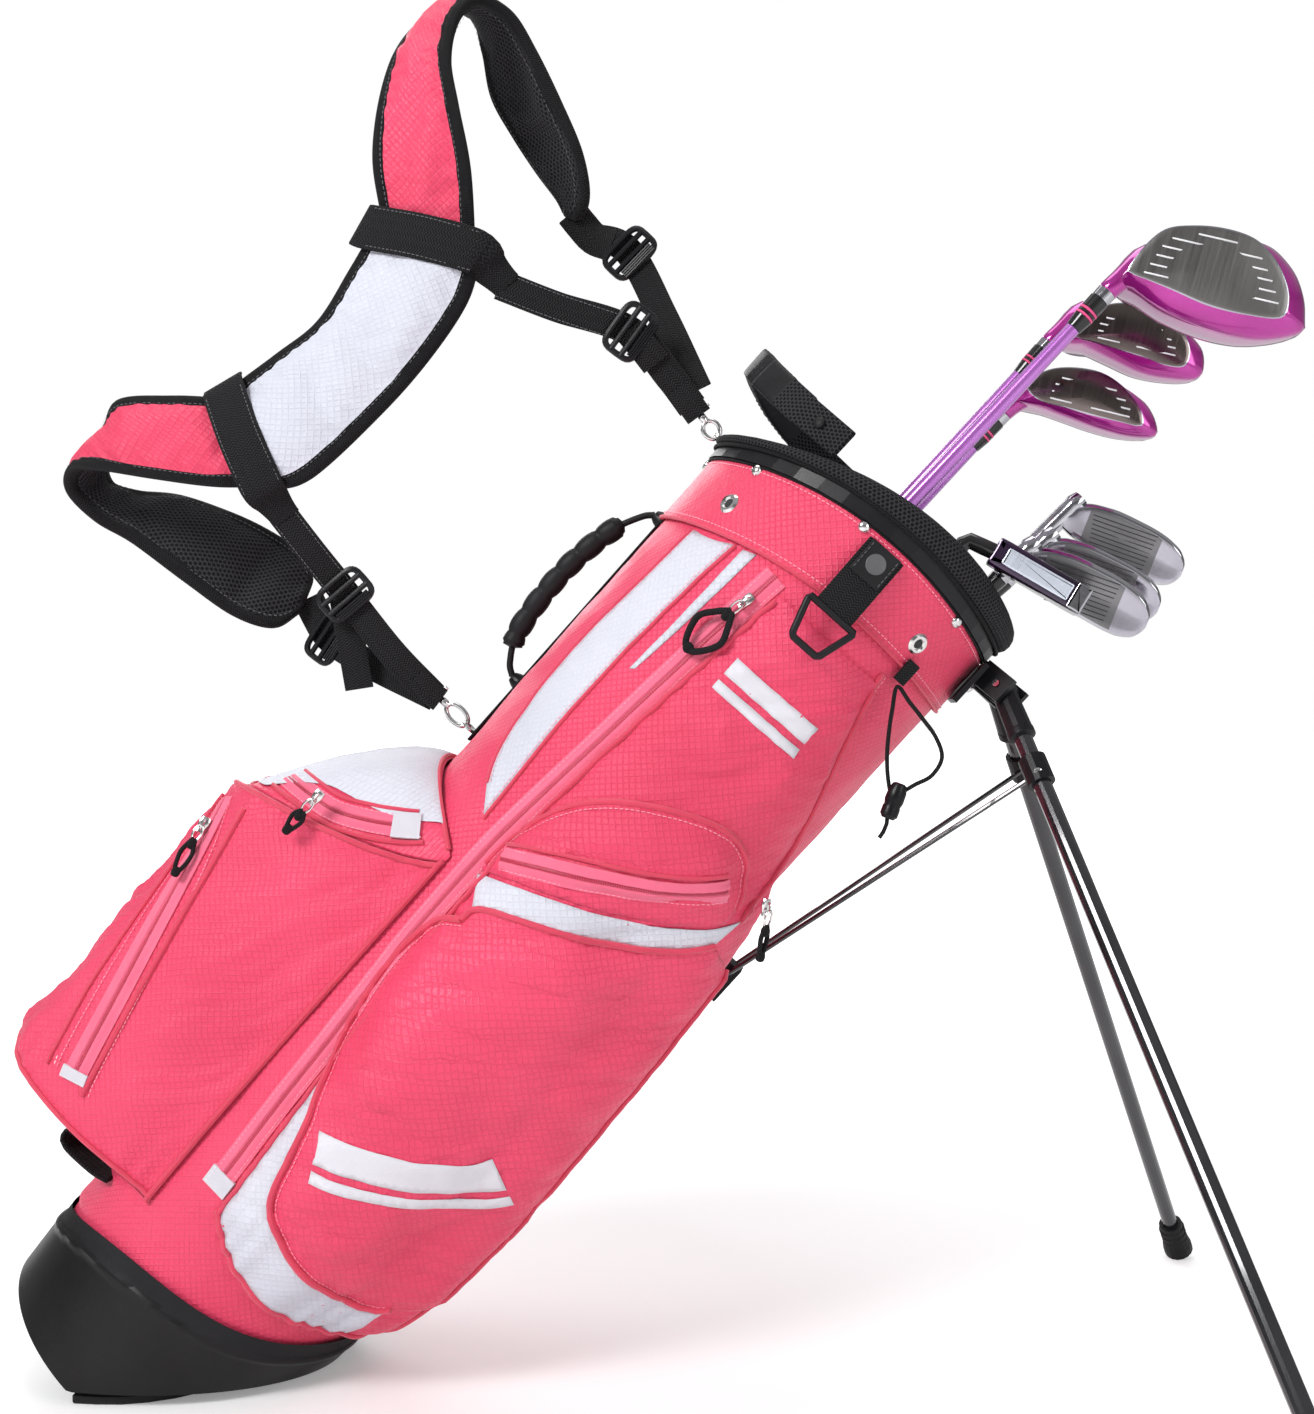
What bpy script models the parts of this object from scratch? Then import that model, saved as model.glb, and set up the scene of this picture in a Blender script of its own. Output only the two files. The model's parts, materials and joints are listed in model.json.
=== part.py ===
"""Junior golf set: a stand bag leaning on its two deployed legs, its carrying harness, and seven clubs.

Metres, +Z up. The origin is on the floor under the centre of the bag's base disc.
+X points to the side of the stand legs, +Y to the far side. The bag leans towards +X,
so most pieces hang from BAG, an empty whose local Z is the bag's own axis, local X the
stand side, and whose origin is the centre of the base disc. In the bag frame, "height"
is measured along the bag's axis and azimuth in degrees from the stand side.
"""

import math

import bmesh
import bpy
from mathutils import Matrix, Vector

for obj in list(bpy.data.objects):
    bpy.data.objects.remove(obj, do_unlink=True)

# ---------------------------------------------------------------- driving dimensions
LEAN = math.radians(42.0)      # bag axis from the vertical, legs deployed
BASE_RISE = 0.002              # base disc centre above the floor
TUBE_R = 0.104                 # bag tube, outside
CUFF_R = 0.107                 # turned-down cuff, outside
TUBE_T = 0.0022                # fabric and foam wall
POCKET_T = 0.002               # pocket fabric
SIDES = 40                     # facets round the tube, boot and collar
BOOT_R0, BOOT_R1 = 0.0965, 0.1045
BOOT_SLOPE = 0.067             # boot radius gained per metre of height
BOOT_T = 0.0032
BOOT_FLOOR = 0.006
BOOT_BLANK_H = 0.135           # boot before its rim is cut
CAVITY_H = 0.15
RING_IN, RING_OUT = 0.0965, 0.1095
COLLAR_H = 0.0100
PAD_OUT = 0.1125
GAP = 0.0006
FACET = 0.008                  # boot's cut-off side above the floor
FOOT_T = 0.006                 # hinged foot at the base

HINGE = Vector((0.571, 0.025, 0.444))   # far leg's hinge, world; the near one is mirrored in Y
FOOT = Vector((0.730, 0.295, 0.0062))   # far leg's end, world
LEG_R = 0.0058
LEG_FIT = 0.0003               # clearance round the leg in its clamp and rubber foot
PIN_R, PIN_HOLE_R = 0.0023, 0.0027
CLAMP_AT = 0.060               # clamp's centre, down the leg from the hinge
WIRE_AT = CLAMP_AT - 0.004     # wire lug, down the leg
WIRE_R = 0.0016
WIRE_SIDE = 0.0105             # wire's end, off the leg's axis
BLOCK = Vector((0.1195, 0.0, 0.454))            # slider block, bag frame
BLOCK_PIN = BLOCK + Vector((0.001, 0, 0.004))   # middle of its cross pin
WIRE_PIN_Y = 0.0146            # wire's start, either side of the middle plane

GRIP_R, GRIP_END_R = 0.0105, 0.0078
SHAFT_R0, SHAFT_R1 = 0.0066, 0.0044
SHAFT_GAP = 0.0004             # between grip and shaft

X_AXIS, Y_AXIS, Z_AXIS = Vector((1, 0, 0)), Vector((0, 1, 0)), Vector((0, 0, 1))
ORIGIN = Vector((0, 0, 0))


# ---------------------------------------------------------------- heights in the bag frame
def floor_plane(x, lift):
    """The level plane that lies `lift` above the floor."""
    return math.tan(LEAN) * x + (lift - BASE_RISE) / math.cos(LEAN)


def boot_rim(x):
    c = x / BOOT_R1
    return 0.098 + 0.014 * c - 0.0105 * c * c + 0.0235 * c ** 3


def boot_inside(height):
    """Radius of the boot's inner wall."""
    return BOOT_R0 + BOOT_SLOPE * height - BOOT_T


def cuff_low(x):
    c = x / CUFF_R
    return 0.67065 + 0.0123 * c - 0.00835 * (2 * c * c - 1)


def cuff_top(x):
    c = x / CUFF_R
    return 0.71668 + 0.00975 * c - 0.00993 * (2 * c * c - 1)


def pad_top(x):
    c = x / PAD_OUT
    return 0.7505 + 0.0189 * c - 0.0205 * c * c - 0.0034 * c ** 3


# ---------------------------------------------------------------- materials
LOOKS = {   # base colour, roughness, metallic
    "pink": ((0.80, 0.055, 0.14), 0.55, 0.0),
    "white": ((0.85, 0.86, 0.90), 0.55, 0.0),
    "web": ((0.015, 0.015, 0.017), 0.8, 0.0),
    "mesh": ((0.012, 0.012, 0.013), 0.9, 0.0),
    "plastic": ((0.018, 0.018, 0.02), 0.4, 0.0),
    "rubber": ((0.02, 0.02, 0.02), 0.75, 0.0),
    "leg": ((0.02, 0.02, 0.024), 0.2, 0.9),
    "steel": ((0.62, 0.62, 0.64), 0.25, 1.0),
    "lilac": ((0.55, 0.18, 0.62), 0.25, 0.8),
    "magenta": ((0.45, 0.015, 0.30), 0.2, 0.5),
}


def dress(obj, look):
    """Gives an object its own material, named after it and its look."""
    colour, roughness, metallic = LOOKS[look]
    mat = bpy.data.materials.new(f"{obj.name}_{look}")
    mat.use_nodes = True
    inputs = mat.node_tree.nodes["Principled BSDF"].inputs
    inputs["Base Color"].default_value = (*colour, 1.0)
    inputs["Roughness"].default_value = roughness
    inputs["Metallic"].default_value = metallic
    obj.data.materials.append(mat)


# ---------------------------------------------------------------- objects
PARTS = bpy.data.collections.new("golf_club_set")
CUTTERS = bpy.data.collections.new("cutters")
bpy.context.scene.collection.children.link(PARTS)
bpy.context.scene.collection.children.link(CUTTERS)


def add_object(name, data, parent=None, matrix=None, collection=PARTS):
    obj = bpy.data.objects.new(name, data)
    collection.objects.link(obj)
    obj.parent = parent
    obj.matrix_local = matrix or Matrix()
    return obj


def empty(name, matrix):
    return add_object(name, None, matrix=matrix)


def to_mesh(bm, name):
    mesh = bpy.data.meshes.new(name)
    bm.to_mesh(mesh)
    bm.free()
    return mesh


def finish(bm, name, look, parent=None, matrix=None):
    """Turns a bmesh into a named part, in its parent's frame."""
    bmesh.ops.recalc_face_normals(bm, faces=bm.faces[:])
    obj = add_object(name, to_mesh(bm, name), parent, matrix)
    dress(obj, look)
    obj.data.shade_smooth()
    obj.data.set_sharp_from_angle(angle=math.radians(35))
    return obj


def helper(bm, name, parent=None, matrix=None):
    """Turns a bmesh into a hidden object for booleans."""
    bmesh.ops.recalc_face_normals(bm, faces=bm.faces[:])
    obj = add_object(name, to_mesh(bm, name), parent, matrix, CUTTERS)
    obj.hide_render = True
    obj.display_type = "WIRE"
    return obj


def boolean(obj, other, operation):
    mod = obj.modifiers.new(operation.lower(), "BOOLEAN")
    mod.operation = operation
    mod.object = other
    mod.solver = "EXACT"


def joined(name, look, pieces, parent, matrix=None):
    """Several closed meshes united into one part."""
    part = finish(pieces[0], name, look, parent, matrix)
    for k, bm in enumerate(pieces[1:]):
        boolean(part, helper(bm, f"{name}_add_{k}", parent, matrix), "UNION")
    return part


def skin(bm, name, look, thickness, offset=-1.0):
    """An open surface on the bag made solid; offset -1 grows it inwards, 1 outwards."""
    bmesh.ops.recalc_face_normals(bm, faces=bm.faces[:])
    outwardness = 0.0
    for face in bm.faces:
        centre = face.calc_center_median()
        outwardness += face.calc_area() * face.normal.dot(Vector((centre.x, centre.y, 0)))
    if outwardness < 0:
        bmesh.ops.reverse_faces(bm, faces=bm.faces[:])
    obj = add_object(name, to_mesh(bm, name), BAG)
    dress(obj, look)
    mod = obj.modifiers.new("wall", "SOLIDIFY")
    mod.thickness = thickness
    mod.offset = offset
    mod.use_rim = True
    obj.data.shade_smooth()
    return obj


def wire(name, look, points, radius, parent, radii=None, cyclic=False, resolution=1):
    """A round cord or bar through the points; `radii` gives it a radius at each one."""
    curve = bpy.data.curves.new(name, "CURVE")
    curve.dimensions = "3D"
    curve.bevel_depth = radius
    curve.bevel_resolution = resolution
    curve.use_fill_caps = not cyclic
    spline = curve.splines.new("POLY")
    spline.points.add(len(points) - 1)
    for k, point in enumerate(points):
        spline.points[k].co = (*point, 1.0)
        spline.points[k].radius = radii[k] / radius if radii else 1.0
    spline.use_cyclic_u = cyclic
    obj = add_object(name, curve, parent)
    dress(obj, look)
    return obj


def as_mesh(obj):
    """A curve object made a mesh, so that it can be joined."""
    bpy.context.view_layer.update()
    graph = bpy.context.evaluated_depsgraph_get()
    mesh = bpy.data.meshes.new_from_object(obj.evaluated_get(graph))
    bm = bmesh.new()
    bm.from_mesh(mesh)
    bmesh.ops.remove_doubles(bm, verts=bm.verts[:], dist=0.00001)
    bmesh.ops.recalc_face_normals(bm, faces=bm.faces[:])
    bm.to_mesh(mesh)
    bm.free()
    name, parent = obj.name, obj.parent
    bpy.data.objects.remove(obj, do_unlink=True)
    return add_object(name, mesh, parent)


# ---------------------------------------------------------------- vectors and frames
def polar(radius, azimuth, z):
    angle = math.radians(azimuth)
    return Vector((radius * math.cos(angle), radius * math.sin(angle), z))


def turned_towards(vector, direction):
    """The vector, or its opposite, whichever points more towards the direction."""
    return -vector if vector.dot(direction) < 0 else vector


def axes_matrix(x_axis, y_axis, z_axis, origin=ORIGIN):
    matrix = Matrix((x_axis, y_axis, z_axis)).transposed().to_4x4()
    matrix.translation = origin
    return matrix


def rod_matrix(start, end):
    """Maps local Z from the origin onto the line from start to end."""
    z_axis = (end - start).normalized()
    side = Y_AXIS if abs(z_axis.y) < 0.9 else X_AXIS
    x_axis = side.cross(z_axis).normalized()
    return axes_matrix(x_axis, z_axis.cross(x_axis), z_axis, start)


def circle_centre(a, b, c):
    """Centre and unit normal of the circle through three points."""
    ab, ac = b - a, c - a
    normal = ab.cross(ac)
    to_centre = ac.length_squared * normal.cross(ab) + ab.length_squared * ac.cross(normal)
    return a + to_centre / (2 * normal.length_squared), normal.normalized()


def interpolate(table, position):
    """Straight-line interpolation in a table of (position, value)."""
    if position <= table[0][0]:
        return table[0][1]
    for (a, value_a), (b, value_b) in zip(table, table[1:]):
        if position <= b:
            return value_a + (value_b - value_a) * (position - a) / (b - a)
    return table[-1][1]


# ---------------------------------------------------------------- meshes
def box(size, centre=ORIGIN, turn=None):
    bm = bmesh.new()
    bmesh.ops.create_cube(bm, size=1.0)
    bmesh.ops.scale(bm, vec=size, verts=bm.verts[:])
    if turn is not None:
        bmesh.ops.transform(bm, matrix=turn, verts=bm.verts[:])
    bmesh.ops.translate(bm, vec=centre, verts=bm.verts[:])
    return bm


def rod(start, end, r0, r1=None, sides=12):
    """A cylinder, or a cone if r1 is given."""
    start, end = Vector(start), Vector(end)
    length = (end - start).length
    bm = bmesh.new()
    bmesh.ops.create_cone(bm, cap_ends=True, cap_tris=False, segments=sides,
                          radius1=r0, radius2=r0 if r1 is None else r1, depth=length)
    bmesh.ops.translate(bm, vec=(0, 0, length / 2), verts=bm.verts[:])
    bmesh.ops.transform(bm, matrix=rod_matrix(start, end), verts=bm.verts[:])
    return bm


def cross_rod(direction, half_length, radius, sides=12, centre=ORIGIN):
    """A cylinder centred on a point."""
    reach = direction * half_length
    return rod(centre - reach, centre + reach, radius, sides=sides)


def extrusion(outline, travel):
    """A flat outline of 3D points, swept along `travel`."""
    bm = bmesh.new()
    face = bm.faces.new([bm.verts.new(point) for point in outline])
    swept = bmesh.ops.extrude_face_region(bm, geom=[face])["geom"]
    moved = [item for item in swept if isinstance(item, bmesh.types.BMVert)]
    bmesh.ops.translate(bm, vec=travel, verts=moved)
    return bm


def cross_prism(outline_xz):
    """A cutter right across the bag: an outline in the XZ plane, swept along Y."""
    half_width = 0.2
    return extrusion([(x, -half_width, z) for x, z in outline_xz], (0, 2 * half_width, 0))


def loft(rings, closed_path=False, caps=True):
    """Joins rings of equal length. The path may close on itself, or its ends may be capped."""
    bm = bmesh.new()
    rows = [[bm.verts.new(point) for point in ring] for ring in rings]
    count = len(rows[0])
    pairs = list(zip(rows, rows[1:]))
    if closed_path:
        pairs.append((rows[-1], rows[0]))
    for a, b in pairs:
        for j in range(count):
            k = (j + 1) % count
            bm.faces.new((a[j], a[k], b[k], b[j]))
    if caps and not closed_path:
        bm.faces.new(rows[0])
        bm.faces.new(rows[-1])
    return bm


def grid(rows):
    """An open surface through rows of points."""
    bm = bmesh.new()
    verts = [[bm.verts.new(point) for point in row] for row in rows]
    for a, b in zip(verts, verts[1:]):
        for j in range(len(a) - 1):
            bm.faces.new((a[j], a[j + 1], b[j + 1], b[j]))
    return bm


def band(stations, thickness):
    """A strap: each station is its two edges. The thickness grows both ways from that ribbon."""
    edges = [(Vector(p), Vector(q)) for p, q in stations]
    rings = []
    for k, (p, q) in enumerate(edges):
        before, after = edges[max(k - 1, 0)], edges[min(k + 1, len(edges) - 1)]
        along = (after[0] + after[1]) - (before[0] + before[1])
        normal = along.cross(q - p).normalized() * (thickness / 2)
        rings.append([p - normal, q - normal, q + normal, p + normal])
    return loft(rings)


def sleeve(name, look, rows, thickness):
    """A tube on the bag's axis. Rows are (radius, height as a function of x).

    A radius may itself be a function of height; its x is then taken on the boot's base circle.
    """
    rings = []
    for radius, height in rows:
        ring = []
        for k in range(SIDES):
            azimuth = 360.0 * k / SIDES
            varies = callable(radius)
            point = polar(BOOT_R0 if varies else radius, azimuth, 0)
            point.z = height(point.x)
            if varies:
                point = polar(radius(point.z), azimuth, point.z)
            ring.append(point)
        rings.append(ring)
    return skin(loft(rings, caps=False), name, look, thickness)


BAG_M = Matrix.Translation((0, 0, BASE_RISE)) @ Matrix.Rotation(LEAN, 4, "Y")
BAG = empty("bag_frame", BAG_M)


# ---------------------------------------------------------------- bag tube and base
def shell_low_edge(x):
    return max(boot_rim(x) - 0.018, floor_plane(x, FACET) + 0.0125)


def build_shell():
    sleeve("bag_shell", "pink", [
        (lambda height: boot_inside(height) - 0.0014, shell_low_edge),
        (lambda height: boot_inside(height) - 0.0010, lambda x: boot_rim(x) + 0.003),
        (0.1030, lambda x: 0.19),
        (TUBE_R, lambda x: 0.30),
        (TUBE_R, lambda x: 0.48),
        (TUBE_R, lambda x: cuff_low(x) - 0.001),
        (CUFF_R, lambda x: cuff_low(x) + 0.0005),
        (CUFF_R, cuff_top),
    ], TUBE_T)


def below_floor_plane(lift):
    """Everything under a level plane, from just short of the bag's axis to the stand side."""
    x0, x1, bottom = -0.05, 0.15, -0.1
    return cross_prism([(x0, floor_plane(x0, lift)), (x1, floor_plane(x1, lift)),
                        (x1, bottom), (x0, bottom)])


def build_boot():
    """A cup. Its stand side is cut along the floor's plane, where the hinged foot sits."""
    boot = finish(rod(ORIGIN, (0, 0, BOOT_BLANK_H), BOOT_R0,
                      BOOT_R0 + BOOT_SLOPE * BOOT_BLANK_H, sides=SIDES),
                  "base_boot", "rubber", BAG)
    reach, top, steps = 0.13, 0.3, 12
    xs = [-reach + 2 * reach * k / steps for k in range(steps + 1)]
    rim = [(x, boot_rim(max(-BOOT_R1, min(BOOT_R1, x)))) for x in xs]
    above_rim = cross_prism(rim + [(reach, top), (-reach, top)])
    boolean(boot, helper(above_rim, "cut_rim", BAG), "DIFFERENCE")
    boolean(boot, helper(below_floor_plane(FACET), "cut_facet", BAG), "DIFFERENCE")

    low, high = BOOT_FLOOR, BOOT_FLOOR + CAVITY_H
    cavity = helper(rod((0, 0, low), (0, 0, high), boot_inside(low), boot_inside(high),
                        sides=SIDES), "cut_cavity", BAG)
    floor = helper(below_floor_plane(FACET + BOOT_FLOOR), "cut_floor", BAG)
    boolean(cavity, floor, "DIFFERENCE")
    boolean(boot, cavity, "DIFFERENCE")


def build_base_foot():
    """Hinged foot: a half disc that lies flat on the floor while the legs are out."""
    back_x, arc_x = -0.0045, 0.0105     # straight edge, and where the arc starts
    depth, half_width, steps = 0.0835, 0.0925, 16
    angles = [math.pi * k / steps for k in range(steps + 1)]
    arc = [(arc_x + depth * math.sin(a), -half_width * math.cos(a)) for a in angles]
    outline = [(back_x, -half_width)] + arc + [(back_x, half_width)]
    bm = extrusion([(x, y, -FOOT_T / 2) for x, y in outline], (0, 0, FOOT_T))
    foot = finish(bm, "base_foot", "rubber", matrix=Matrix.Translation((0, 0, FOOT_T / 2)))
    mod = foot.modifiers.new("edge", "BEVEL")
    mod.width = 0.0010
    mod.segments = 1


# ---------------------------------------------------------------- collar
def build_collar():
    def cuff_edge(x):
        return cuff_top(x * CUFF_R / RING_OUT)

    collar = sleeve("top_collar", "plastic", [
        (RING_OUT, lambda x: cuff_edge(x) + GAP),
        (RING_OUT, lambda x: cuff_edge(x) + COLLAR_H),
    ], RING_OUT - RING_IN)
    divider_reach = 0.0990      # radius that the dividers' ends stay on
    for k, x in enumerate((-0.035, 0.030)):
        size = (0.006, 2 * math.sqrt(divider_reach ** 2 - x * x), 0.0055)
        divider = box(size, (x, 0, cuff_top(x) + 0.0052))
        boolean(collar, helper(divider, f"divider_{k}", BAG), "UNION")


def build_collar_pad():
    rings = []
    for k in range(SIDES):
        azimuth = 360.0 * k / SIDES
        c = math.cos(math.radians(azimuth))
        low, high = cuff_top(CUFF_R * c) + COLLAR_H + GAP, pad_top(PAD_OUT * c)
        rise = high - low
        section = [     # radius, height
            (RING_IN + 0.0015, low),
            (PAD_OUT - 0.003, low),
            (PAD_OUT, low + 0.3 * rise),
            (PAD_OUT - 0.0005, low + 0.75 * rise),
            (PAD_OUT - 0.004, high),
            (RING_IN + 0.004, high),
            (RING_IN, low + 0.7 * rise),
        ]
        rings.append([polar(radius, azimuth, z) for radius, z in section])
    finish(loft(rings, closed_path=True), "collar_pad", "mesh", BAG)


# Half of the top handle's middle line, from its far end to the middle plane: x, y, z.
TOP_HANDLE_HALF = [
    (-0.040, 0.0965, 0.7525), (-0.075, 0.0850, 0.7535), (-0.105, 0.0600, 0.7570),
    (-0.122, 0.0300, 0.7615), (-0.1265, 0.0, 0.7635),
]


def build_top_handle():
    path = [(x, -y, z) for x, y, z in TOP_HANDLE_HALF] + TOP_HANDLE_HALF[-2::-1]
    stations = [((x, y, z - 0.0102), (x, y, z + 0.0105)) for x, y, z in path]
    finish(band(stations, 0.005), "top_handle", "rubber", BAG)


# ---------------------------------------------------------------- ball pocket
SEAM = 0.0032   # pocket edge above the tube, so that its inner face clears it
TUBE_PROFILE = [(0.10, 0.1005), (0.19, 0.1030), (0.30, TUBE_R)]     # height, radius

BALL_AZ = 180           # azimuth of the pocket's middle
BALL_HALF = 60          # degrees from its middle to its edge
BALL_LOW, BALL_BASE = 0.118, 0.124      # heights of the underside's middle and the side's foot
BALL_OUT = [            # degrees from the middle, radius
    (0, 0.197), (12, 0.2), (20, 0.197), (26, 0.1905), (33, 0.173), (41, 0.152), (50, 0.128),
    (BALL_HALF, TUBE_R + SEAM),
]
BALL_COLUMNS = [-60, -50, -41, -33, -26, -19, -10, 0, 10, 19, 26, 33, 41, 50, 60]
BALL_ROWS = [           # zone, place in it: outwards for "low" and "lid", upwards for "side"
    ("low", 0.0), ("low", 0.6), ("low", 0.97),
    ("side", 0.03), ("side", 0.35), ("side", 0.7), ("side", 0.97),
    ("lid", 0.95), ("lid", 0.55), ("lid", 0.0),
]


def ball_radius(delta):
    return interpolate(BALL_OUT, abs(delta))


def edge_radius(height):
    """Radius of a pocket's sewn edge."""
    return interpolate(TUBE_PROFILE, height) + SEAM


def ball_surface(zone, t, delta):
    """Point of the ball pocket's skin."""
    share = abs(delta) / BALL_HALF
    top = 0.335 + 0.073 * share ** 1.3
    reach = 1.0 - share ** 6
    if zone == "side":
        z = BALL_BASE + (top - BALL_BASE) * t
    else:
        reach *= t
        if zone == "low":
            z = BALL_LOW + 0.004 * t ** 3
        else:
            lid = 0.440 - 0.028 * share ** 2
            z = lid + (top - lid) * t ** 1.5
    seam = edge_radius(z)
    return polar(seam + (ball_radius(delta) - seam) * reach, BALL_AZ + delta, z)


def build_ball_pocket():
    rows = [[ball_surface(zone, t, delta) for delta in BALL_COLUMNS] for zone, t in BALL_ROWS]
    skin(grid(rows), "ball_pocket", "pink", POCKET_T)


# ---------------------------------------------------------------- garment pocket
GARMENT_LOW, GARMENT_TOP = 0.126, 0.661
LEFT_EDGE = [           # height, azimuth
    (0.126, -97.6), (0.164, -98.6), (0.23, -101.2), (0.291, -103.6), (0.35, -105.4),
    (0.41, -106.2), (0.46, -105.6), (0.50, -104.2), (0.56, -101.0), (0.62, -97.2),
    (0.661, -94.6),
]
RIGHT_EDGE = [          # height, azimuth
    (0.12, -17.0), (0.45, -16.0), (0.50, -17.0), (0.55, -24.0), (0.61, -40.0), (0.665, -51.0),
]
BULGE = [               # height, swell in the middle
    (0.126, 0.0), (0.150, 0.013), (0.20, 0.021), (0.30, 0.024), (0.40, 0.021),
    (0.50, 0.016), (0.60, 0.009), (0.655, 0.004), (0.662, 0.0),
]
# The pocket is boxy towards the stand side: extra swell near that edge, as (height, swell).
BOXY = [
    (0.126, 0.010), (0.150, 0.020), (0.24, 0.0225), (0.36, 0.0190), (0.477, 0.0130),
    (0.52, 0.006), (0.56, 0.0),
]
BOXY_START, BOXY_PEAK = 0.60, 0.89      # where across the pocket the extra swell rises
GARMENT_UP = (0.0, 0.03, 0.08, 0.16, 0.27, 0.40, 0.53, 0.66, 0.79, 0.90, 0.97, 1.0)
GARMENT_ACROSS = (0.0, 0.06, 0.14, 0.23, 0.33, 0.43, 0.53, 0.62, 0.69, 0.76, 0.83, 0.89,
                  0.935, 0.97, 1.0)


def garment_bottom(across):
    return 0.150 - 0.026 * (1 - (2 * across - 1) ** 2)


def garment_at(across, height):
    """Radius and azimuth of the garment pocket's skin: `across` runs 0..1 from its left edge."""
    # The tables are stretched between the curved bottom edge and the top.
    bottom = garment_bottom(across)
    share = (height - bottom) / (GARMENT_TOP - bottom)
    level = GARMENT_LOW + (GARMENT_TOP - GARMENT_LOW) * share
    left, right = interpolate(LEFT_EDGE, level), interpolate(RIGHT_EDGE, level)
    swell = interpolate(BULGE, level) * (1 - abs(2 * across - 1) ** 2.6)
    if across < BOXY_PEAK:
        t = min(1.0, max(0.0, (across - BOXY_START) / (BOXY_PEAK - BOXY_START)))
    else:
        t = min(1.0, (1 - across) / (1 - BOXY_PEAK))
    boxy = interpolate(BOXY, level) * t * t * (3 - 2 * t)
    return edge_radius(level) + swell + boxy, left + (right - left) * across


def garment_point(across, height, lift=0.0):
    radius, azimuth = garment_at(across, height)
    return polar(radius + lift, azimuth, height)


def build_garment_pocket():
    rows = []
    for t in GARMENT_UP:
        row = []
        for across in GARMENT_ACROSS:
            bottom = garment_bottom(across)
            row.append(garment_point(across, bottom + (GARMENT_TOP - bottom) * t))
        rows.append(row)
    skin(grid(rows), "garment_pocket", "pink", POCKET_T)


def build_accessory_pocket():
    """A smaller pocket sewn on the garment pocket's outside."""
    start, end, lift = 0.07, 0.90, 0.0012
    columns, levels = 11, 4
    rows = []
    for i in range(levels):
        row = []
        for k in range(columns):
            s = k / (columns - 1)
            low = 0.418 + 0.068 * s
            high = 0.470 + 0.062 * s + 0.012 * math.sin(math.pi * s)
            height = low + (high - low) * i / (levels - 1)
            row.append(garment_point(start + (end - start) * s, height, lift))
        rows.append(row)
    skin(grid(rows), "accessory_pocket", "pink", 0.0035, offset=1.0)


# ---------------------------------------------------------------- spine handle and towel hook
SPINE_HANDLE = [        # x, z, radius; in the bag's middle plane
    (-0.1125, 0.648, 0.0028), (-0.1185, 0.641, 0.0032), (-0.1270, 0.622, 0.0068),
    (-0.1325, 0.592, 0.0072), (-0.1330, 0.560, 0.0072), (-0.1290, 0.530, 0.0068),
    (-0.1200, 0.513, 0.0032), (-0.1125, 0.507, 0.0028),
]


def build_spine():
    joined("spine_stay", "web", [
        box((0.0018, 0.024, 0.188), (-0.1059, 0, 0.5510)),
        box((0.0040, 0.012, 0.006), (-0.1078, 0, 0.4630)),
    ], BAG)
    wire("spine_handle", "rubber", [(x, 0, z) for x, z, _ in SPINE_HANDLE], 0.0072, BAG,
         radii=[radius for _, _, radius in SPINE_HANDLE])


def build_towel_hook():
    """A tab with a wire frame at its lower end; the origin is at the tab's top."""
    azimuth, radius, height, tip_out = -81.0, 0.1105, 0.7215, -9.0
    bars = [
        ((0.0, -0.013, -0.0485), (0.0, 0.021, -0.0485)),
        ((0.0, -0.0125, -0.0485), (0.0, -0.006, -0.073)),
        ((0.0, 0.0205, -0.0485), (0.0, 0.014, -0.073)),
        ((0.0, -0.0075, -0.0725), (0.0, 0.0155, -0.0725)),
    ]
    matrix = (Matrix.Rotation(math.radians(azimuth), 4, "Z")
              @ Matrix.Translation((radius, 0, height))
              @ Matrix.Rotation(math.radians(tip_out), 4, "Y"))
    tab = box((0.0022, 0.026, 0.050), (0.0, 0.004, -0.025))
    joined("towel_hook", "web", [tab] + [rod(a, b, 0.0021, sides=8) for a, b in bars],
           BAG, matrix)


# ---------------------------------------------------------------- zip pulls
def zip_pull(name, matrix, drop, spread):
    """A zip slider with its cord loop. Local X is out of the fabric, local -Z down the loop."""
    loop_x, cord_r = 0.0040, 0.0014
    top, tip = (loop_x, 0, -0.0085), (loop_x, 0, -drop)
    corner_z = -drop * 0.6
    pieces = [
        box((0.0040, 0.0070, 0.0100)),
        rod((0.0015, 0, -0.002), (0.0045, 0, -0.010), 0.0013, sides=6),
    ]
    for y in (-spread, spread):
        pieces.append(rod(top, (loop_x, y, corner_z), cord_r, sides=6))
    for y in (-spread, spread):
        pieces.append(rod((loop_x, y, corner_z + 0.0008), tip, cord_r, sides=6))
    joined(name, "steel", pieces, BAG, matrix)


def zip_frame(origin, out, up):
    return axes_matrix(out, up.cross(out), up, origin)


def build_cooler_pull():
    matrix = (Matrix.Translation((-0.1368, -0.0990, 0.3835))
              @ Matrix.Rotation(math.radians(-90), 4, "Z"))
    zip_pull("cooler_zip_pull", matrix, drop=0.026, spread=0.0045)


def over_ball_pocket(delta, height, lift=0.0055):
    """Point over the ball pocket's side."""
    point = polar(ball_radius(delta), BALL_AZ + delta, height)
    ahead, behind = [polar(ball_radius(delta + d), BALL_AZ + delta + d, 0) for d in (1.5, -1.5)]
    normal = (ahead - behind).cross(Z_AXIS).normalized()
    return point + turned_towards(normal, Vector((point.x, point.y, 0))) * lift


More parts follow.
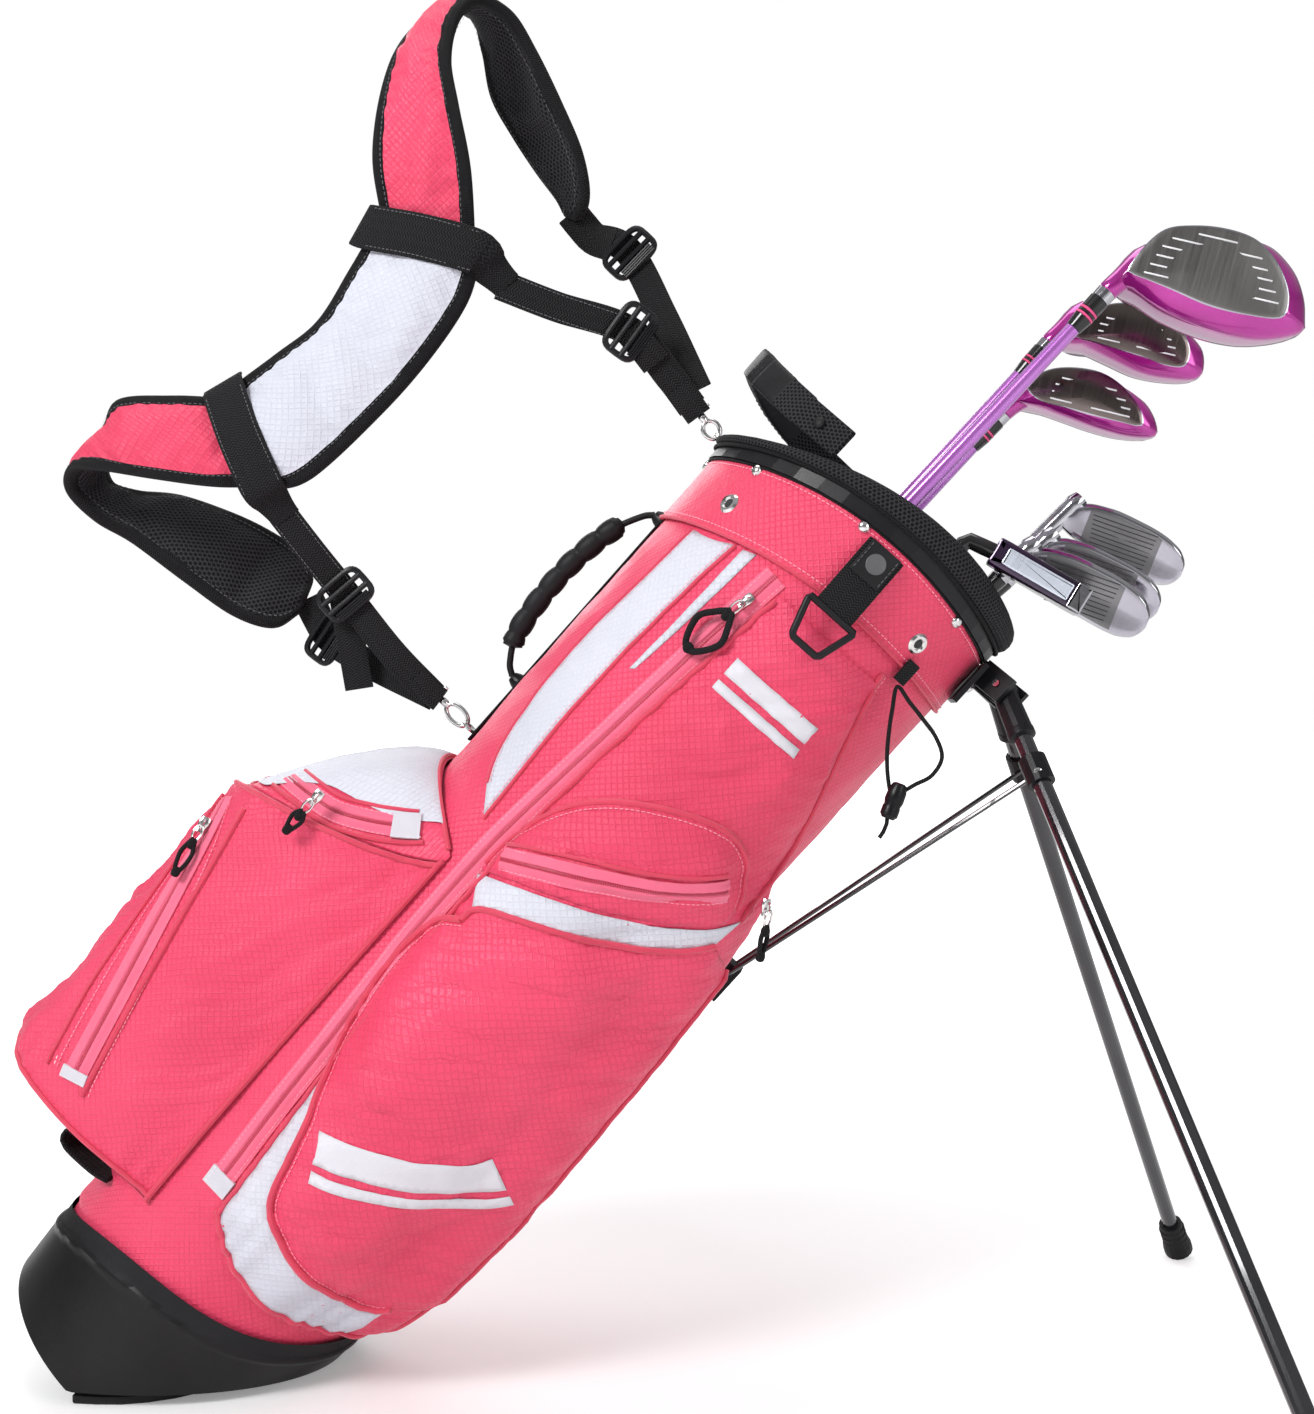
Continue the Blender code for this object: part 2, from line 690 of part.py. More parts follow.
def build_ball_pull():
    """The ball pocket's zip slants down round the pocket's corner."""
    # Degrees from the pocket's middle, height.
    places = [(22.4, 0.3164), (28.0, 0.2552), (34.4, 0.1636)]
    points = [over_ball_pocket(delta, height) for delta, height in places]
    centre, normal = circle_centre(*points)
    out = (points[0] - centre).normalized()
    up = turned_towards(out.cross(normal), Z_AXIS)
    zip_pull("ball_zip_pull", zip_frame(points[0], out, up), drop=0.034, spread=0.0045)


def build_garment_pull():
    """The garment pocket's zip bows round its edge, in a plane that touches the bag there."""
    plane_az, plane_r = -106.0, TUBE_R + 0.0029
    places = [(-100.8, 0.646), (-111.0, 0.406), (-103.8, 0.190)]    # azimuth, height
    out, side = polar(1.0, plane_az, 0), polar(1.0, plane_az + 90, 0)
    points = []
    for azimuth, height in places:
        offset = plane_r * math.tan(math.radians(azimuth - plane_az))
        points.append(out * plane_r + side * offset + Vector((0, 0, height)))
    centre, _ = circle_centre(*points)
    up = turned_towards((points[0] - centre).normalized().cross(out), Z_AXIS)
    zip_pull("garment_zip_pull", zip_frame(points[0], out, up), drop=0.040, spread=0.0050)


def over_accessory_zip(across, lift=0.0100):
    """Point over the accessory zip, where the zip's slanted plane meets the pocket."""
    plane_z, plane_slope = 0.4523, 0.597
    height = 0.47
    for _ in range(20):
        point = garment_point(across, height, lift)
        height = 0.6 * height + 0.4 * (plane_z + plane_slope * point.x)
    point = garment_point(across, height, lift)
    point.z = plane_z + plane_slope * point.x
    return point


def build_accessory_pull():
    """The slider stands square to the arc that its zip makes round the bag."""
    points = [over_accessory_zip(across) for across in (0.80, 0.50, 0.18)]
    centre, normal = circle_centre(*points)
    out = (points[0] - centre).normalized()
    up = turned_towards(normal, Z_AXIS)
    zip_pull("accessory_zip_pull", zip_frame(points[0], out, up), drop=0.030, spread=0.0040)


# ---------------------------------------------------------------- umbrella cord
CORD_LOOP = [           # x, z from the tab
    (0.0, 0.0), (0.014, -0.018), (0.026, -0.042), (0.010, -0.058), (-0.003, -0.066),
    (-0.006, -0.040), (-0.003, -0.014),
]


def build_umbrella_cord():
    """A loop that hangs from the cuff's seam, with its cord lock."""
    tab = BAG_M @ polar(0.1115, -45.5, 0.668)
    frame = empty("umbrella_cord_frame", Matrix.Translation(tab))
    points = [(x, -0.004 - 0.10 * abs(z), z) for x, z in CORD_LOOP]
    curve = wire("umbrella_cord", "web", points, 0.0013, frame, cyclic=True, resolution=0)
    cord = as_mesh(curve)
    dress(cord, "web")
    lock = rod((0.0015, -0.0105, -0.058), (-0.006, -0.0115, -0.078), 0.0055, sides=8)
    boolean(cord, helper(lock, "umbrella_lock", frame), "UNION")


# ---------------------------------------------------------------- stand
class StandSide:
    """Directions and places of one leg, in world coordinates unless named `bag_`."""

    def __init__(self, tag):
        self.tag = tag
        self.sign = -1 if tag == "near" else 1
        self.hinge = self.mirrored(HINGE)
        self.leg = self.mirrored((FOOT - HINGE).normalized())
        self.length = (FOOT - HINGE).length
        bag_rotation = BAG_M.to_3x3()
        bag_down = bag_rotation @ -Z_AXIS
        # The hinge pin is square to the leg and to the bag, and points to +Y.
        self.pin = turned_towards(self.leg.cross(bag_down).normalized(), Y_AXIS)
        self.inward = self.pin * -self.sign     # towards the bag's middle plane
        self.bag_pin = bag_rotation.inverted() @ self.pin
        self.bag_hinge = BAG_M.inverted() @ self.hinge

    def mirrored(self, vector):
        return Vector((vector.x, self.sign * vector.y, vector.z))


FAR, NEAR = StandSide("far"), StandSide("near")


def bracket_ears(side):
    """Two plates, one each side of the leg's knuckle, that reach back to the bracket's plate."""
    spread, reach, plate_x = 0.0107, 0.0085, 0.1105
    out = turned_towards(Vector((side.bag_pin.y, -side.bag_pin.x, 0)), X_AXIS)
    turn = axes_matrix(out, side.bag_pin, Z_AXIS)
    ears = []
    for s in (-1, 1):
        centre = side.bag_hinge + side.bag_pin * (s * spread)
        length = (centre.x - plate_x) / out.x + reach
        ears.append(box((length, 0.0038, 0.0175), centre + out * (reach - length / 2), turn))
    return ears


def build_bracket():
    hinge_z = FAR.bag_hinge.z
    plate = box((0.0035, 0.082, 0.030), (0.1100, 0, hinge_z - 0.0100))
    nose = box((0.0230, 0.012, 0.018), (0.1220, 0, hinge_z - 0.001))
    bracket = joined("stand_bracket", "plastic",
                     [plate, nose] + bracket_ears(FAR) + bracket_ears(NEAR), BAG)
    for side in (NEAR, FAR):
        hole = cross_rod(side.bag_pin, 0.030, PIN_HOLE_R, centre=side.bag_hinge)
        boolean(bracket, helper(hole, f"cut_pin_{side.tag}", BAG), "DIFFERENCE")


def build_leg_foot(side, pivot):
    """Rubber foot: a cup over the tube's end, turned from its profile."""
    bore, end = LEG_R + LEG_FIT, side.length
    profile = [     # radius, distance down the leg
        (0.0, end - 0.0055), (bore, end - 0.0055), (bore, end - 0.030), (0.0088, end - 0.030),
        (0.0092, end - 0.016), (0.0110, end - 0.006), (0.0110, end), (0.0, end),
    ]
    bm = bmesh.new()
    verts = [bm.verts.new((radius, 0, z)) for radius, z in profile]
    for pair in zip(verts, verts[1:]):
        bm.edges.new(pair)
    name = f"foot_{side.tag}"
    foot = add_object(name, to_mesh(bm, name), pivot, rod_matrix(ORIGIN, side.leg))
    dress(foot, "rubber")
    mod = foot.modifiers.new("turn", "SCREW")
    mod.steps = 16
    mod.render_steps = 16
    mod.use_merge_vertices = True
    mod.merge_threshold = 0.00001
    mod.use_normal_flip = True


def build_leg(side):
    """A leg's pieces hang from an empty at its hinge, with the world's axes."""
    tag, leg, pin = side.tag, side.leg, side.pin
    pivot = empty(f"leg_frame_{tag}", Matrix.Translation(side.hinge))
    finish(cross_rod(pin, 0.0135, PIN_R), f"hinge_pin_{tag}", "steel", pivot)

    knuckle = joined(f"leg_knuckle_{tag}", "plastic", [
        cross_rod(pin, 0.0082, 0.0078, sides=16),
        rod(leg * 0.003, leg * 0.030, 0.0076, 0.0082, sides=16),
    ], pivot)
    hole = cross_rod(pin, 0.02, PIN_HOLE_R)
    boolean(knuckle, helper(hole, f"cut_knuckle_{tag}", pivot), "DIFFERENCE")

    tube = rod(leg * 0.0304, leg * (side.length - 0.0060), LEG_R, sides=16)
    finish(tube, f"leg_tube_{tag}", "leg", pivot)

    clamp_centre, lug = leg * CLAMP_AT, leg * WIRE_AT
    clamp = joined(f"leg_clamp_{tag}", "plastic", [
        cross_rod(leg, 0.009, 0.0086, sides=16, centre=clamp_centre),
        rod(lug + side.inward * 0.0065, lug + side.inward * (WIRE_SIDE - 0.0024), 0.0042,
            sides=10),
    ], pivot)
    bore = cross_rod(leg, 0.02, LEG_R + LEG_FIT, sides=16, centre=clamp_centre)
    boolean(clamp, helper(bore, f"cut_clamp_{tag}", pivot), "DIFFERENCE")

    build_leg_foot(side, pivot)


def build_slider():
    """The block and push rod that run along the bag, between the legs' wires."""
    joined("slider_block", "plastic", [
        box((0.0150, 0.0210, 0.026), BLOCK),
        cross_rod(Y_AXIS, 0.0122, 0.0048, centre=BLOCK_PIN),
    ], BAG)
    rod_x = BLOCK.x - 0.003
    finish(rod((rod_x, 0, BLOCK.z - 0.0134), (rod_x, 0, 0.135), 0.0028),
           "push_rod", "leg", BAG)


def build_wire(side):
    """A straight wire from the slider's cross pin to the leg clamp's lug."""
    start = BAG_M @ (BLOCK_PIN + Y_AXIS * (side.sign * WIRE_PIN_Y))
    end = side.hinge + side.leg * WIRE_AT + side.inward * WIRE_SIDE
    frame = empty(f"wire_frame_{side.tag}", Matrix.Translation(start))
    finish(rod(ORIGIN, end - start, WIRE_R, sides=8), f"wire_{side.tag}", "leg", frame)


# ---------------------------------------------------------------- harness
# Harness places are world coordinates. Each pad station is the strap's two edges.
PAD_T = 0.009
UPPER_PAD = [
    ((0.240, -0.040, 0.727), (0.179, -0.040, 0.745)),
    ((0.238, -0.045, 0.775), (0.173, -0.040, 0.786)),
    ((0.230, -0.045, 0.816), (0.176, -0.030, 0.831)),
    ((0.224, -0.042, 0.847), (0.184, -0.012, 0.867)),
    ((0.227, -0.035, 0.875), (0.202, 0.008, 0.893)),
    ((0.238, -0.025, 0.890), (0.222, 0.028, 0.903)),
    ((0.256, -0.010, 0.886), (0.228, 0.042, 0.880)),
    ((0.270, 0.000, 0.865), (0.232, 0.050, 0.852)),
    ((0.286, 0.006, 0.832), (0.246, 0.052, 0.826)),
    ((0.299, 0.012, 0.800), (0.263, 0.052, 0.800)),
    ((0.302, 0.022, 0.774), (0.276, 0.051, 0.783)),
    ((0.294, 0.034, 0.760), (0.284, 0.048, 0.770)),
]
LOWER_PAD = [
    ((0.098, -0.040, 0.576), (0.073, -0.040, 0.634)),
    ((0.068, -0.045, 0.576), (0.039, -0.040, 0.636)),
    ((0.026, -0.045, 0.582), (-0.001, -0.030, 0.636)),
    ((-0.013, -0.042, 0.589), (-0.017, -0.010, 0.621)),
    ((-0.032, -0.035, 0.590), (-0.029, 0.010, 0.603)),
    ((-0.039, -0.025, 0.578), (-0.032, 0.030, 0.588)),
    ((-0.026, -0.012, 0.560), (-0.017, 0.040, 0.583)),
    ((-0.006, 0.000, 0.546), (0.010, 0.047, 0.581)),
    ((0.029, 0.006, 0.519), (0.044, 0.050, 0.570)),
    ((0.061, 0.012, 0.496), (0.072, 0.052, 0.557)),
    ((0.086, 0.022, 0.488), (0.095, 0.052, 0.541)),
    ((0.101, 0.034, 0.499), (0.106, 0.048, 0.521)),
]
YOKE = [
    ((0.2435, -0.040, 0.7195), (0.1720, -0.040, 0.7375)),
    ((0.236, -0.045, 0.690), (0.158, -0.042, 0.713)),
    ((0.213, -0.048, 0.655), (0.137, -0.042, 0.681)),
    ((0.181, -0.048, 0.620), (0.110, -0.042, 0.661)),
    ((0.134, -0.045, 0.580), (0.083, -0.040, 0.643)),
    ((0.1035, -0.040, 0.573), (0.0775, -0.040, 0.6365)),
]
PADS = [
    ("shoulder_pad_upper", "pink", UPPER_PAD),
    ("shoulder_pad_lower", "pink", LOWER_PAD),
    ("back_pad", "white", YOKE),
]
# Straps are middle lines, ladders are (centre, direction), the knot is (size, centre).
STRAP_W, STRAP_T = 0.019, 0.0022
LADDER_SIZE = (0.034, 0.006, 0.024)
WEBBING = {
    "webbing_upper": {
        "straps": [
            [(0.2545, -0.036, 0.703), (0.290, -0.026, 0.690), (0.335, -0.014, 0.676),
             (0.360, -0.005, 0.648), (0.3745, 0.0, 0.6285)],
            [(0.3005, 0.040, 0.752), (0.328, 0.030, 0.739), (0.354, 0.016, 0.690),
             (0.3775, 0.003, 0.640)],
        ],
        "ladders": [
            ((0.336, -0.0138, 0.675), (0.030, 0.01, -0.022)),
            ((0.330, 0.0292, 0.736), (0.030, -0.01, -0.030)),
        ],
        "knot": ((0.016, 0.012, 0.016), (0.3740, 0.0, 0.6290)),
    },
    "webbing_lower": {
        "straps": [
            [(0.1115, -0.036, 0.559), (0.128, -0.026, 0.535), (0.146, -0.012, 0.509),
             (0.176, -0.006, 0.470), (0.203, 0.0, 0.441)],
            [(0.108, 0.041, 0.500), (0.120, 0.034, 0.482), (0.150, 0.018, 0.465),
             (0.203, 0.003, 0.441)],
        ],
        "ladders": [
            ((0.147, -0.0118, 0.508), (0.030, 0.01, -0.036)),
            ((0.122, 0.0330, 0.481), (0.030, -0.01, -0.020)),
        ],
        "knot": ((0.014, 0.011, 0.014), (0.2025, 0.0015, 0.4415)),
    },
}
CLIPS = [       # name, the two ends of the ring
    ("clip_upper", (0.3832, 0, 0.6186), (0.3906, 0, 0.6084)),
    ("clip_lower", (0.2120, 0.001, 0.4350), (0.2250, 0, 0.4225)),
]
HARNESS_M = BAG_M @ Matrix.Translation((-0.1135, 0, 0.59))
HARNESS_INV = HARNESS_M.inverted()


def in_harness(bm):
    """Moves a mesh from world coordinates into the harness frame."""
    bmesh.ops.transform(bm, matrix=HARNESS_INV, verts=bm.verts[:])
    return bm


def flat_strap(points):
    """A flat strap along the points, its width lying in the XZ plane."""
    points = [Vector(point) for point in points]
    stations = []
    for k, point in enumerate(points):
        along = (points[min(k + 1, len(points) - 1)] - points[max(k - 1, 0)]).normalized()
        across = along.cross(Y_AXIS).normalized() * (STRAP_W / 2)
        stations.append((point - across, point + across))
    return band(stations, STRAP_T)


def ladder(centre, direction):
    """A strap adjuster, as a plain block."""
    along = Vector(direction).normalized()
    across = along.cross(Y_AXIS).normalized()
    return box(LADDER_SIZE, centre, axes_matrix(across, along.cross(across), along))


def oval(start, end, half_width=0.0050, count=12):
    """Points of a long ring between two points, its width lying in the XZ plane."""
    start, end = Vector(start), Vector(end)
    along = (end - start).normalized()
    across = along.cross(Y_AXIS)
    middle, reach = (start + end) / 2, (end - start).length / 2
    angles = [2 * math.pi * k / count for k in range(count)]
    return [middle + along * reach * math.cos(a) + across * half_width * math.sin(a)
            for a in angles]


def build_harness():
    harness = empty("harness_frame", HARNESS_M)
    for name, look, stations in PADS:
        finish(in_harness(band(stations, PAD_T)), name, look, harness)
    for name, parts in WEBBING.items():
        pieces = [flat_strap(points) for points in parts["straps"]]
        pieces += [ladder(*place) for place in parts["ladders"]]
        pieces.append(box(*parts["knot"]))
        joined(name, "web", [in_harness(bm) for bm in pieces], harness)
    for name, start, end in CLIPS:
        points = [HARNESS_INV @ point for point in oval(start, end)]
        wire(name, "steel", points, 0.0014, harness, cyclic=True, resolution=0)


# ---------------------------------------------------------------- clubs
# Clubs stand grip down. Each has an empty at its hosel end, with the bag frame's axes.
# Faces look to -Y. Lies are degrees between the shaft and the toe's direction.
WOOD_LIE, IRON_LIE, PUTTER_LIE = 62.0, 65.0, 79.0
WOOD_GRIP, IRON_GRIP = 0.24, 0.22       # grip lengths
WOOD_START, IRON_START, PUTTER_START = 0.036, 0.063, 0.073      # heights of the grips' ends
IRON_TILT = 3.5

# Hosel end, tilt in degrees, head centre and half sizes along (toe, sole), face y, back y.
WOODS = {
    "driver": ((0.014, -0.078, 0.922), 1.2, (0.061, 0.020), (0.055, 0.029), -0.0150, 0.0690),
    "fairway_wood": ((-0.001, 0.072, 0.910), 0.8, (0.057, 0.014), (0.047, 0.0235),
                     -0.0110, 0.0500),
    "rescue_wood": ((0.011, 0.012, 0.845), 1.0, (0.053, 0.014), (0.045, 0.0235),
                    -0.0130, 0.0400),
}
# Hosel end, hosel length up to the sole's heel corner, head scale.
IRONS = {
    "long_iron": ((0.0810, 0.030, 0.784), 0.052, 1.0),
    "mid_iron": ((0.0840, -0.0032, 0.768), 0.036, 1.0),
    "short_iron": ((0.0800, -0.034, 0.764), 0.024, 1.04),
}
# Distance along the toe, sole edge, top edge, sole half width, top half width.
IRON_STATIONS = [
    (-0.003, -0.004, -0.019, 0.0050, 0.0040),
    (0.010, 0.002, -0.024, 0.0080, 0.0035),
    (0.030, 0.0030, -0.0285, 0.0088, 0.0028),
    (0.050, 0.0005, -0.0320, 0.0090, 0.0026),
    (0.066, -0.0040, -0.0330, 0.0082, 0.0026),
    (0.0745, -0.0095, -0.0290, 0.0058, 0.0026),
    (0.0780, -0.0150, -0.0230, 0.0030, 0.0024),
]


def build_shaft(name, end, tilt, start, grip_length, look):
    """Shaft and grip on an axis tilted towards +X; returns the club's empty and that axis."""
    axis = Vector((math.sin(math.radians(tilt)), 0, math.cos(math.radians(tilt))))
    end = Vector(end)
    length = (end.z - start) / axis.z
    grip_top = length - grip_length
    frame = empty(name + "_frame", BAG_M @ Matrix.Translation(end))
    finish(rod(axis * (SHAFT_GAP - grip_top), axis * -0.0003, SHAFT_R0, SHAFT_R1),
           name + "_shaft", look, frame)
    finish(rod(axis * -length, axis * -grip_top, GRIP_R, GRIP_END_R, sides=14),
           name + "_grip", "rubber", frame)
    return frame, axis


def head_axes(angle):
    """Toe and sole directions in the bag frame, the toe turned from the bag's axis."""
    a = math.radians(angle)
    return Vector((math.sin(a), 0, math.cos(a))), Vector((-math.cos(a), 0, math.sin(a)))


def build_wood(name, end, tilt, centre, half_size, face_y, back_y):
    """The head is a squashed ball, cut flat at its face."""
    frame, axis = build_shaft(name, end, tilt, WOOD_START, WOOD_GRIP, "lilac")
    toe, sole = head_axes(tilt + WOOD_LIE)
    widest_y = face_y + (back_y - face_y) * 0.36
    ball = bmesh.new()
    bmesh.ops.create_uvsphere(ball, u_segments=20, v_segments=10, radius=1.0)
    for vert in ball.verts:
        x, y, z = vert.co
        depth = (back_y - widest_y) if y > 0 else (widest_y - face_y) * 1.7
        flatten = 1.0 if z < 0 else 0.8
        back = max(y, 0) ** 2
        along_toe = centre[0] + half_size[0] * x * (1 - 0.25 * back)
        along_sole = centre[1] + half_size[1] * z * flatten * (1 - 0.2 * back)
        vert.co = toe * along_toe + sole * along_sole + Vector((0, widest_y + depth * y, 0))
    neck = rod(axis * 0.0012, axis * 0.017 + toe * 0.004, 0.0062, 0.0085, sides=14)
    head = joined(name + "_head", "magenta", [ball, neck], frame)
    cut = box((0.3, 0.1, 0.3), (0.05, face_y - 0.05, 0.02))
    boolean(head, helper(cut, name + "_cut_face", frame), "DIFFERENCE")


def build_iron(name, end, hosel, scale):
    frame, axis = build_shaft(name, end, IRON_TILT, IRON_START, IRON_GRIP, "steel")
    toe, sole = head_axes(IRON_TILT + IRON_LIE)
    heel = axis * hosel
    rings = []
    for along_toe, sole_edge, top_edge, sole_w, top_w in IRON_STATIONS:
        middle = (sole_edge + top_edge) / 2
        section = [     # along the sole direction, y
            (sole_edge - 0.003, -sole_w * 0.9), (sole_edge, -sole_w * 0.3),
            (sole_edge, sole_w * 0.6), (sole_edge - 0.004, sole_w),
            (middle, top_w * 0.9), (top_edge, top_w), (top_edge, -top_w), (middle, -top_w * 1.4),
        ]
        station = heel + toe * (along_toe * scale)
        rings.append([station + sole * (s * scale) + Vector((0, y, 0)) for s, y in section])
    neck = rod(ORIGIN, heel - axis * 0.008, 0.0058, 0.0062)
    joined(name + "_head", "steel", [loft(rings), neck], frame)


def build_putter():
    """A block head on a short cranked neck."""
    frame, _ = build_shaft("putter", (0.050, -0.064, 0.752), 0.0, PUTTER_START, IRON_GRIP,
                           "steel")
    toe, sole = head_axes(PUTTER_LIE)
    centre = toe * 0.050 + Vector((0, -0.001, 0.0115))
    joined("putter_head", "plastic", [
        box((0.062, 0.024, 0.0170), centre, axes_matrix(toe, Y_AXIS, sole)),
        rod(ORIGIN, (0, 0, 0.010), 0.0052),
        rod((0, 0, 0.0085), centre - toe * 0.028, 0.0048),
    ], frame)


# ---------------------------------------------------------------- assembly
build_shell()
build_boot()
build_base_foot()
build_collar()
build_collar_pad()
build_top_handle()

build_ball_pocket()
build_garment_pocket()
build_accessory_pocket()

build_spine()
build_towel_hook()
build_cooler_pull()
build_ball_pull()
build_garment_pull()
build_accessory_pull()
build_umbrella_cord()

build_bracket()
build_slider()
for stand_side in (FAR, NEAR):
    build_leg(stand_side)
    build_wire(stand_side)

build_harness()

for club, values in WOODS.items():
    build_wood(club, *values)
for club, values in IRONS.items():
    build_iron(club, *values)
build_putter()
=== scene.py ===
"""Looks for a junior golf set: a stand bag with seven clubs, its floor, lights and camera.

Metres, Z up. In the world the bag leans towards +X, its legs stand at +X, and the camera looks
along +Y from the near side, -Y. Most pieces are made in the bag frame, which BAG turns into the
world: local Z is the bag's own axis and local X its stand side. A point on the bag's skin is
often a pair (azimuth in degrees, height).
"""

import json
from math import atan2, copysign, cos, degrees, hypot, pi, radians, sin, sqrt, tan

import bmesh
import bpy
import numpy as np
from mathutils import Matrix, Vector, geometry, noise
from mathutils.bvhtree import BVHTree


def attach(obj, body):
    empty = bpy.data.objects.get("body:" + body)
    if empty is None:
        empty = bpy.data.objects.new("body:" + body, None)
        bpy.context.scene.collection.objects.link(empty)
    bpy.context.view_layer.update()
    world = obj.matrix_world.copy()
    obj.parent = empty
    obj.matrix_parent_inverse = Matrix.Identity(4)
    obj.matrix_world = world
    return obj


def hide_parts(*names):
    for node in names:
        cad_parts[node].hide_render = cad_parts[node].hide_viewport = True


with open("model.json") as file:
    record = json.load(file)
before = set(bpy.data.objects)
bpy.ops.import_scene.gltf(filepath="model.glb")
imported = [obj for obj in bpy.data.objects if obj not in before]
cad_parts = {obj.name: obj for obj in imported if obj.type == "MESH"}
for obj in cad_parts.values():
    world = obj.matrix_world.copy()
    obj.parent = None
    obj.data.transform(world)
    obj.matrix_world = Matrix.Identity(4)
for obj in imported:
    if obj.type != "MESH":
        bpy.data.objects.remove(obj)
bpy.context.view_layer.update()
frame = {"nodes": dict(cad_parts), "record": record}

# ---------------------------------------------------------------- the CAD's own numbers
LEAN = radians(42.0)
LIFT = 0.002
BAG = Matrix.Translation((0, 0, LIFT)) @ Matrix.Rotation(LEAN, 4, "Y")
BAG_INV = BAG.inverted()
TUBE_R, CUFF_R = 0.104, 0.107
BOOT_R0, BOOT_R1, BOOT_SLOPE = 0.0965, 0.1045, 0.067
RING_IN, RING_OUT, PAD_OUT = 0.0965, 0.1095, 0.1125
SEAM = 0.0032
FACET = 0.008       # world height at which the foot's slanted cut is taken
FLAT_R = 0.11       # radius at which azimuths are unrolled into metres
HINGE = Vector((0.571, 0.025, 0.444))
FOOT = Vector((0.730, 0.295, 0.0062))
CAMERA = Vector((0.4915, -1.1414, 0.434))
CAMERA_IN_BAG = BAG_INV @ CAMERA


def foot_plane(x):
    return tan(LEAN) * x + (FACET - LIFT) / cos(LEAN)


def boot_rim(x):
    c = x / BOOT_R1
    return 0.098 + 0.014 * c - 0.0105 * c * c + 0.0235 * c ** 3


def cuff_low(x):
    c = x / CUFF_R
    return 0.67065 + 0.0123 * c - 0.00835 * (2 * c * c - 1)


def cuff_top(x):
    c = x / CUFF_R
    return 0.71668 + 0.00975 * c - 0.00993 * (2 * c * c - 1)


def pad_top(x):
    c = x / PAD_OUT
    return 0.7505 + 0.0189 * c - 0.0205 * c * c - 0.0034 * c ** 3


def table(rows, at):
    """Smooth interpolation in a short table of (position, value)."""
    xs, ys = zip(*rows)
    last = len(xs) - 1
    if at <= xs[0]:
        return ys[0]
    if at >= xs[-1]:
        return ys[-1]
    k = max(i for i in range(last) if xs[i] <= at)
    span = xs[k + 1] - xs[k]
    f = (at - xs[k]) / span
    slopes = []
    for i in (k, k + 1):
        before, after = max(i - 1, 0), min(i + 1, last)
        slopes.append((ys[after] - ys[before]) / (xs[after] - xs[before]))
    return ((2 * f ** 3 - 3 * f * f + 1) * ys[k] + (f ** 3 - 2 * f * f + f) * span * slopes[0]
            + (3 * f * f - 2 * f ** 3) * ys[k + 1] + (f ** 3 - f * f) * span * slopes[1])


def linear(rows, at):
    """Straight-line interpolation in a table of (position, value)."""
    return float(np.interp(at, [row[0] for row in rows], [row[1] for row in rows]))


def tube_r(z):
    rows = [(0.08, 0.0985), (0.10, 0.0990), (0.19, 0.1030), (0.30, TUBE_R), (0.9, TUBE_R)]
    return table(rows, z)


def polar(r, deg, z):
    angle = radians(deg)
    return Vector((r * cos(angle), r * sin(angle), z))


def outward(point):
    """The direction straight out of the bag's axis at a point."""
    return Vector((point.x, point.y, 0)).normalized()


def ease(t):
    t = max(0.0, min(1.0, t))
    return t * t * (3 - 2 * t)


def noise_at(x, y, z):
    return noise.noise(Vector((x, y, z)))


def folds(x, z, seed, angle=45.0, long=0.09, short=0.016):
    """Soft creases that run along a slanted direction; x and z are metres on the cloth."""
    c, s = cos(radians(angle)), sin(radians(angle))
    u, v = x * c + z * s, -x * s + z * c
    v += 0.006 * noise_at(x * 22, z * 22, seed + 5)
    soft = noise_at(u / long, v / short, seed)
    crisp = noise_at(u / (long * 0.45), v / (short * 0.5), seed + 9)
    wide = noise_at(x * 17, z * 17, seed + 3)
    return 0.62 * soft + 0.75 * (0.30 - abs(crisp) ** 0.8) + 1.15 * wide


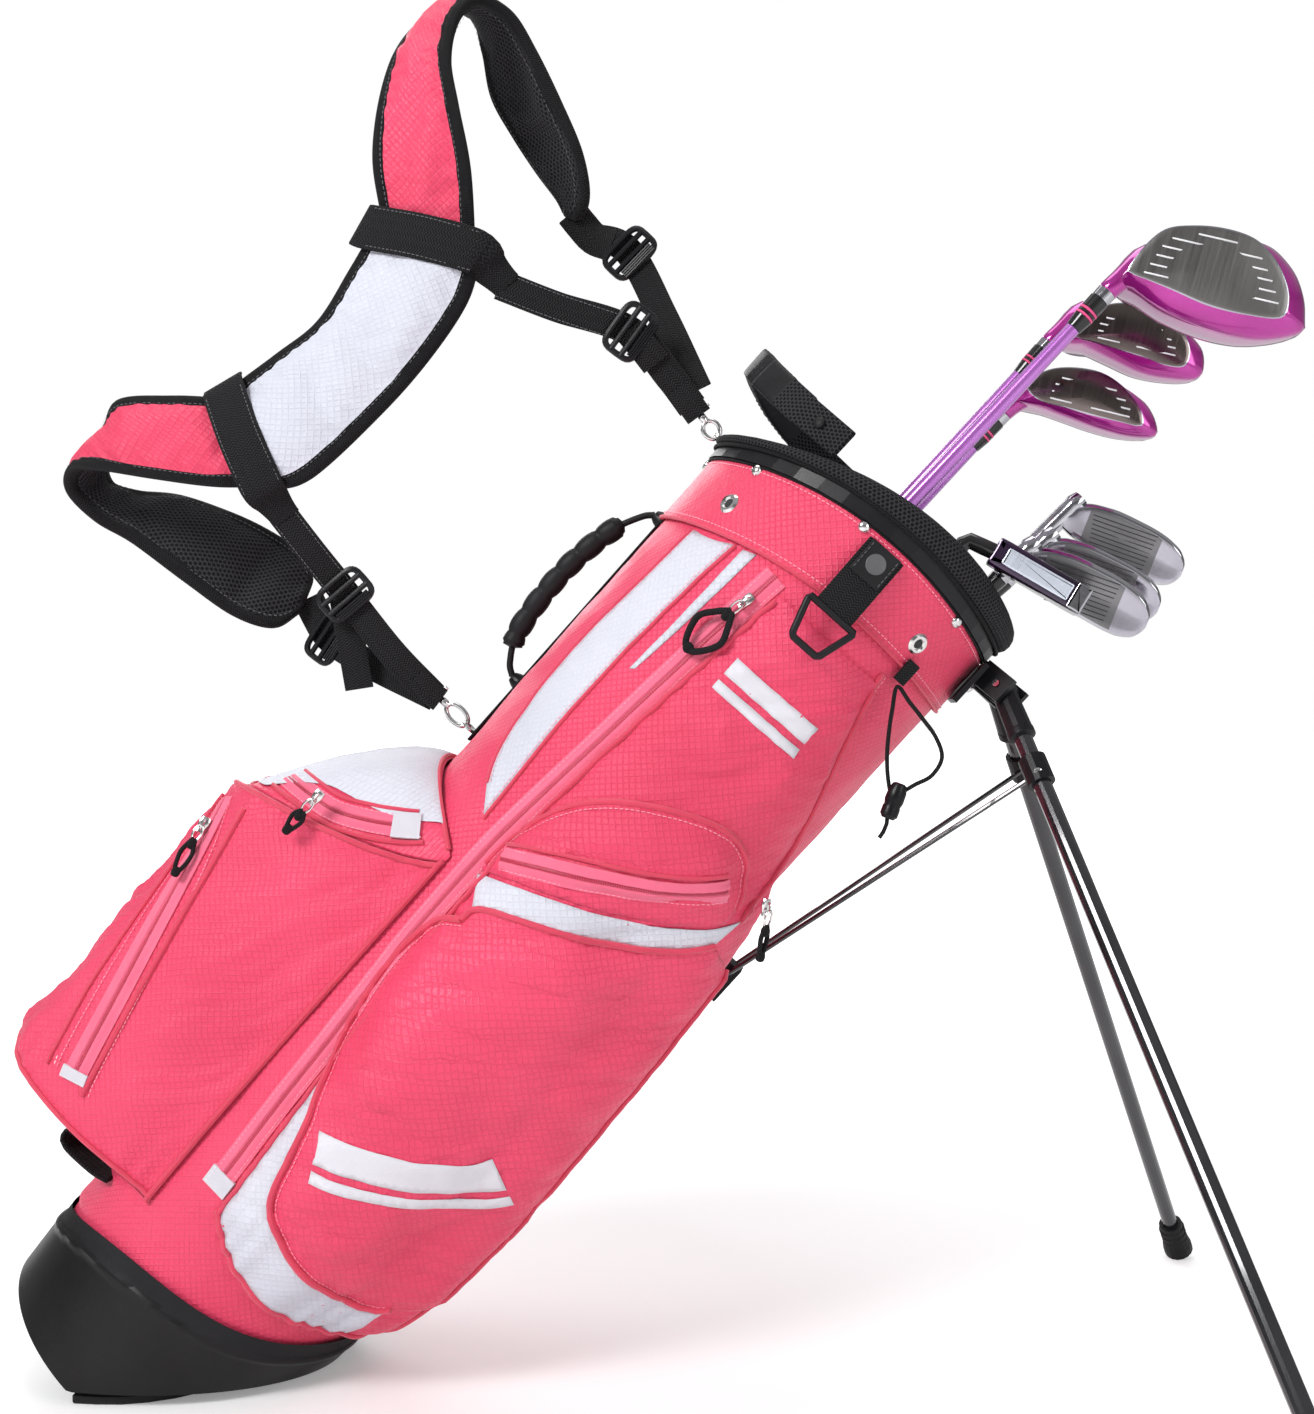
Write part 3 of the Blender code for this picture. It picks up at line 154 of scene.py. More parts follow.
# ---------------------------------------------------------------- materials
class Mat:
    """A Principled material whose inputs are fed by procedural nodes."""

    def __init__(self, name, rough, metal=0.0, **inputs):
        self.material = bpy.data.materials.new(name)
        self.material.use_nodes = True
        self.tree = self.material.node_tree
        self.inputs = self.tree.nodes["Principled BSDF"].inputs
        for key, value in dict(Roughness=rough, Metallic=metal, **inputs).items():
            self.inputs[key.replace("_", " ")].default_value = value

    def node(self, kind, **props):
        made = self.tree.nodes.new("ShaderNode" + kind)
        for key, value in props.items():
            setattr(made, key, value)
        return made

    def feed(self, socket, value):
        """Links an output to a socket, or sets the socket to a number or an RGB colour."""
        if isinstance(value, bpy.types.NodeSocket):
            self.tree.links.new(value, socket)
        elif isinstance(value, tuple):
            socket.default_value = (*value, 1.0)
        else:
            socket.default_value = value

    def math(self, op, *values):
        made = self.node("Math", operation=op)
        for socket, value in zip(made.inputs, values):
            self.feed(socket, value)
        return made.outputs[0]

    def add(self, a, b):
        return self.math("ADD", a, b)

    def times(self, a, b):
        return self.math("MULTIPLY", a, b)

    def centred(self, value):
        """The place within a unit cell, from -0.5 to 0.5."""
        return self.math("SUBTRACT", self.math("FRACT", value), 0.5)

    def wave(self, value):
        return self.math("SINE", self.times(value, 6.283))

    def coords(self, uv, scale, turn=0.0):
        source = self.node("TexCoord").outputs["UV" if uv else "Object"]
        mapping = self.node("Mapping")
        mapping.inputs["Scale"].default_value = scale
        if turn:
            # turned first and scaled after, so the pattern stays square
            turned_first = self.node("Mapping")
            turned_first.inputs["Rotation"].default_value = (0, 0, radians(turn))
            self.feed(turned_first.inputs["Vector"], source)
            source = turned_first.outputs[0]
        self.feed(mapping.inputs["Vector"], source)
        return mapping.outputs[0]

    def cells(self, pitch_x, pitch_y, turn=0.0):
        """UV x and y counted in pitches."""
        made = self.node("SeparateXYZ")
        self.feed(made.inputs[0], self.coords(True, (1 / pitch_x, 1 / pitch_y, 1), turn))
        return made.outputs[0], made.outputs[1]

    def noise(self, scale, detail=3.0, uv=False, stretch=(1, 1, 1)):
        made = self.node("TexNoise")
        made.inputs["Scale"].default_value = scale
        made.inputs["Detail"].default_value = detail
        self.feed(made.inputs["Vector"], self.coords(uv, stretch))
        return made.outputs[0]

    def spread(self, value, low=0.0, high=1.0, start=0.3, stop=0.7):
        """Stretches start..stop of a value over low..high."""
        made = self.node("MapRange", clamp=True)
        for socket, given in zip(made.inputs, (value, start, stop, low, high)):
            self.feed(socket, given)
        return made.outputs[0]

    def mix(self, factor, a, b):
        made = self.node("Mix", data_type="RGBA", blend_type="MIX")
        for k, value in ((0, factor), (6, a), (7, b)):
            self.feed(made.inputs[k], value)
        return made.outputs[2]

    def color(self, value):
        self.feed(self.inputs["Base Color"], value)

    def rough(self, value):
        self.feed(self.inputs["Roughness"], value)

    def bump(self, height, distance, strength):
        made = self.node("Bump")
        made.inputs["Strength"].default_value = strength
        made.inputs["Distance"].default_value = distance
        self.feed(made.inputs["Height"], height)
        self.feed(self.inputs["Normal"], made.outputs[0])

    def grid(self, pitch, edge):
        """1 on the lines of a square grid turned by 45 degrees, 0 between them."""
        lines = []
        for cell in self.cells(pitch, pitch, turn=45.0):
            away = self.math("ABSOLUTE", self.centred(cell))
            lines.append(self.spread(away, start=edge, stop=0.5))
        return self.math("MAXIMUM", *lines)


def ripstop(name, base, dark, line, rough, sheen):
    """Woven cloth with a raised diagonal grid; `line` is how dark the grid is."""
    mat = Mat(name, rough, Sheen_Weight=sheen, Sheen_Roughness=0.4, Specular_IOR_Level=0.5)
    lines = mat.grid(pitch=0.0036, edge=0.30)
    fine = mat.grid(pitch=0.0009, edge=0.2)
    cloud = mat.noise(scale=9.0, detail=4.0)
    speck = mat.noise(scale=900.0, detail=2.0)
    # tone: wide clouds, the grid, then faint specks
    tone = mat.mix(mat.spread(cloud, high=0.55), base, dark)
    tone = mat.mix(mat.times(lines, line), tone, dark)
    tone = mat.mix(mat.times(mat.spread(speck, start=0.35, stop=0.75), 0.10), tone, dark)
    mat.color(tone)
    # relief: shares of the grid, the fine weave and the specks
    relief = mat.add(mat.times(lines, 0.7), mat.times(fine, 0.25))
    relief = mat.add(relief, mat.times(speck, 0.35))
    mat.bump(relief, distance=0.00045, strength=0.75)
    # the grid lines are a little rougher
    mat.rough(mat.add(mat.spread(cloud, rough - 0.05, rough + 0.06), mat.times(lines, 0.12)))
    return mat.material


def tape(name, base, dark, rough=0.6):
    """Finely ribbed textile."""
    mat = Mat(name, rough, Sheen_Weight=0.3)
    x, y = mat.cells(0.0011, 0.0011)
    rib = mat.times(mat.wave(x), mat.wave(y))
    cloud = mat.noise(scale=60)
    tone = mat.mix(mat.spread(rib, high=0.35, start=-1, stop=1), base, dark)
    mat.color(mat.mix(mat.spread(cloud, high=0.35), tone, dark))
    mat.bump(rib, distance=0.00018, strength=0.5)
    return mat.material


def webbing(name, base=(0.006, 0.006, 0.0065), light=(0.024, 0.024, 0.026), pitch=0.0019):
    """Herringbone webbing."""
    mat = Mat(name, 0.70, Sheen_Weight=0.03, Sheen_Roughness=0.35, Specular_IOR_Level=0.14)
    x, y = mat.cells(pitch, pitch)
    # zigzag over three pitches, 2.2 sets its steepness
    zigzag = mat.math("ABSOLUTE", mat.centred(mat.times(x, 0.33)))
    weave = mat.wave(mat.add(y, mat.times(zigzag, 2.2)))
    grain = mat.noise(scale=500, detail=2)
    mat.color(mat.mix(mat.spread(weave, start=-0.6, stop=1.2), base, light))
    mat.bump(mat.add(weave, mat.times(grain, 0.8)), distance=0.00028, strength=0.75)
    return mat.material


def air_mesh(name, pitch, base, thread):
    """Mesh with staggered round holes."""
    mat = Mat(name, 0.8, Sheen_Weight=0.02, Specular_IOR_Level=0.12)
    stretch = 1.5       # row pitch over column pitch
    x, y = mat.cells(pitch, pitch * stretch)
    holes = []
    for shift in (0.0, 0.5):
        dx = mat.centred(mat.add(x, shift))
        dy = mat.times(mat.centred(mat.add(y, shift)), stretch)
        holes.append(mat.math("SQRT", mat.add(mat.times(dx, dx), mat.times(dy, dy))))
    threads = mat.spread(mat.math("MINIMUM", *holes), start=0.22, stop=0.42)
    mat.color(mat.mix(threads, base, thread))
    fuzz = mat.times(mat.noise(scale=700, detail=2), 0.3)
    mat.bump(mat.add(threads, fuzz), distance=0.0007, strength=0.9)
    return mat.material


def moulded(name, base, light, rough, grain, depth, coat=0.0):
    """Plastic or rubber with a fine grain."""
    mat = Mat(name, rough, Coat_Weight=coat, Coat_Roughness=0.12, Specular_IOR_Level=0.20)
    cloud, fine = mat.noise(scale=14, detail=4), mat.noise(scale=grain)
    mat.color(mat.mix(mat.spread(cloud), base, light))
    mat.rough(mat.spread(cloud, rough - 0.06, rough + 0.08))
    mat.bump(fine, distance=depth, strength=0.7)
    return mat.material


def metal(name, base, dark, rough, depth=0.00004, scale=300.0, brushed=None, level=1.0):
    """Metal; `brushed` is how far the grain is drawn out along the club's toe line."""
    mat = Mat(name, rough, level)
    stretch = (1, brushed, 1) if brushed else (1, 1, 1)
    grain = mat.noise(scale, uv=bool(brushed), stretch=stretch)
    cloud = mat.noise(scale=25)
    mat.color(mat.mix(mat.spread(cloud, high=0.6), base, dark))
    mat.rough(mat.add(mat.spread(grain, rough - 0.05, rough + 0.08), 0.0))
    mat.bump(grain, distance=depth, strength=0.6)
    return mat.material


def lacquer(name, base, dark, rough, flake, metalness):
    """Coated paint with lighter flakes; `flake` is their strength."""
    mat = Mat(name, rough, metalness, Coat_Weight=1.0, Coat_Roughness=0.05)
    cloud, flakes = mat.noise(scale=18), mat.noise(scale=2200, detail=1)
    tone = mat.mix(mat.spread(cloud, high=0.7), base, dark)
    glint = tuple(min(1.0, v * 1.5 + 0.03) for v in base)
    mat.color(mat.mix(mat.times(mat.spread(flakes, start=0.55, stop=0.75), flake), tone, glint))
    mat.bump(cloud, distance=0.00001, strength=0.2)
    return mat.material


def enamel(name):
    mat = Mat(name, 0.16, 0.35, Coat_Weight=1.0, Coat_Roughness=0.06)
    cloud = mat.spread(mat.noise(scale=30))
    mat.color(mat.mix(cloud, (0.010, 0.010, 0.012), (0.026, 0.026, 0.030)))
    mat.bump(mat.noise(scale=900, detail=2), distance=0.00002, strength=0.4)
    return mat.material


PINK = ripstop("pink_ripstop", (0.860, 0.058, 0.150), (0.600, 0.026, 0.078),
               line=0.26, rough=0.40, sheen=0.12)
PINK_SIDE = ripstop("pink_ripstop_plain", (0.840, 0.052, 0.138), (0.580, 0.024, 0.072),
                    line=0.24, rough=0.38, sheen=0.12)
WHITE = ripstop("white_ripstop", (0.68, 0.69, 0.76), (0.50, 0.52, 0.61),
                line=0.10, rough=0.5, sheen=0.25)
PIPE = tape("pink_piping", (0.72, 0.040, 0.100), (0.52, 0.022, 0.062))
TAPE = tape("zip_tape_pink", (0.90, 0.15, 0.26), (0.74, 0.085, 0.18))
COIL = tape("zip_coil_pink", (0.56, 0.030, 0.085), (0.38, 0.018, 0.05), rough=0.4)
THREAD = tape("thread_pink", (0.95, 0.36, 0.46), (0.85, 0.22, 0.33))
THREAD_W = tape("thread_white", (0.85, 0.85, 0.88), (0.6, 0.6, 0.66))
THREAD_K = tape("thread_grey", (0.10, 0.10, 0.11), (0.04, 0.04, 0.045))
TAB_W = tape("tab_white", (0.66, 0.65, 0.70), (0.50, 0.48, 0.55))
WEB = webbing("black_webbing")
BIND = webbing("black_binding", (0.005, 0.005, 0.0055), (0.018, 0.018, 0.020), pitch=0.0014)
MESH = air_mesh("black_air_mesh", 0.0030, (0.004, 0.004, 0.0045), (0.034, 0.034, 0.037))
MESH_IN = air_mesh("black_air_mesh_inner", 0.0034, (0.006, 0.006, 0.0065),
                   (0.036, 0.036, 0.040))
LINING = moulded("lining_black", (0.010, 0.010, 0.011), (0.02, 0.02, 0.022),
                 rough=0.8, grain=900, depth=0.0002)
BOOT = moulded("boot_satin", (0.006, 0.006, 0.0065), (0.012, 0.012, 0.013),
               rough=0.32, grain=500, depth=0.00010)
BOOT_TEX = moulded("boot_textured", (0.005, 0.005, 0.0055), (0.018, 0.018, 0.020),
                   rough=0.66, grain=380, depth=0.0005)
PLASTIC = moulded("black_plastic_satin", (0.007, 0.007, 0.008), (0.014, 0.014, 0.016),
                  rough=0.36, grain=800, depth=0.00010)
RUBBER = moulded("black_rubber", (0.007, 0.007, 0.0075), (0.017, 0.017, 0.019),
                 rough=0.52, grain=600, depth=0.00022)
GREY_RUBBER = moulded("grey_rubber_mark", (0.09, 0.09, 0.095), (0.14, 0.14, 0.15),
                      rough=0.5, grain=600, depth=0.0001)
LEG = enamel("leg_gloss_enamel")
CORD = webbing("black_cord", pitch=0.0016)
NICKEL = metal("bright_nickel", (0.78, 0.77, 0.76), (0.55, 0.54, 0.53), rough=0.14)
CHROME = metal("hosel_chrome", (0.54, 0.54, 0.57), (0.32, 0.32, 0.35), rough=0.09,
               depth=0.00001)
FACE_D = metal("driver_face_satin", (0.235, 0.23, 0.222), (0.14, 0.137, 0.132), rough=0.36,
               depth=0.00005, scale=500, brushed=0.03)
FACE_I = metal("iron_face_satin", (0.25, 0.245, 0.255), (0.15, 0.148, 0.155), rough=0.32,
               scale=700, brushed=0.03)
FACE_F = metal("wood_face_dark", (0.20, 0.165, 0.155), (0.075, 0.06, 0.055), rough=0.18,
               depth=0.00003, scale=500, brushed=0.03)
BEVEL = metal("face_bevel_bright", (0.50, 0.48, 0.54), (0.32, 0.30, 0.36), rough=0.16)
GROOVE = moulded("groove_dark", (0.02, 0.02, 0.022), (0.05, 0.05, 0.05),
                 rough=0.5, grain=700, depth=0.00012)
SCORE = moulded("score_white", (0.82, 0.82, 0.84), (0.70, 0.70, 0.72),
                rough=0.5, grain=900, depth=0.00002)
LILAC = lacquer("shaft_lilac", (0.50, 0.17, 0.58), (0.40, 0.10, 0.50),
                rough=0.24, flake=0.04, metalness=0.55)
MAGENTA = lacquer("crown_magenta", (0.50, 0.020, 0.33), (0.26, 0.008, 0.17),
                  rough=0.14, flake=0.35, metalness=0.5)
PUTTER = lacquer("putter_plum", (0.035, 0.012, 0.05), (0.012, 0.008, 0.016),
                 rough=0.18, flake=0.25, metalness=0.6)
INSERT = metal("putter_insert_pale", (0.72, 0.77, 0.86), (0.55, 0.60, 0.70), rough=0.30,
               depth=0.00005, scale=600, brushed=0.05, level=0.55)
RING_P = moulded("ferrule_pink", (0.85, 0.12, 0.30), (0.70, 0.06, 0.20),
                 rough=0.3, grain=700, depth=0.00012)
FERRULE = moulded("ferrule_black", (0.008, 0.008, 0.009), (0.02, 0.02, 0.02),
                  rough=0.14, grain=900, depth=0.00001, coat=0.6)
REFLECT = tape("reflective_trim", (0.74, 0.73, 0.78), (0.60, 0.58, 0.64), rough=0.38)


# ---------------------------------------------------------------- mesh helpers
def finish_object(name, mesh, body, replaces, slot):
    obj = bpy.data.objects.new(name, mesh)
    bpy.context.scene.collection.objects.link(obj)
    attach(obj, body)
    if replaces:
        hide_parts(replaces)
    return obj


def build(name, verts, faces, mats, body, uvs=None, bag=True, face_mat=None, sharp=38,
          slot=None, replaces=None):
    """A mesh piece, in the bag frame or (bag=False) the world; uvs one per vertex, in metres.

    Edges bent more than `sharp` degrees are creased; None keeps them all soft.
    """
    mesh = bpy.data.meshes.new(name)
    points = [BAG @ Vector(v) for v in verts] if bag else [Vector(v) for v in verts]
    mesh.from_pydata([tuple(p) for p in points], [], [tuple(f) for f in faces])
    for mat in (mats if isinstance(mats, list) else [mats]):
        mesh.materials.append(mat)
    if face_mat is not None:
        for polygon, k in zip(mesh.polygons, face_mat):
            polygon.material_index = k
    if uvs is not None:
        layer = mesh.uv_layers.new(name="UVMap")
        index = np.empty(len(mesh.loops), dtype=np.int32)
        mesh.loops.foreach_get("vertex_index", index)
        layer.data.foreach_set("uv", np.asarray(uvs, dtype=np.float32)[index].ravel())
    mesh.validate()
    mesh.shade_smooth()
    if sharp:
        mesh.set_sharp_from_angle(angle=radians(sharp))
    return finish_object(name, mesh, body, replaces, slot)


def solidify(obj, name, thickness, offset=-1.0):
    modifier = obj.modifiers.new(name, "SOLIDIFY")
    modifier.thickness, modifier.offset = thickness, offset
    return modifier


def grid_faces(rows, columns, wrap=False):
    out = []
    for i in range(rows - 1):
        for j in range(columns if wrap else columns - 1):
            k = (j + 1) % columns
            low, high = i * columns, (i + 1) * columns
            out.append((low + j, low + k, high + k, high + j))
    return out


def tube_faces(rows, columns):
    """A grid closed around its columns, with a cap at each end."""
    caps = [tuple(range(columns))[::-1], tuple(range((rows - 1) * columns, rows * columns))]
    return grid_faces(rows, columns, True) + caps


def catmull(points, step=0.003, closed=False):
    """Points along a smooth curve through `points`, at about `step` apart."""
    knots = [np.array(p, dtype=float) for p in points]
    n = len(knots)
    out = []
    for i in range(n if closed else n - 1):
        if closed:
            a, b, c, d = (knots[(i + k) % n] for k in (-1, 0, 1, 2))
        else:
            b, c = knots[i], knots[i + 1]
            a = knots[i - 1] if i else 2 * b - c
            d = knots[i + 2] if i + 2 < n else 2 * c - b
        parts = max(2, int(np.linalg.norm(c - b) / step))
        for j in range(parts):
            t = j / parts
            out.append(0.5 * (2 * b + (c - a) * t + (2 * a - 5 * b + 4 * c - d) * t * t
                              + (3 * b - a - 3 * c + d) * t ** 3))
    if not closed:
        out.append(knots[-1])
    return out


def curve(points, step=0.003, closed=False):
    """The same smooth curve as Vectors."""
    return [Vector(tuple(p)) for p in catmull(points, step, closed)]


def along_edges(points, fractions):
    """Points at the given fractions of every edge of a closed outline."""
    out = []
    for a, b in zip(points, points[1:] + points[:1]):
        out += [tuple(np.array(a) * (1 - f) + np.array(b) * f) for f in fractions]
    return out


def up_at(up, k, point):
    """`up` is one direction, a list with one per point, or a function of the point."""
    if callable(up):
        return up(point)
    return up[k] if isinstance(up, list) else Vector(up)


def frames_along(path, up):
    """Tangent, side and up at each point."""
    out = []
    for k, point in enumerate(path):
        tangent = (path[min(k + 1, len(path) - 1)] - path[max(k - 1, 0)]).normalized()
        side = tangent.cross(up_at(up, k, point))
        side.normalize()
        out.append((tangent, side, side.cross(tangent).normalized()))
    return out


def sweep(name, path, profile, mat, body, up, closed=False, scale=None, **kw):
    """Sweeps a closed profile [(side, up)] along a path; scale is a function of 0..1."""
    path = [Vector(p) for p in path]
    frames = frames_along(path, up)
    if closed:
        tangent = (path[1] - path[-1]).normalized()
        for k in (0, -1):
            side = tangent.cross(up_at(up, k, path[k])).normalized()
            frames[k] = (tangent, side, side.cross(tangent))
    around = [0.0]
    for (x0, y0), (x1, y1) in zip(profile, profile[1:]):
        around.append(around[-1] + hypot(x1 - x0, y1 - y0))
    verts, uvs, run = [], [], 0.0
    n = len(profile)
    for k, (point, (_, side, rise)) in enumerate(zip(path, frames)):
        if k:
            run += (point - path[k - 1]).length
        size = scale(k / max(1, len(path) - 1)) if scale else 1.0
        for x, y in profile:
            verts.append(point + side * (x * size) + rise * (y * size))
        uvs += [(x, run) for x in around]
    if closed:
        base = (len(path) - 1) * n
        faces = grid_faces(len(path), n, True)
        faces += [(base + j, base + (j + 1) % n, (j + 1) % n, j) for j in range(n)]
    else:
        faces = tube_faces(len(path), n)
    return build(name, verts, faces, mat, body, uvs, **kw)


def ring_profile(r, n=8, r_up=None):
    r_up = r_up or r
    return [(r * cos(2 * pi * k / n), r_up * sin(2 * pi * k / n)) for k in range(n)]


def flat_profile(width, thick, n=4):
    """A strap's cross-section with rounded edges."""
    out = []
    for middle, start in ((width / 2 - thick / 2, -90), (-(width / 2 - thick / 2), 90)):
        for k in range(n + 1):
            angle = radians(start + 180 * k / n)
            out.append((middle + thick / 2 * cos(angle), thick / 2 * sin(angle)))
    return out


def circle(centre, side, other, r, n):
    angles = [2 * pi * k / n for k in range(n)]
    return [centre + side * (r * cos(a)) + other * (r * sin(a)) for a in angles]


def turned(name, origin, axis, profile, mat, body, n=28, **kw):
    """A lathe-turned piece: profile of (radius, distance along the axis)."""
    axis = Vector(axis).normalized()
    side = axis.orthogonal().normalized()
    other = axis.cross(side)
    rows, uvs = [], []
    for r, z in profile:
        rows += circle(Vector(origin) + axis * z, side, other, r, n)
        uvs += [(2 * pi * k / n * 0.01, z) for k in range(n)]
    return build(name, rows, tube_faces(len(profile), n), mat, body, uvs, **kw)


def joined(parts, name, body, replaces=None):
    """Several loose pieces made one object."""
    bm = bmesh.new()
    mats = []
    bm.loops.layers.uv.new("UVMap")
    for part in parts:
        remap = []
        for mat in part.data.materials:
            if mat not in mats:
                mats.append(mat)
            remap.append(mats.index(mat))
        start = len(bm.faces)
        bm.from_mesh(part.data)
        bm.faces.ensure_lookup_table()
        for face in bm.faces[start:]:
            face.material_index = remap[face.material_index]
    mesh = bpy.data.meshes.new(name)
    bm.to_mesh(mesh)
    bm.free()
    for mat in mats:
        mesh.materials.append(mat)
    obj = bpy.data.objects.new(name, mesh)
    bpy.context.scene.collection.objects.link(obj)
    for part in parts:
        bpy.data.objects.remove(part, do_unlink=True)
    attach(obj, body)
    if replaces:
        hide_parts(replaces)


# ---------------------------------------------------------------- the bag's main skins
AROUND = 220        # columns around the tube, the cuff and the collar pad
TUBE_ROWS = 150
WALL = 0.0022


def tube_point(deg, z):
    x = TUBE_R * cos(radians(deg))
    if z <= boot_rim(x) + 0.004:        # tucked into the boot
        return polar(BOOT_R0 + BOOT_SLOPE * z - 0.0040, deg, z)
    crease = 0.0011 * folds(radians(deg) * TUBE_R, z, 1.0, 60, 0.12, 0.03)
    return polar(tube_r(z) + crease * ease((cuff_low(x) - z) / 0.02), deg, z)


def lined_skin(name, rows, uvs, mat, **kw):
    """A skin all round the bag with a lined wall behind it."""
    faces = grid_faces(len(rows) // AROUND, AROUND, True)
    obj = build(name, rows, faces, [mat, LINING], "bag", uvs, slot="pink_fabric", **kw)
    solidify(obj, "wall", WALL).material_offset = 1
    return obj


def make_tube():
    rows, uvs = [], []
    for i in range(TUBE_ROWS):
        t = i / (TUBE_ROWS - 1)
        for j in range(AROUND):
            deg = -180 + 360 * j / AROUND
            x = TUBE_R * cos(radians(deg))
            low = max(boot_rim(x) - 0.018, foot_plane(x) + 0.0125)
            high = cuff_low(x) + 0.004
            z = low + (high - low) * t
            rows.append(tube_point(deg, z))
            uvs.append((radians(deg) * TUBE_R, z))
    return lined_skin("bag_tube", rows, uvs, PINK, replaces="bag_shell")


def make_cuff():
    # (outwards, rise on a cuff 0.0405 high), then (outwards, drop from the top)
    wall = [(-0.0020, 0.0), (-0.0002, -0.0006), (0.0004, 0.0004), (0.0003, 0.002)]
    wall += [(0.0002, 0.002 + 0.0385 * k / 14) for k in range(1, 14)]
    lip = [(0.0, 0.0006), (-0.0015, 0.0)]
    rows, uvs = [], []
    count = len(wall + lip)
    for i, (out, level) in enumerate(wall + lip):
        for j in range(AROUND):
            deg = -180 + 360 * j / AROUND
            x = CUFF_R * cos(radians(deg))
            low, high = cuff_low(x) - 0.001, cuff_top(x)
            z = low + level * (high - low) / 0.0405 if i < len(wall) else high - level
            arc = radians(deg) * CUFF_R
            pucker = (0.0007 * folds(arc, z, 4.0, 75, 0.05, 0.022)
                      * ease(i / 3) * ease((count - 1 - i) / 3))
            rows.append(polar(CUFF_R + out + pucker, deg, z))
            uvs.append((arc, z))
    return lined_skin("bag_cuff", rows, uvs, PINK_SIDE)


# Garment pocket: u runs 0..1 from its left edge to the stand side, t runs 0..1 upwards.
POCKET_LOW, POCKET_TOP = 0.126, 0.661
POCKET_R = 0.115        # radius at which its cloth is unrolled
# (height, azimuth) of the side edges
LEFT_EDGE = [(0.126, -97.6), (0.164, -98.6), (0.23, -101.2), (0.291, -103.6), (0.35, -105.4),
             (0.41, -106.2), (0.46, -105.6), (0.50, -104.2), (0.56, -101.0), (0.62, -97.2),
             (0.661, -94.6)]
RIGHT_EDGE = [(0.12, -17.0), (0.45, -16.0), (0.50, -17.0), (0.55, -24.0), (0.61, -40.0),
              (0.665, -51.0)]
# (height, swelling) over the middle, and extra at the boxed stand side
BULGE = [(0.126, 0.0), (0.150, 0.013), (0.20, 0.021), (0.30, 0.024), (0.40, 0.021),
         (0.50, 0.016), (0.60, 0.009), (0.655, 0.004), (0.662, 0.0)]
BOXY = [(0.126, 0.010), (0.150, 0.020), (0.24, 0.0225), (0.36, 0.0190), (0.477, 0.0130),
        (0.52, 0.006), (0.56, 0.0)]
BOX_SEAM = 0.887        # u of the seam along the boxed corner


def boxiness(u):
    return ease((u - 0.60) / 0.29 if u < 0.89 else (1 - u) / 0.11)


def garment_low(u):
    return 0.150 - 0.026 * (1 - (2 * u - 1) ** 2)


def garment_point(u, t, creases=True):
    """Azimuth, radius and height of the garment pocket's cloth."""
    level = POCKET_LOW + (POCKET_TOP - POCKET_LOW) * t
    low = garment_low(u)
    z = low + (POCKET_TOP - low) * t
    left, right = table(LEFT_EDGE, level), table(RIGHT_EDGE, level)
    deg = left + (right - left) * u
    bulge = max(0.0, table(BULGE, level)) * (1 - abs(2 * u - 1) ** 2.6)
    r = tube_r(level) + SEAM * 0.7 + bulge + max(0.0, table(BOXY, level)) * boxiness(u)
    if creases:
        arc = radians(deg) * POCKET_R
        mask = ease(u / 0.12) * ease((1 - u) / 0.12) * ease(t / 0.06) * ease((1 - t) / 0.05)
        if t < 0.72:        # flat along the corner seam
            beside = 1 - ease((abs(u - BOX_SEAM) - 0.015) / 0.055)
            mask *= 1 - beside * ease((0.72 - t) / 0.1)
        r += 0.0046 * mask * folds(arc, z, 7.0, 38, 0.085, 0.021)
        # gathered cloth along the bottom seam and the long zip
        near = ease((0.16 - t) / 0.16) * ease(t / 0.01)
        r += (0.0016 * near * sin(arc * 320 + 3 * sin(arc * 70))
              * ease(u / 0.08) * ease((1 - u) / 0.08))
        side = ease((0.16 - u) / 0.14) * ease(u / 0.02)
        r += 0.0009 * side * sin(z * 260 + 4 * sin(z * 31))
    return deg, r, z


def make_garment():
    columns, levels = 110, 200
    rows, uvs = [], []
    # one extra row and column all round, folded in under the edge
    us = [-1] + [k / (columns - 1) for k in range(columns)] + [2]
    ts = [-1] + [k / (levels - 1) for k in range(levels)] + [2]
    for t in ts:
        for u in us:
            deg, r, z = garment_point(min(1, max(0, u)), min(1, max(0, t)))
            if u in (-1, 2) or t in (-1, 2):
                r = tube_r(z) - 0.0008
            rows.append(polar(r, deg, z))
            uvs.append((radians(deg) * POCKET_R, z))
    return build("garment_pocket_cloth", rows, grid_faces(len(ts), len(us)), PINK, "bag", uvs,
                 slot="pink_fabric", replaces="garment_pocket")


# Ball pocket, on the -X side: `delta` is the azimuth from its middle, -60..60.
# (delta, outer radius)
BALL_OUT = [(0, 0.1985), (12, 0.2), (20, 0.197), (26, 0.1905), (33, 0.173), (41, 0.152),
            (50, 0.128), (60, TUBE_R + SEAM)]
# (height, delta) of the gusset seam
GUSSET = [(0.12, 37.6), (0.1636, 34.4), (0.2552, 28.0), (0.3164, 22.4), (0.36, 18.2)]
BALL_LOW = 0.121


def ball_top(delta):
    return 0.335 + 0.073 * (abs(delta) / 60) ** 1.3


def ball_lid(delta):
    return 0.440 - 0.028 * (delta / 60) ** 2


def ball_arc(delta):
    """Length along the pocket's outline from its middle."""
    step = abs(delta) / 6
    total = 0
    for i in range(6):
        r = table(BALL_OUT, i * abs(delta) / 6)
        total += hypot(table(BALL_OUT, (i + 1) * abs(delta) / 6) - r, radians(step) * r)
    return copysign(total, delta)


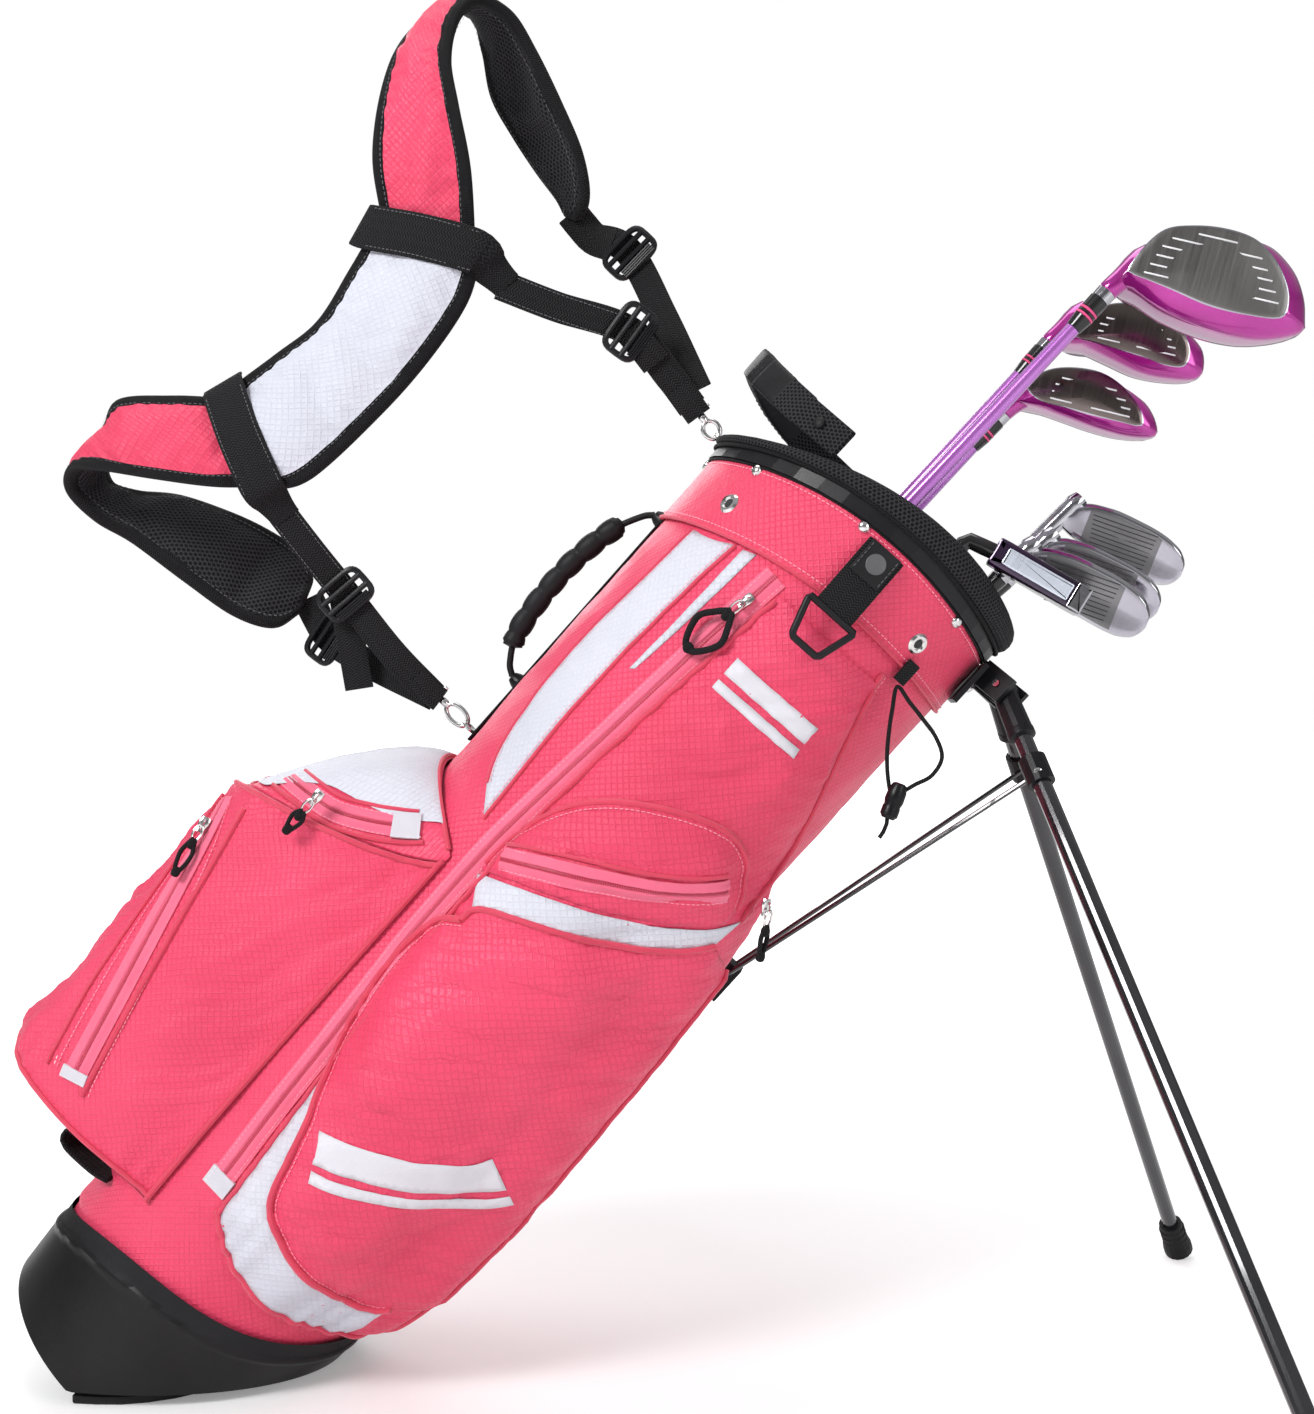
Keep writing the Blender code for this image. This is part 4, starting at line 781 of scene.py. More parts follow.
def ball_point(delta, kind, t):
    """A point and its UV on the pocket's "side", "low" underside or sloping "lid"."""
    edge = 1 - (abs(delta) / 60) ** 6
    full = table(BALL_OUT, abs(delta))
    if kind == "side":
        z = BALL_LOW + (ball_top(delta) - BALL_LOW) * t
        base = tube_r(z) + SEAM * 0.6
        r = base + (full - base) * edge
        for d in (z - BALL_LOW, (ball_top(delta) - z) * 1.3):   # rolled lower and upper edges
            if d < 0.010:
                r -= 0.010 * (1 - sqrt(max(0.0, 1 - (1 - d / 0.010) ** 2))) * edge
        arc = ball_arc(delta)
        off_gusset = abs(abs(delta) - table(GUSSET, z)) - 4.0
        mask = ease(t / 0.08) * ease((1 - t) / 0.08) * ease((60 - abs(delta)) / 8)
        mask *= ease(off_gusset / 7.0)
        r += 0.0048 * mask * folds(arc, z, 21.0, 55, 0.10, 0.024)
        gather = (ease((0.2 - t) / 0.2) * ease(t / 0.03)
                  + ease((t - 0.85) / 0.15) * ease((1 - t) / 0.03))
        r += (0.0012 * gather * sin(arc * 300 + 2.5 * sin(arc * 61))
              * ease((60 - abs(delta)) / 6) * ease(off_gusset / 5.0))
        return polar(r, 180 + delta, z), (arc, z)
    flat = radians(delta) * 0.15
    if kind == "low":
        z = 0.1195
        base = tube_r(z) + SEAM * 0.6
        r = base + (full - 0.010 * edge - base) * edge * t
        return polar(r, 180 + delta, z + 0.0015 * t ** 3), (flat, -r)
    z = ball_lid(delta) + (ball_top(delta) - ball_lid(delta)) * t ** 1.5
    base = tube_r(z) + SEAM * 0.6
    r = base + (full - 0.008 * edge - base) * edge * t
    z += 0.0030 * sin(pi * t) * edge + 0.0016 * sin(pi * t) * folds(flat, r, 31, 20)
    return polar(r, 180 + delta, z), (flat, 0.5 - r)


def make_ball_pocket():
    columns = 150
    levels = [("low", k / 14) for k in range(15)] + [("side", k / 79) for k in range(80)]
    levels += [("lid", 1 - k / 44) for k in range(45)]
    rows, uvs = [], []
    for kind, t in levels:
        for k in range(columns):
            point, uv = ball_point(-60 + 120 * k / (columns - 1), kind, t)
            rows.append(point)
            uvs.append(uv)
    return build("ball_pocket_cloth", rows, grid_faces(len(levels), columns), PINK, "bag", uvs,
                 sharp=None, slot="pink_fabric", replaces="ball_pocket")


# ---------------------------------------------------------------- working on the skins
def bag_tree(objs):
    """A search tree of some skins, in the bag frame."""
    verts, faces = [], []
    for obj in objs:
        start = len(verts)
        verts += [BAG_INV @ v.co for v in obj.data.vertices]
        faces += [tuple(start + i for i in p.vertices) for p in obj.data.polygons]
    return BVHTree.FromPolygons(verts, faces)


shell, cuff, garment, ball = make_tube(), make_cuff(), make_garment(), make_ball_pocket()
SKIN = bag_tree([shell, cuff, garment, ball])


def surf(deg, z, lift=0.0, tree=None):
    """The outermost skin at an azimuth and height, and the direction out of it."""
    # three rays side by side: one that slips through a joint between two faces would dig a pit
    hit = None
    for turn, rise in ((0.0, 0.0), (0.021, 0.00004), (-0.017, -0.00003)):
        ray = polar(1.0, deg + turn, 0)
        found, facing, _, _ = (tree or SKIN).ray_cast(ray * 0.40 + Vector((0, 0, z + rise)), -ray)
        if found is not None and (hit is None or found.dot(ray) > hit.dot(ray) + 0.0012):
            hit, normal = found, facing
    out = polar(1.0, deg, 0)
    if hit is None:
        return out * (TUBE_R + lift) + Vector((0, 0, z)), out
    if normal.dot(out) < 0:
        normal = -normal
    return hit + normal * lift, normal


def seen_at(point):
    """Where the camera's sight line through a point meets the skins, as azimuth and height."""
    hit, _, _, _ = SKIN.ray_cast(CAMERA_IN_BAG, (point - CAMERA_IN_BAG).normalized())
    place = hit if hit is not None else point
    return degrees(atan2(place.y, place.x)), place.z


def curve_on(points, step=0.003, mapped=True):
    """A smooth curve of (azimuth, height); `mapped` landmarks lie on the plain tube and are
    carried along the camera's sight lines to the skins."""
    if mapped:
        points = [seen_at(polar(0.106, *p)) for p in points]
    flat = [(radians(deg if deg < 90 else deg - 360) * FLAT_R, z) for deg, z in points]
    return [(degrees(x / FLAT_R), z) for x, z in catmull(flat, step)]


def lay(points, lift, tree=None):
    """Places of a curve on a skin, and directions out of it averaged over 4 neighbours."""
    places, raw = zip(*(surf(deg, z, lift, tree) for deg, z in points))
    count = len(raw)
    normals = [sum(raw[max(0, k - 4):min(count, k + 5)], Vector()).normalized()
               for k in range(count)]
    return places, normals


def on_skin(name, points, profile, mat, lift, tree=None, **kw):
    places, normals = lay(points, lift, tree)
    return sweep(name, places, profile, mat, "bag", normals, **kw)


def piping(name, points, r=0.0012, tree=None):
    on_skin(name, points, ring_profile(r * 1.45), PIPE, 0.0007, tree, slot="pink_fabric")


def offset_curve(points, shift):
    """The same curve moved sideways over the skin, to the left of its run."""
    flat = [(radians(deg) * FLAT_R, z) for deg, z in points]
    out = []
    for k, (x, y) in enumerate(flat):
        x0, y0 = flat[max(0, k - 2)]
        x1, y1 = flat[min(len(flat) - 1, k + 2)]
        run = hypot(x1 - x0, y1 - y0) or 1.0
        out.append((degrees((x - (y1 - y0) / run * shift) / FLAT_R),
                    y + (x1 - x0) / run * shift))
    return out


def spaced(path, normals, pitch, start):
    """Centre, tangent, side and normal at every pitch along a path."""
    run, ahead = 0.0, start
    for k in range(1, len(path)):
        a, b = path[k - 1], path[k]
        span = (b - a).length
        while run + span >= ahead and span > 0:
            tangent = (b - a).normalized()
            side = tangent.cross(normals[k]).normalized()
            yield a.lerp(b, (ahead - run) / span), tangent, side, normals[k]
            ahead += pitch
        run += span


def stitch_mesh(name, path, normals, mat, body, pitch=0.0032, bag=True):
    """A row of single thread stitches along a path of Vectors."""
    length, r = 0.0021, 0.00026
    verts, faces = [], []
    for centre, tangent, side, normal in spaced(path, normals, pitch, pitch / 2):
        base = len(verts)
        for f, z in ((-0.5, 0.0), (-0.3, 1.0), (0.3, 1.0), (0.5, 0.0)):
            for x in (-1, 1):
                verts.append(centre + tangent * (length * f) + side * (r * x)
                             + normal * (r * 1.3 * z))
        for q in range(base, base + 6, 2):
            faces.append((q, q + 1, q + 3, q + 2))
    build(name, verts, faces, mat, body, bag=bag, sharp=None)


def stitches(name, points, offset, lift=0.0004, tree=None, mat=THREAD):
    places, normals = lay(offset_curve(points, offset), lift, tree)
    stitch_mesh(name, places, normals, mat, "bag")


def zip_line(name, points, width, tree=None, tab=0.013):
    """Tape with two folded lips, the coil between them, stitching, and a white end tab."""
    half = width / 2
    lips = [(half * f, y) for f, y in ((0.15, 0.0006), (0.24, 0.0017), (0.50, 0.0015),
                                       (0.62, 0.0007), (1, 0.0004), (1, -0.0004))]
    profile = [(-x, y) for x, y in lips[::-1]] + lips
    on_skin(name + "_tape", points, profile, TAPE, 0.0003, tree, slot="pink_fabric", sharp=60)
    verts, faces = [], []
    pitch = 0.0014
    for centre, tangent, side, normal in spaced(*lay(points, 0.0011, tree), pitch, 0.0):
        b = len(verts)
        for f in (-0.34, 0.34):
            for x, z in ((-1.0, 0.0), (-0.5, 0.9), (0.5, 0.9), (1.0, 0.0)):
                verts.append(centre + tangent * (pitch * f) + side * (0.0011 * x)
                             + normal * (0.0006 * z))
        faces += [(b + q, b + q + 1, b + q + 5, b + q + 4) for q in range(3)]
        faces += [(b, b + 1, b + 2, b + 3), (b + 4, b + 5, b + 6, b + 7)]
    build(name + "_coil", verts, faces, COIL, "bag", sharp=60)
    stitches(name + "_stitch_a", points, half * 0.82, 0.0009, tree)
    stitches(name + "_stitch_b", points, -half * 0.82, 0.0009, tree)
    backwards = points[::-1]
    run, keep = 0.0, []
    for a, b in zip(backwards, backwards[1:]):
        keep.append(a)
        run += hypot(radians(b[0] - a[0]) * FLAT_R, b[1] - a[1])
        if run > tab:
            break
    if len(keep) > 2:
        w = width * 1.12
        profile = [(-w / 2, -0.0005), (-w / 2, 0.0022), (w / 2, 0.0022), (w / 2, -0.0005)]
        on_skin(name + "_tab_1", keep, profile, TAB_W, 0.0003, tree, slot="white_fabric",
                sharp=30)
        stitches(name + "_tab_stitch_1", keep, w * 0.40, 0.0027, tree, THREAD_W)


def fill_outline(ring, grain):
    """Grid points inside a closed outline, and how deep inside each one lies."""
    edge = np.array([[p.x, p.y] for p in ring])
    (x_low, y_low), (x_high, y_high) = edge.min(0), edge.max(0)
    gx, gy = np.meshgrid(np.arange(x_low, x_high, grain), np.arange(y_low, y_high, grain))
    gx[::2] += grain * 0.5
    points = np.stack([gx.ravel(), gy.ravel()], 1)
    px, py = points[:, 0], points[:, 1]
    inside = np.zeros(len(points), bool)
    depth = np.full(len(points), 9.0)
    for (ax, ay), (bx, by) in zip(edge, np.roll(edge, -1, 0)):
        crossing = (ay > py) != (by > py)
        if ay != by:
            inside ^= crossing & (px < (bx - ax) * (py - ay) / (by - ay) + ax)
        span = np.array([bx - ax, by - ay])
        square = max(1e-12, (span ** 2).sum())
        t = np.clip(((px - ax) * span[0] + (py - ay) * span[1]) / square, 0, 1)
        depth = np.minimum(depth, np.hypot(px - ax - t * span[0], py - ay - t * span[1]))
    keep = inside & (depth > grain * 0.45)
    return points[keep], depth[keep]


def facing_out(face):
    """A face's area, signed by whether it looks out of the bag."""
    middle = BAG_INV @ face.calc_center_median()
    out = polar(1, degrees(atan2(middle.y, middle.x)), 0)
    return face.calc_area() * face.normal.dot(BAG.to_3x3() @ out)


def patch(name, outline, mat, lift, tree=None, grain=0.0035, thick=0.0005, puff=0.0,
          reach=0.02, creases=0.0, seed=0.0):
    """A cloth panel inside a closed outline of (azimuth, height), laid over the skins.

    It swells by `puff` within `reach` of its rim.
    """
    ring = [Vector((radians(deg) * FLAT_R, z)) for deg, z in outline]
    count = len(ring)
    inner, inner_depth = fill_outline(ring, grain)
    points = ring + [Vector((float(x), float(y))) for x, y in inner]
    depths = [0.0] * count + list(inner_depth)
    rim = [(k, (k + 1) % count) for k in range(count)]
    flat, _, faces, origins, *_ = geometry.delaunay_2d_cdt(points, rim, [], 1, 1e-6)
    verts, uvs = [], []
    for p, origin in zip(flat, origins):
        known = [depths[i] for i in origin if i < len(depths)]
        depth = known[0] if known else min((p - q).length for q in ring)
        height = lift + puff * ease(depth / reach)
        if creases:
            height += creases * ease(depth / 0.018) * folds(p.x, p.y, seed, 42, 0.08, 0.018)
        verts.append(surf(degrees(p.x / FLAT_R), p.y, height, tree)[0])
        uvs.append((p.x, p.y))
    slot = "pink_fabric" if mat is PINK else "white_fabric"
    obj = build(name, verts, faces, mat, "bag", uvs, sharp=None, slot=slot)
    bm = bmesh.new()
    bm.from_mesh(obj.data)
    if sum(facing_out(f) for f in bm.faces) < 0:
        bmesh.ops.reverse_faces(bm, faces=bm.faces[:])
    # a lone vertex of a padded panel off its neighbours' level goes back to it
    for _ in range(3 if puff else 0):
        bm.normal_update()
        for v in bm.verts:
            near = [e.other_vert(v).co for e in v.link_edges]
            if len(near) > 3 and not v.is_boundary:
                middle = sum(near, Vector()) / len(near)
                if abs((v.co - middle).dot(v.normal)) > 0.0010:
                    v.co = middle
    bm.to_mesh(obj.data)
    bm.free()
    obj.data.shade_smooth()
    solidify(obj, "cloth", thick)
    return obj


# ---------------------------------------------------------------- seams, panels and zips
def cuff_ring(height, rise, radius, count):
    """Points all round the cuff, following one of its edges."""
    points = []
    for k in range(count):
        p = polar(radius, 360 * k / count, 0)
        p.z = height(p.x) + rise
        points.append(p)
    return points


def ring_on_cuff(name, height, rise, radius, r, mat, **kw):
    sweep(name, cuff_ring(height, rise, radius, 160), ring_profile(r), mat, "bag", outward,
          closed=True, **kw)


ring_on_cuff("cuff_hem_piping", cuff_low, -0.0006, CUFF_R + 0.0006, 0.0010, PIPE,
             slot="pink_fabric")
for tag, height, rise in (("a", cuff_low, 0.0032), ("b", cuff_top, -0.0035)):
    stitch_mesh("cuff_stitch_" + tag, cuff_ring(height, rise, CUFF_R + 0.0008, 400),
                [polar(1, 360 * k / 400, 0) for k in range(400)], THREAD, "bag")

# (azimuth, height) of the long zip and of the white curl beside it
LONG_ZIP = [(-99, 0.6745), (-102, 0.62), (-105, 0.56), (-109, 0.48), (-111, 0.426),
            (-110.6, 0.36), (-108, 0.291), (-105.5, 0.22), (-103, 0.164)]
SWOOSH_R = [(-117, 0.6665), (-119.5, 0.63), (-121.5, 0.585), (-122.3, 0.54), (-122.0, 0.505),
            (-120.6, 0.468), (-119.8, 0.443)]
SWOOSH_L = [(-129, 0.4585), (-134.5, 0.473), (-138.6, 0.492), (-141.8, 0.518),
            (-143.0, 0.552), (-141.2, 0.590), (-138.6, 0.625), (-136.6, 0.6565)]
outline = (curve_on(SWOOSH_R, 0.004) + curve_on([SWOOSH_R[-1], SWOOSH_L[0]], 0.004)[1:2]
           + curve_on(SWOOSH_L, 0.004))
patch("swoosh_panel", outline, WHITE, 0.0007, grain=0.0045, creases=0.0008, seed=3)
swoosh_edges = (("r", curve_on(SWOOSH_R)), ("l", curve_on(SWOOSH_L)))
for tag, edge in swoosh_edges:
    piping("swoosh_piping_" + tag, edge, 0.0009)
for tag, edge in swoosh_edges:
    stitches("swoosh_stitch_" + tag, edge, -0.0030, 0.0012)
strip = curve_on([(-114, 0.6675), (-114.6, 0.63), (-115.4, 0.595), (-116.2, 0.570)], 0.004)
strip += curve_on([(-114.6, 0.572), (-112.6, 0.60), (-110.8, 0.635), (-109.2, 0.6705)], 0.004)
patch("swoosh_strip", strip, WHITE, 0.0007, grain=0.003)

zip_line("long_zip", curve_on(LONG_ZIP)[2:], 0.0165)
garment_right = curve_on([(-52, 0.674), (-47, 0.642), (-41, 0.614), (-32, 0.581), (-24, 0.552),
                          (-16, 0.520), (-10, 0.492)])[2:]
piping("garment_piping_right", garment_right, 0.0013)
stitches("garment_stitch_right", garment_right, 0.0038)


def garment_line(places):
    """A line over the uncreased garment pocket through (u, t) places."""
    points = [garment_point(u, t, creases=False) for u, t in places]
    return [(deg, z) for deg, _, z in points]


bottom = garment_line([(k / 60, 0.010) for k in range(61)])
left_edge = garment_line([(0.012, 0.008 + 0.985 * k / 100) for k in range(101)])
stand_edge = garment_line([(0.988, 0.008 + 0.60 * k / 70) for k in range(71)])
box_corner = garment_line([(BOX_SEAM, 0.012 + 0.62 * k / 70) for k in range(71)])
piping("garment_piping_bottom", bottom, 0.0013)
piping("garment_piping_left", left_edge, 0.0012)
piping("garment_piping_stand", stand_edge, 0.0013)

# lower pocket: a slightly padded panel, white crescent below and to its left, white band above
LOWER_EDGE = [(-101, 0.392), (-106.5, 0.382), (-109, 0.3685), (-110, 0.343), (-108.4, 0.318),
              (-105, 0.290), (-99.5, 0.261), (-94, 0.233), (-91, 0.212), (-88, 0.192),
              (-84.5, 0.181), (-79, 0.173), (-64, 0.161), (-40, 0.1565), (-20, 0.150),
              (-6, 0.146)]
lower_edge = curve_on(LOWER_EDGE, 0.004)
band_low = curve_on([(-101, 0.392), (-99, 0.404), (-80, 0.4215), (-60, 0.4385), (-40, 0.4545),
                     (-16.5, 0.471)], 0.004)
right_side = garment_line([(0.962, t) for t in np.linspace(0.02, 0.66, 60)])
right_side = [p for p in right_side if lower_edge[-1][1] < p[1] < band_low[-1][1] - 0.004]
lower_panel = patch("lower_pocket_panel", lower_edge + right_side + band_low[::-1][:-1], PINK,
                    0.0012, grain=0.0036, puff=0.0045, reach=0.030, creases=0.0017, seed=13)
FRONT = bag_tree([shell, cuff, garment, ball, lower_panel])
piping("garment_piping_corner", box_corner, 0.0014, FRONT)
piping("lower_pocket_piping", lower_edge, 0.0015, FRONT)
piping("lower_pocket_piping_top", band_low, 0.0014, FRONT)
stitches("lower_pocket_stitch", lower_edge, 0.0040, 0.0006, FRONT)

band_up = curve_on([(-107.5, 0.4175), (-95, 0.4285), (-80, 0.4405), (-60, 0.4565),
                    (-40, 0.4725), (-10, 0.492)], 0.004)
patch("white_band", band_low[2:] + band_up[::-1], WHITE, 0.0011, grain=0.0034, creases=0.0006)
crescent_low = [p for p in bottom if -96 < p[0] < -34]
crescent = [p for p in lower_edge if p[1] < 0.377 and p[0] < -32]
crescent += [(crescent_low[-1][0], crescent_low[-1][1] + 0.002)]
crescent += [(deg, z + 0.0015) for deg, z in crescent_low[::-1]]
crescent += [(deg + 0.5 + 0.3, z) for deg, z in left_edge if 0.155 < z < 0.375]
patch("white_crescent", crescent, WHITE, 0.0008, grain=0.0036, creases=0.0006)

# accessory pocket: arched flap, zip, padded panel
FLAP = [(-108, 0.426), (-106.8, 0.448), (-104, 0.468), (-97, 0.492), (-85, 0.513),
        (-67, 0.5305), (-53, 0.536), (-44, 0.532), (-37, 0.5245), (-30, 0.512), (-24, 0.500)]
flap = curve_on(FLAP, 0.0035)
accessory_zip = curve_on([(-104, 0.435), (-85, 0.456), (-62, 0.481), (-39, 0.508)])
accessory_low = curve_on([(-107.5, 0.4205), (-95, 0.4315), (-80, 0.4435), (-60, 0.4595),
                          (-40, 0.4755), (-14, 0.4935)], 0.0035)
accessory = patch("accessory_panel", flap + accessory_low[::-1][3:], PINK, 0.0012,
                  grain=0.0036, puff=0.0040, creases=0.0012, seed=17)
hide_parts("accessory_pocket")
TOP = bag_tree([shell, cuff, garment, ball, accessory])
piping("accessory_piping", flap, 0.0013)
stitches("accessory_stitch", flap, -0.0036, 0.0006, TOP)
zip_line("accessory_zip_line", accessory_zip, 0.0150, TOP, tab=0.006)
piping("accessory_zip_piping", offset_curve(accessory_zip, 0.0095), 0.0009, TOP)


def reflective_pair(name, start, end, width, tree):
    """A wide reflective strip with a narrow one below it, between two landmarks."""
    (deg0, z0), (deg1, z1) = start, end
    middle = curve_on([(deg0 + (deg1 - deg0) * k / 8, z0 + (z1 - z0) * k / 8)
                       for k in range(9)])
    for tag, off, half in (("wide", 0.0, width / 2), ("narrow", -width * 0.5 - 0.0075, 0.0032)):
        upper, lower = offset_curve(middle, off + half), offset_curve(middle, off - half)
        patch(f"{name}_{tag}", lower + upper[::-1], REFLECT, 0.0007, tree, grain=0.003,
              thick=0.0003)


reflective_pair("trim_low", (-87.0, 0.2290), (-27.0, 0.2760), 0.019, FRONT)
reflective_pair("trim_top", (-91.0, 0.6120), (-55.0, 0.6120), 0.012, SKIN)


# ball pocket seams and zips
def ball_curve(points):
    """A curve over the ball pocket through (x, height) points seen in the plane y = -0.06."""
    return curve_on([seen_at(Vector((x, -0.06, z))) for x, z in points], mapped=False)


def ball_pos(delta, t, lift, kind="side"):
    point, _ = ball_point(delta, kind, t)
    return point + outward(point) * lift


def ball_piping(name, path, r=0.0018):
    sweep(name, path, ring_profile(r), PIPE, "bag", outward, slot="pink_fabric")


for tag, t in (("top", 0.985), ("bottom", 0.012)):
    ball_piping("ball_piping_" + tag,
                [ball_pos(-59 + 118 * k / 120, t, 0.0008) for k in range(121)])
for tag, deg in (("a", 118.0), ("b", 40.0)):
    seam = [(deg + 6 * sin((z - 0.12) * 5.2), z) for z in np.linspace(0.125, 0.668, 170)]
    piping("far_seam_" + tag, seam, 0.0012)
    stitches("far_seam_stitch_" + tag, seam, 0.0034, 0.0005)
far_panel = []
for points in ([(117, 0.664), (121, 0.597), (122.3, 0.54), (122, 0.505), (120.4, 0.452)],
               [(130, 0.462), (138.6, 0.492), (143, 0.552), (138.6, 0.625), (136.6, 0.654)]):
    far_panel += curve_on([(deg - 360, z) for deg, z in points], 0.004, mapped=False)
patch("swoosh_panel_far", far_panel, WHITE, 0.0007, grain=0.0045, creases=0.0006, seed=5)
ball_piping("ball_piping_lid",
            [ball_pos(-58 + 116 * k / 120, 0.03, 0.0010, "lid") for k in range(121)], 0.0017)
ball_piping("ball_piping_far", [ball_pos(-table(GUSSET, BALL_LOW + 0.22 * t), t, 0.0012)
                                for t in np.linspace(0.03, 0.97, 80)], 0.0017)
for tag, side in (("far", -1), ("near", 1)):
    ball_piping("ball_seam_" + tag,
                [ball_pos(side * 59.2, t, 0.0010) for t in np.linspace(0.0, 1.0, 80)])

BALL_ZIP = [(-0.188, 0.334), (-0.183, 0.312), (-0.176, 0.275), (-0.163, 0.215), (-0.147, 0.145)]
zip_line("ball_zip_line", ball_curve(BALL_ZIP + [(-0.1425, 0.130)]), 0.0165)
piping("ball_gusset_piping", ball_curve([(-0.175, 0.337), (-0.168, 0.302), (-0.158, 0.250),
                                         (-0.1445, 0.185), (-0.132, 0.127)]), 0.0013)
piping("ball_gusset_piping_b",
       offset_curve(ball_curve(BALL_ZIP + [(-0.1415, 0.126)]), -0.0102), 0.0009)
cooler_zip = ball_curve([(-0.166, 0.371), (-0.147, 0.3725), (-0.129, 0.376), (-0.105, 0.389),
                         (-0.083, 0.4055)])
zip_line("cooler_zip_line", cooler_zip, 0.0145)
piping("cooler_piping_a", offset_curve(cooler_zip, 0.0092), 0.0010)
piping("cooler_piping_b", offset_curve(cooler_zip, -0.0092), 0.0011)


def make_lid_cloth():
    """White cloth over the ball pocket's lid."""
    columns, levels = 100, 34
    # (delta, height) of its lower edge
    lower = [(0, 0.349), (20, 0.353), (26, 0.376), (30, 0.386), (37, 0.3935), (44, 0.404),
             (52, 0.424)]
    rows, uvs = [], []
    for i in range(levels):
        down = i / (levels - 1)
        for j in range(columns):
            delta = -52 + 104 * j / (columns - 1)
            low, lid = table(lower, abs(delta)) + 0.002, ball_lid(delta)
            start = 0.03
            if low < lid:
                start = max(0.03, (lid - low) / (lid - ball_top(delta))) ** (1 / 1.5)
            t = min(0.97, start) * (1 - i / 33) + 0.02 * i / 33
            point, uv = ball_point(delta, "lid", t)
            rows.append(point + (outward(point) * 0.0008 + Vector((0, 0, 0.0012))))
            uvs.append(uv)
    build("ball_lid_cloth", rows, grid_faces(levels, columns), WHITE, "bag", uvs, sharp=None,
          slot="white_fabric")


make_lid_cloth()


# ---------------------------------------------------------------- boot, collar, handles
def make_boot():
    """The moulded cup, cut flat where it stands, with a soft band round its rim."""
    columns = 180
    marks = [0.0, 0.012] + [0.03 + 0.94 * k / 30 for k in range(31)] + [0.99, 1.0]
    rows, uvs = [], []
    for t in marks:
        for j in range(columns):
            deg = -180 + 360 * j / columns
            c = cos(radians(deg))
            top, cut = boot_rim(BOOT_R1 * c), max(0.0, foot_plane(BOOT_R0 * c))
            z = cut + (top - cut) * t
            r = BOOT_R0 + BOOT_SLOPE * z
            below = top - z
            if below < 0.0135:      # the soft band above the moulded cup
                r -= 0.0012 * ease((0.0135 - below) / 0.0015)
            elif below < 0.0180:    # the cup's rolled lip
                r += 0.0009 * sin(pi * (below - 0.0135) / 0.0045)
            if t == 0.0:
                r -= 0.0030
            rows.append(polar(r, deg, z))
            uvs.append((radians(deg) * 0.1, z))
    faces = grid_faces(len(marks), columns, True)
    face_mat = []
    for face in faces:
        p = rows[face[0]]
        rim = boot_rim(BOOT_R1 * p.x / hypot(p.x, p.y))
        face_mat.append(1 if rim - p.z < 0.0140 else 0)
    centre = len(rows)
    rows.append(Vector((-0.01, 0, 0.0)))
    uvs.append((0, 0))
    faces += [(centre, (j + 1) % columns, j) for j in range(columns)]
    face_mat += [0] * columns
    build("boot_cup", rows, faces, [BOOT, BOOT_TEX], "bag", uvs, face_mat=face_mat,
          slot="boot_rubber", replaces="base_boot")


def make_collar_pad():
    """Padded mesh ring on the collar."""
    # section: (radius, share of the pad's height)
    section = [(RING_IN + 0.001, 0.02), (PAD_OUT - 0.0045, 0.0), (PAD_OUT - 0.0012, 0.05),
               (PAD_OUT + 0.0006, 0.20), (PAD_OUT + 0.0012, 0.42), (PAD_OUT + 0.0004, 0.64),
               (PAD_OUT - 0.0016, 0.82), (PAD_OUT - 0.0052, 0.95),
               (0.5 * (RING_IN + PAD_OUT), 1.0), (RING_IN + 0.0032, 0.95),
               (RING_IN + 0.0004, 0.80), (RING_IN - 0.0004, 0.5), (RING_IN, 0.2)]
    n = len(section)
    rows, uvs, faces = [], [], []
    for j in range(AROUND):
        deg = 360 * j / AROUND
        c = cos(radians(deg))
        low = cuff_top(CUFF_R * c) + 0.0106
        tall = pad_top(PAD_OUT * c) - low
        arc = radians(deg) * 0.11
        lump = 0.0008 * folds(arc, 0.3, 41, 90, 0.05, 0.03)
        run = 0.0
        for k, (r, t) in enumerate(section):
            if k:
                run += hypot(r - section[k - 1][0], (t - section[k - 1][1]) * tall)
            rows.append(polar(r + lump, deg, low + tall * t))
            uvs.append((arc, run))
            here, ahead, after = j * n, (j + 1) % AROUND * n, (k + 1) % n
            faces.append((here + k, ahead + k, ahead + after, here + after))
    build("collar_mesh_pad", rows, faces, MESH, "bag", uvs, sharp=None, slot="mesh_fabric",
          replaces="collar_pad")


make_boot()
make_collar_pad()
ring_on_cuff("collar_binding", cuff_top, 0.0104, RING_OUT + 0.0012, 0.0013, BIND,
             slot="mesh_fabric")
ring_on_cuff("cuff_top_piping", cuff_top, -0.0002, CUFF_R + 0.0008, 0.0009, BIND)


def rivet(name, deg, z, r, eyelet=False):
    """A domed nickel rivet on the skin, or an eyelet with a dark core."""
    place, _ = surf(deg, z)
    out = polar(1, deg, 0)
    profile = [(r * 1.08, -0.0008), (r * 1.08, 0.0002), (r, 0.0007)]
    if eyelet:
        profile += [(r * 0.86, 0.0015), (r * 0.62, 0.0016), (r * 0.46, 0.0009),
                    (r * 0.40, -0.0002)]
    else:
        profile += [(r * cos(a), 0.0007 + 0.0022 * sin(a)) for a in (0.3, 0.6, 0.9, 1.2, 1.45)]
    turned(name, place, out, profile, NICKEL, "bag", slot="zinc_nickel")
    if eyelet:
        core = [(r * 0.44, -0.0004), (r * 0.44, 0.0006), (r * 0.2, 0.0008)]
        turned(name + "_core", place, out, core, GROOVE, "bag")


